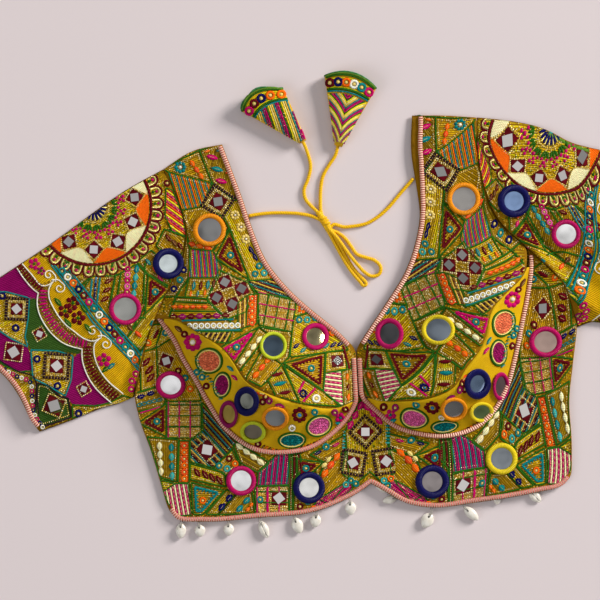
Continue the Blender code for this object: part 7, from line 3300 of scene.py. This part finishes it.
@dataclass
class Embroidery:
    """The stitches over the whole front, one piece for each panel."""

    bench: Workbench
    finishes: Finishes
    surface: Surface
    hidden: float = 0.86

    def build(self) -> None:
        """Stitches both sides, the right one bent from the left one's pattern."""
        outlines = {panel.slot: panel.outline for panel in panels("left")}
        for side, seed, body, sleeve in (("left", 11, None, None), ("right", 23, body_warp(), sleeve_warp())):
            tables = {
                "front_cloth": (UPPER_FRONT, ()),
                "band_cloth": (WAIST_HALF, ()),
                "sleeve_cloth": ((*SLEEVE_GROUND, *SLEEVE_BORDER, Mandala(), *SLEEVE_MOTIFS), SLEEVE_EXTRA[side]),
                "cup_cloth": (LOWER_CUP, ()),
            }
            for index, panel in enumerate(panels(side)):
                warp = sleeve if panel.slot == "sleeve_cloth" else body
                bare = panel.slot == "cup_cloth"
                outline = None if bare else outlines[panel.slot]
                self._lay(panel, self._sheets(outline, *tables[panel.slot], seed + index, warp))
        motifs = Motifs(Threadwork(5))
        for item in (*GORE, *GORE_MOTIFS):
            item.stitch(motifs)
        self._lay(Panel("gore_embroidery", "band_cloth", gore_outline()), [motifs.work.joined()])

    def _sheets(
        self, outline: Optional[np.ndarray], items: Sequence[Patch | Trail | Spot | Mandala],
        straight: Sequence[Trail | Spot], seed: int, bend: Optional[Warp],
    ) -> list[FlatWork]:
        """Stitches a panel's backdrop and items, bends them, and adds any that aren't bent.

        Args:
            outline: the panel's outline, or none for bare cloth with no backdrop.
            items: what is stitched, in order.
            straight: what is added unbent.
            seed: what its chance starts from.
            bend: the warp, or none.

        Returns:
            The flat sheets.
        """
        motifs = Motifs(Threadwork(seed))
        if outline is not None:
            covered = [down(item.outline) for item in items if isinstance(item, Patch)]
            motifs.backdrop(outline, covered, Silk.OLIVE.value, 35)
        for item in items:
            item.stitch(motifs)
        sheets = [self._bent(motifs.work.joined(), bend)]
        if straight:
            extra = Motifs(Threadwork(seed + 7))
            for item in straight:
                item.stitch(extra)
            sheets.append(extra.work.joined())
        return sheets

    @staticmethod
    def _bent(work: FlatWork, warp: Optional[Warp]) -> FlatWork:
        """A sheet carried over by a warp, its faces turned to stay face up.

        Args:
            work: the sheet.
            warp: the warp, or none.

        Returns:
            The sheet in its new place.
        """
        if warp is None:
            return work
        faces = {size: block[:, ::-1] for size, block in work.faces.items()}
        return FlatWork(warp.moved(work.plan), work.lift, work.dye, work.uv, faces, work.slots)

    def _lay(self, panel: Panel, sheets: Sequence[FlatWork]) -> None:
        """Cuts sheets to a panel's outline and lays them on the cloth.

        Args:
            panel: the panel.
            sheets: its stitches, flat.
        """
        points, dyes, uvs, faces, slots, start = [], [], [], [], [], 0
        for sheet in sheets:
            inside = is_inside(sheet.plan, panel.outline)
            kept_faces = []
            for size, block in sheet.faces.items():
                middle = sheet.plan[block].mean(axis=1)
                keep = inside[block].any(axis=1) & is_inside(middle, panel.outline) & ~self._under_mirrors(middle)
                kept_faces.append((block[keep], sheet.slots[size][keep]))
            used = np.zeros(len(sheet.plan), bool)
            for block, _ in kept_faces:
                used[block.ravel()] = True
            order = np.cumsum(used) - 1
            plan = sheet.plan[used]
            outside = ~inside[used]
            if outside.any():
                plan[outside] = nearest_on(plan[outside], closed(panel.outline))[0]
            points.append(self.surface.over(plan, sheet.lift[used]))
            dyes.append(sheet.dye[used])
            uvs.append(sheet.uv[used])
            for block, slot in kept_faces:
                faces.append(order[block] + start)
                slots.append(slot)
            start += int(used.sum())
        piece = self.bench.from_arrays(
            panel.name, to_model(np.vstack(points)), faces,
            [self.finishes.silk, self.finishes.zari, self.finishes.glass],
            colours=np.vstack(dyes), uv=np.vstack(uvs), slots=np.concatenate(slots),
        )
        self.bench.declare(piece, panel.slot)
        log.info("%s: %d faces", panel.name, len(piece.data.polygons))

    def _under_mirrors(self, plan: np.ndarray) -> np.ndarray:
        """Whether plan points lie under a large mirror.

        Args:
            plan: plan points.

        Returns:
            True for each point under one.
        """
        under = np.zeros(len(plan), bool)
        for mirror in MIRRORS:
            away = (plan - (mirror.x, mirror.y)) / (0.5 * mirror.width, 0.5 * mirror.height)
            under |= (away**2).sum(axis=1) < self.hidden**2
        return under


# --------------------------------------------------------------------------- tassel stitches


@dataclass
class TasselWork:
    """The stitches over the two tassel cones."""

    bench: Workbench
    finishes: Finishes
    rim: float = 0.965
    line: float = 0.77

    def build(self, tassels: dict[str, Tassel], cones: dict[str, bpy.types.Object]) -> None:
        """Stitches both cones.

        Args:
            tassels: each side's shape.
            cones: each side's cone.
        """
        surface = Surface(0.5, (232.0, 444.0), (300, 184))
        surface.measure(cones.values())
        rings = {
            "left": (Silk.MAGENTA, Silk.MAROON, Silk.NAVY, Silk.ORANGE, Silk.ORANGE),
            "right": (Silk.MAROON, Silk.NAVY, Silk.ORANGE, Silk.WHITE, Silk.TEAL, Silk.MAGENTA),
        }
        dyes = [
            silk.value
            for silk in (Silk.MAGENTA, Silk.WINE, Silk.TEAL, Silk.GOLD, Silk.PALE_GOLD, Silk.YELLOW, Silk.GREEN)
        ]
        for number, (side, tassel) in enumerate(tassels.items()):
            motifs = Motifs(Threadwork(71 + number))
            self._collar(motifs, tassel, rings[side])
            if side == "left":
                way = np.array(tassel.corners[1]) - tassel.axes()[0]
                motifs.stripes(self._piece(tassel, -0.93, 0.93), dyes, heading(way), 1.9)
            else:
                self._chevrons(motifs, tassel, dyes)
            golds = (Silk.CREAM.value, *PALE_GOLDS)
            motifs.work.sprinkle(self._piece(tassel, -0.85, 0.85), 2.8, 0.7, golds)
            work = motifs.work.joined()
            piece = self.bench.from_arrays(
                f"tassel_embroidery_{side}", to_model(surface.over(work.plan, work.lift)), list(work.faces.values()),
                [self.finishes.silk, self.finishes.zari, self.finishes.glass], colours=work.dye, uv=work.uv,
                slots=np.concatenate(list(work.slots.values())),
            )
            self.bench.declare(piece, "tassel_cloth")
        log.info("tassel stitches: %d cones", len(tassels))

    def _chevrons(self, motifs: Motifs, tassel: Tassel, dyes: Sequence[Colour]) -> None:
        """Cords in a V across the cone, one below another.

        Args:
            motifs: the motifs to draw with.
            tassel: the cone's shape.
            dyes: the dyes, in turn.
        """
        across = np.concatenate([np.linspace(-0.93, 0, 12), np.linspace(0, 0.93, 12)[1:]])
        for index, share in enumerate(np.arange(-0.1, self.line + 0.3, 0.026)):
            rows = share + 0.3 * (np.abs(across) - 0.4)
            kept = (rows > 0.05) & (rows < self.line - 0.015)
            for part in np.split(np.arange(len(across)), np.flatnonzero(np.diff(kept.astype(int))) + 1):
                if kept[part].all() and len(part) > 1:
                    line = tassel.plan(rows[part], across[part])
                    dye = dyes[index % len(dyes)]
                    motifs.work.band(line, 1.75, motifs.work.shades(dye, len(line), 0.15), 0.8, 0.2)

    def _piece(self, tassel: Tassel, low: float, high: float) -> np.ndarray:
        """The closed outline of a share of the cone below the collar.

        Args:
            tassel: the cone's shape.
            low: one edge, from -1 to 1.
            high: the other edge.

        Returns:
            The outline.
        """
        rows = np.linspace(0.03, self.line, 12)
        top = np.linspace(low, high, 12)
        return np.vstack([
            tassel.plan(rows, np.full(12, low)), tassel.plan(np.full(12, self.line), top)[1:-1],
            tassel.plan(rows[::-1], np.full(12, high)),
        ])

    def _collar(self, motifs: Motifs, tassel: Tassel, rings: Sequence[Silk]) -> None:
        """The green rim, the yellow band of ringlets and the cord below it.

        Args:
            motifs: the motifs to draw with.
            tassel: the cone's shape.
            rings: the ringlets' dyes.
        """
        across = np.linspace(-0.95, 0.95, 24)
        for share, dye, width in (
            (0.988, Silk.GRASS, 1.9), (self.rim, Silk.GREEN, 1.9),
            (self.line + 0.03, Silk.GREEN, 2.6), (self.line, Silk.TEAL, 1.8),
        ):
            motifs.cord(tassel.plan(np.full(24, share), across), dye.value, width)
        for share in np.arange(self.line + 0.05, self.rim - 0.01, 0.028):
            motifs.work.band(
                tassel.plan(np.full(24, share), across), 2.1, motifs.work.shades(Silk.BRIGHT.value, 24, 0.12), 0.5,
                0.1, Section.THIN,
            )
        for silk, place in zip(rings, np.linspace(-0.83, 0.83, len(rings))):
            centre = tassel.plan(np.array([0.5 * (self.line + 0.03 + self.rim)]), np.array([place]))[0]
            motifs.ringlet(centre, 4.9, silk.value)


# --------------------------------------------------------------------------- making it all


def main() -> None:
    """Makes the looks of the whole blouse."""
    logging.basicConfig(level=logging.INFO, format="%(name)s: %(message)s")
    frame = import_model()
    bench = Workbench(frame["nodes"])
    bench.choose()
    finishes = Finishes()
    Studio(finishes).build()
    tassels = {
        "left": Tassel(bench, finishes, "left", (303, 458.5), ((241, 489.5), (283.5, 511.5)), 12.0, crumple=1.0),
        "right": Tassel(bench, finishes, "right", (338.3, 454), ((324.5, 524.5), (376.5, 512)), 9.0),
    }
    cones = {side: tassel.build() for side, tassel in tassels.items()}
    TieCords(bench, finishes).build(cones)
    cloth = ClothShells(bench, finishes)
    cloth.build()
    surface = Surface()
    surface.measure(list(cloth.pieces.values()))
    Piping(bench, finishes, surface).build()
    RingMirrors(bench, finishes, surface).build()
    Cowries(bench, finishes).build()
    Embroidery(bench, finishes, surface).build()
    TasselWork(bench, finishes).build(tassels, cones)


if __name__ == "__main__":
    main()
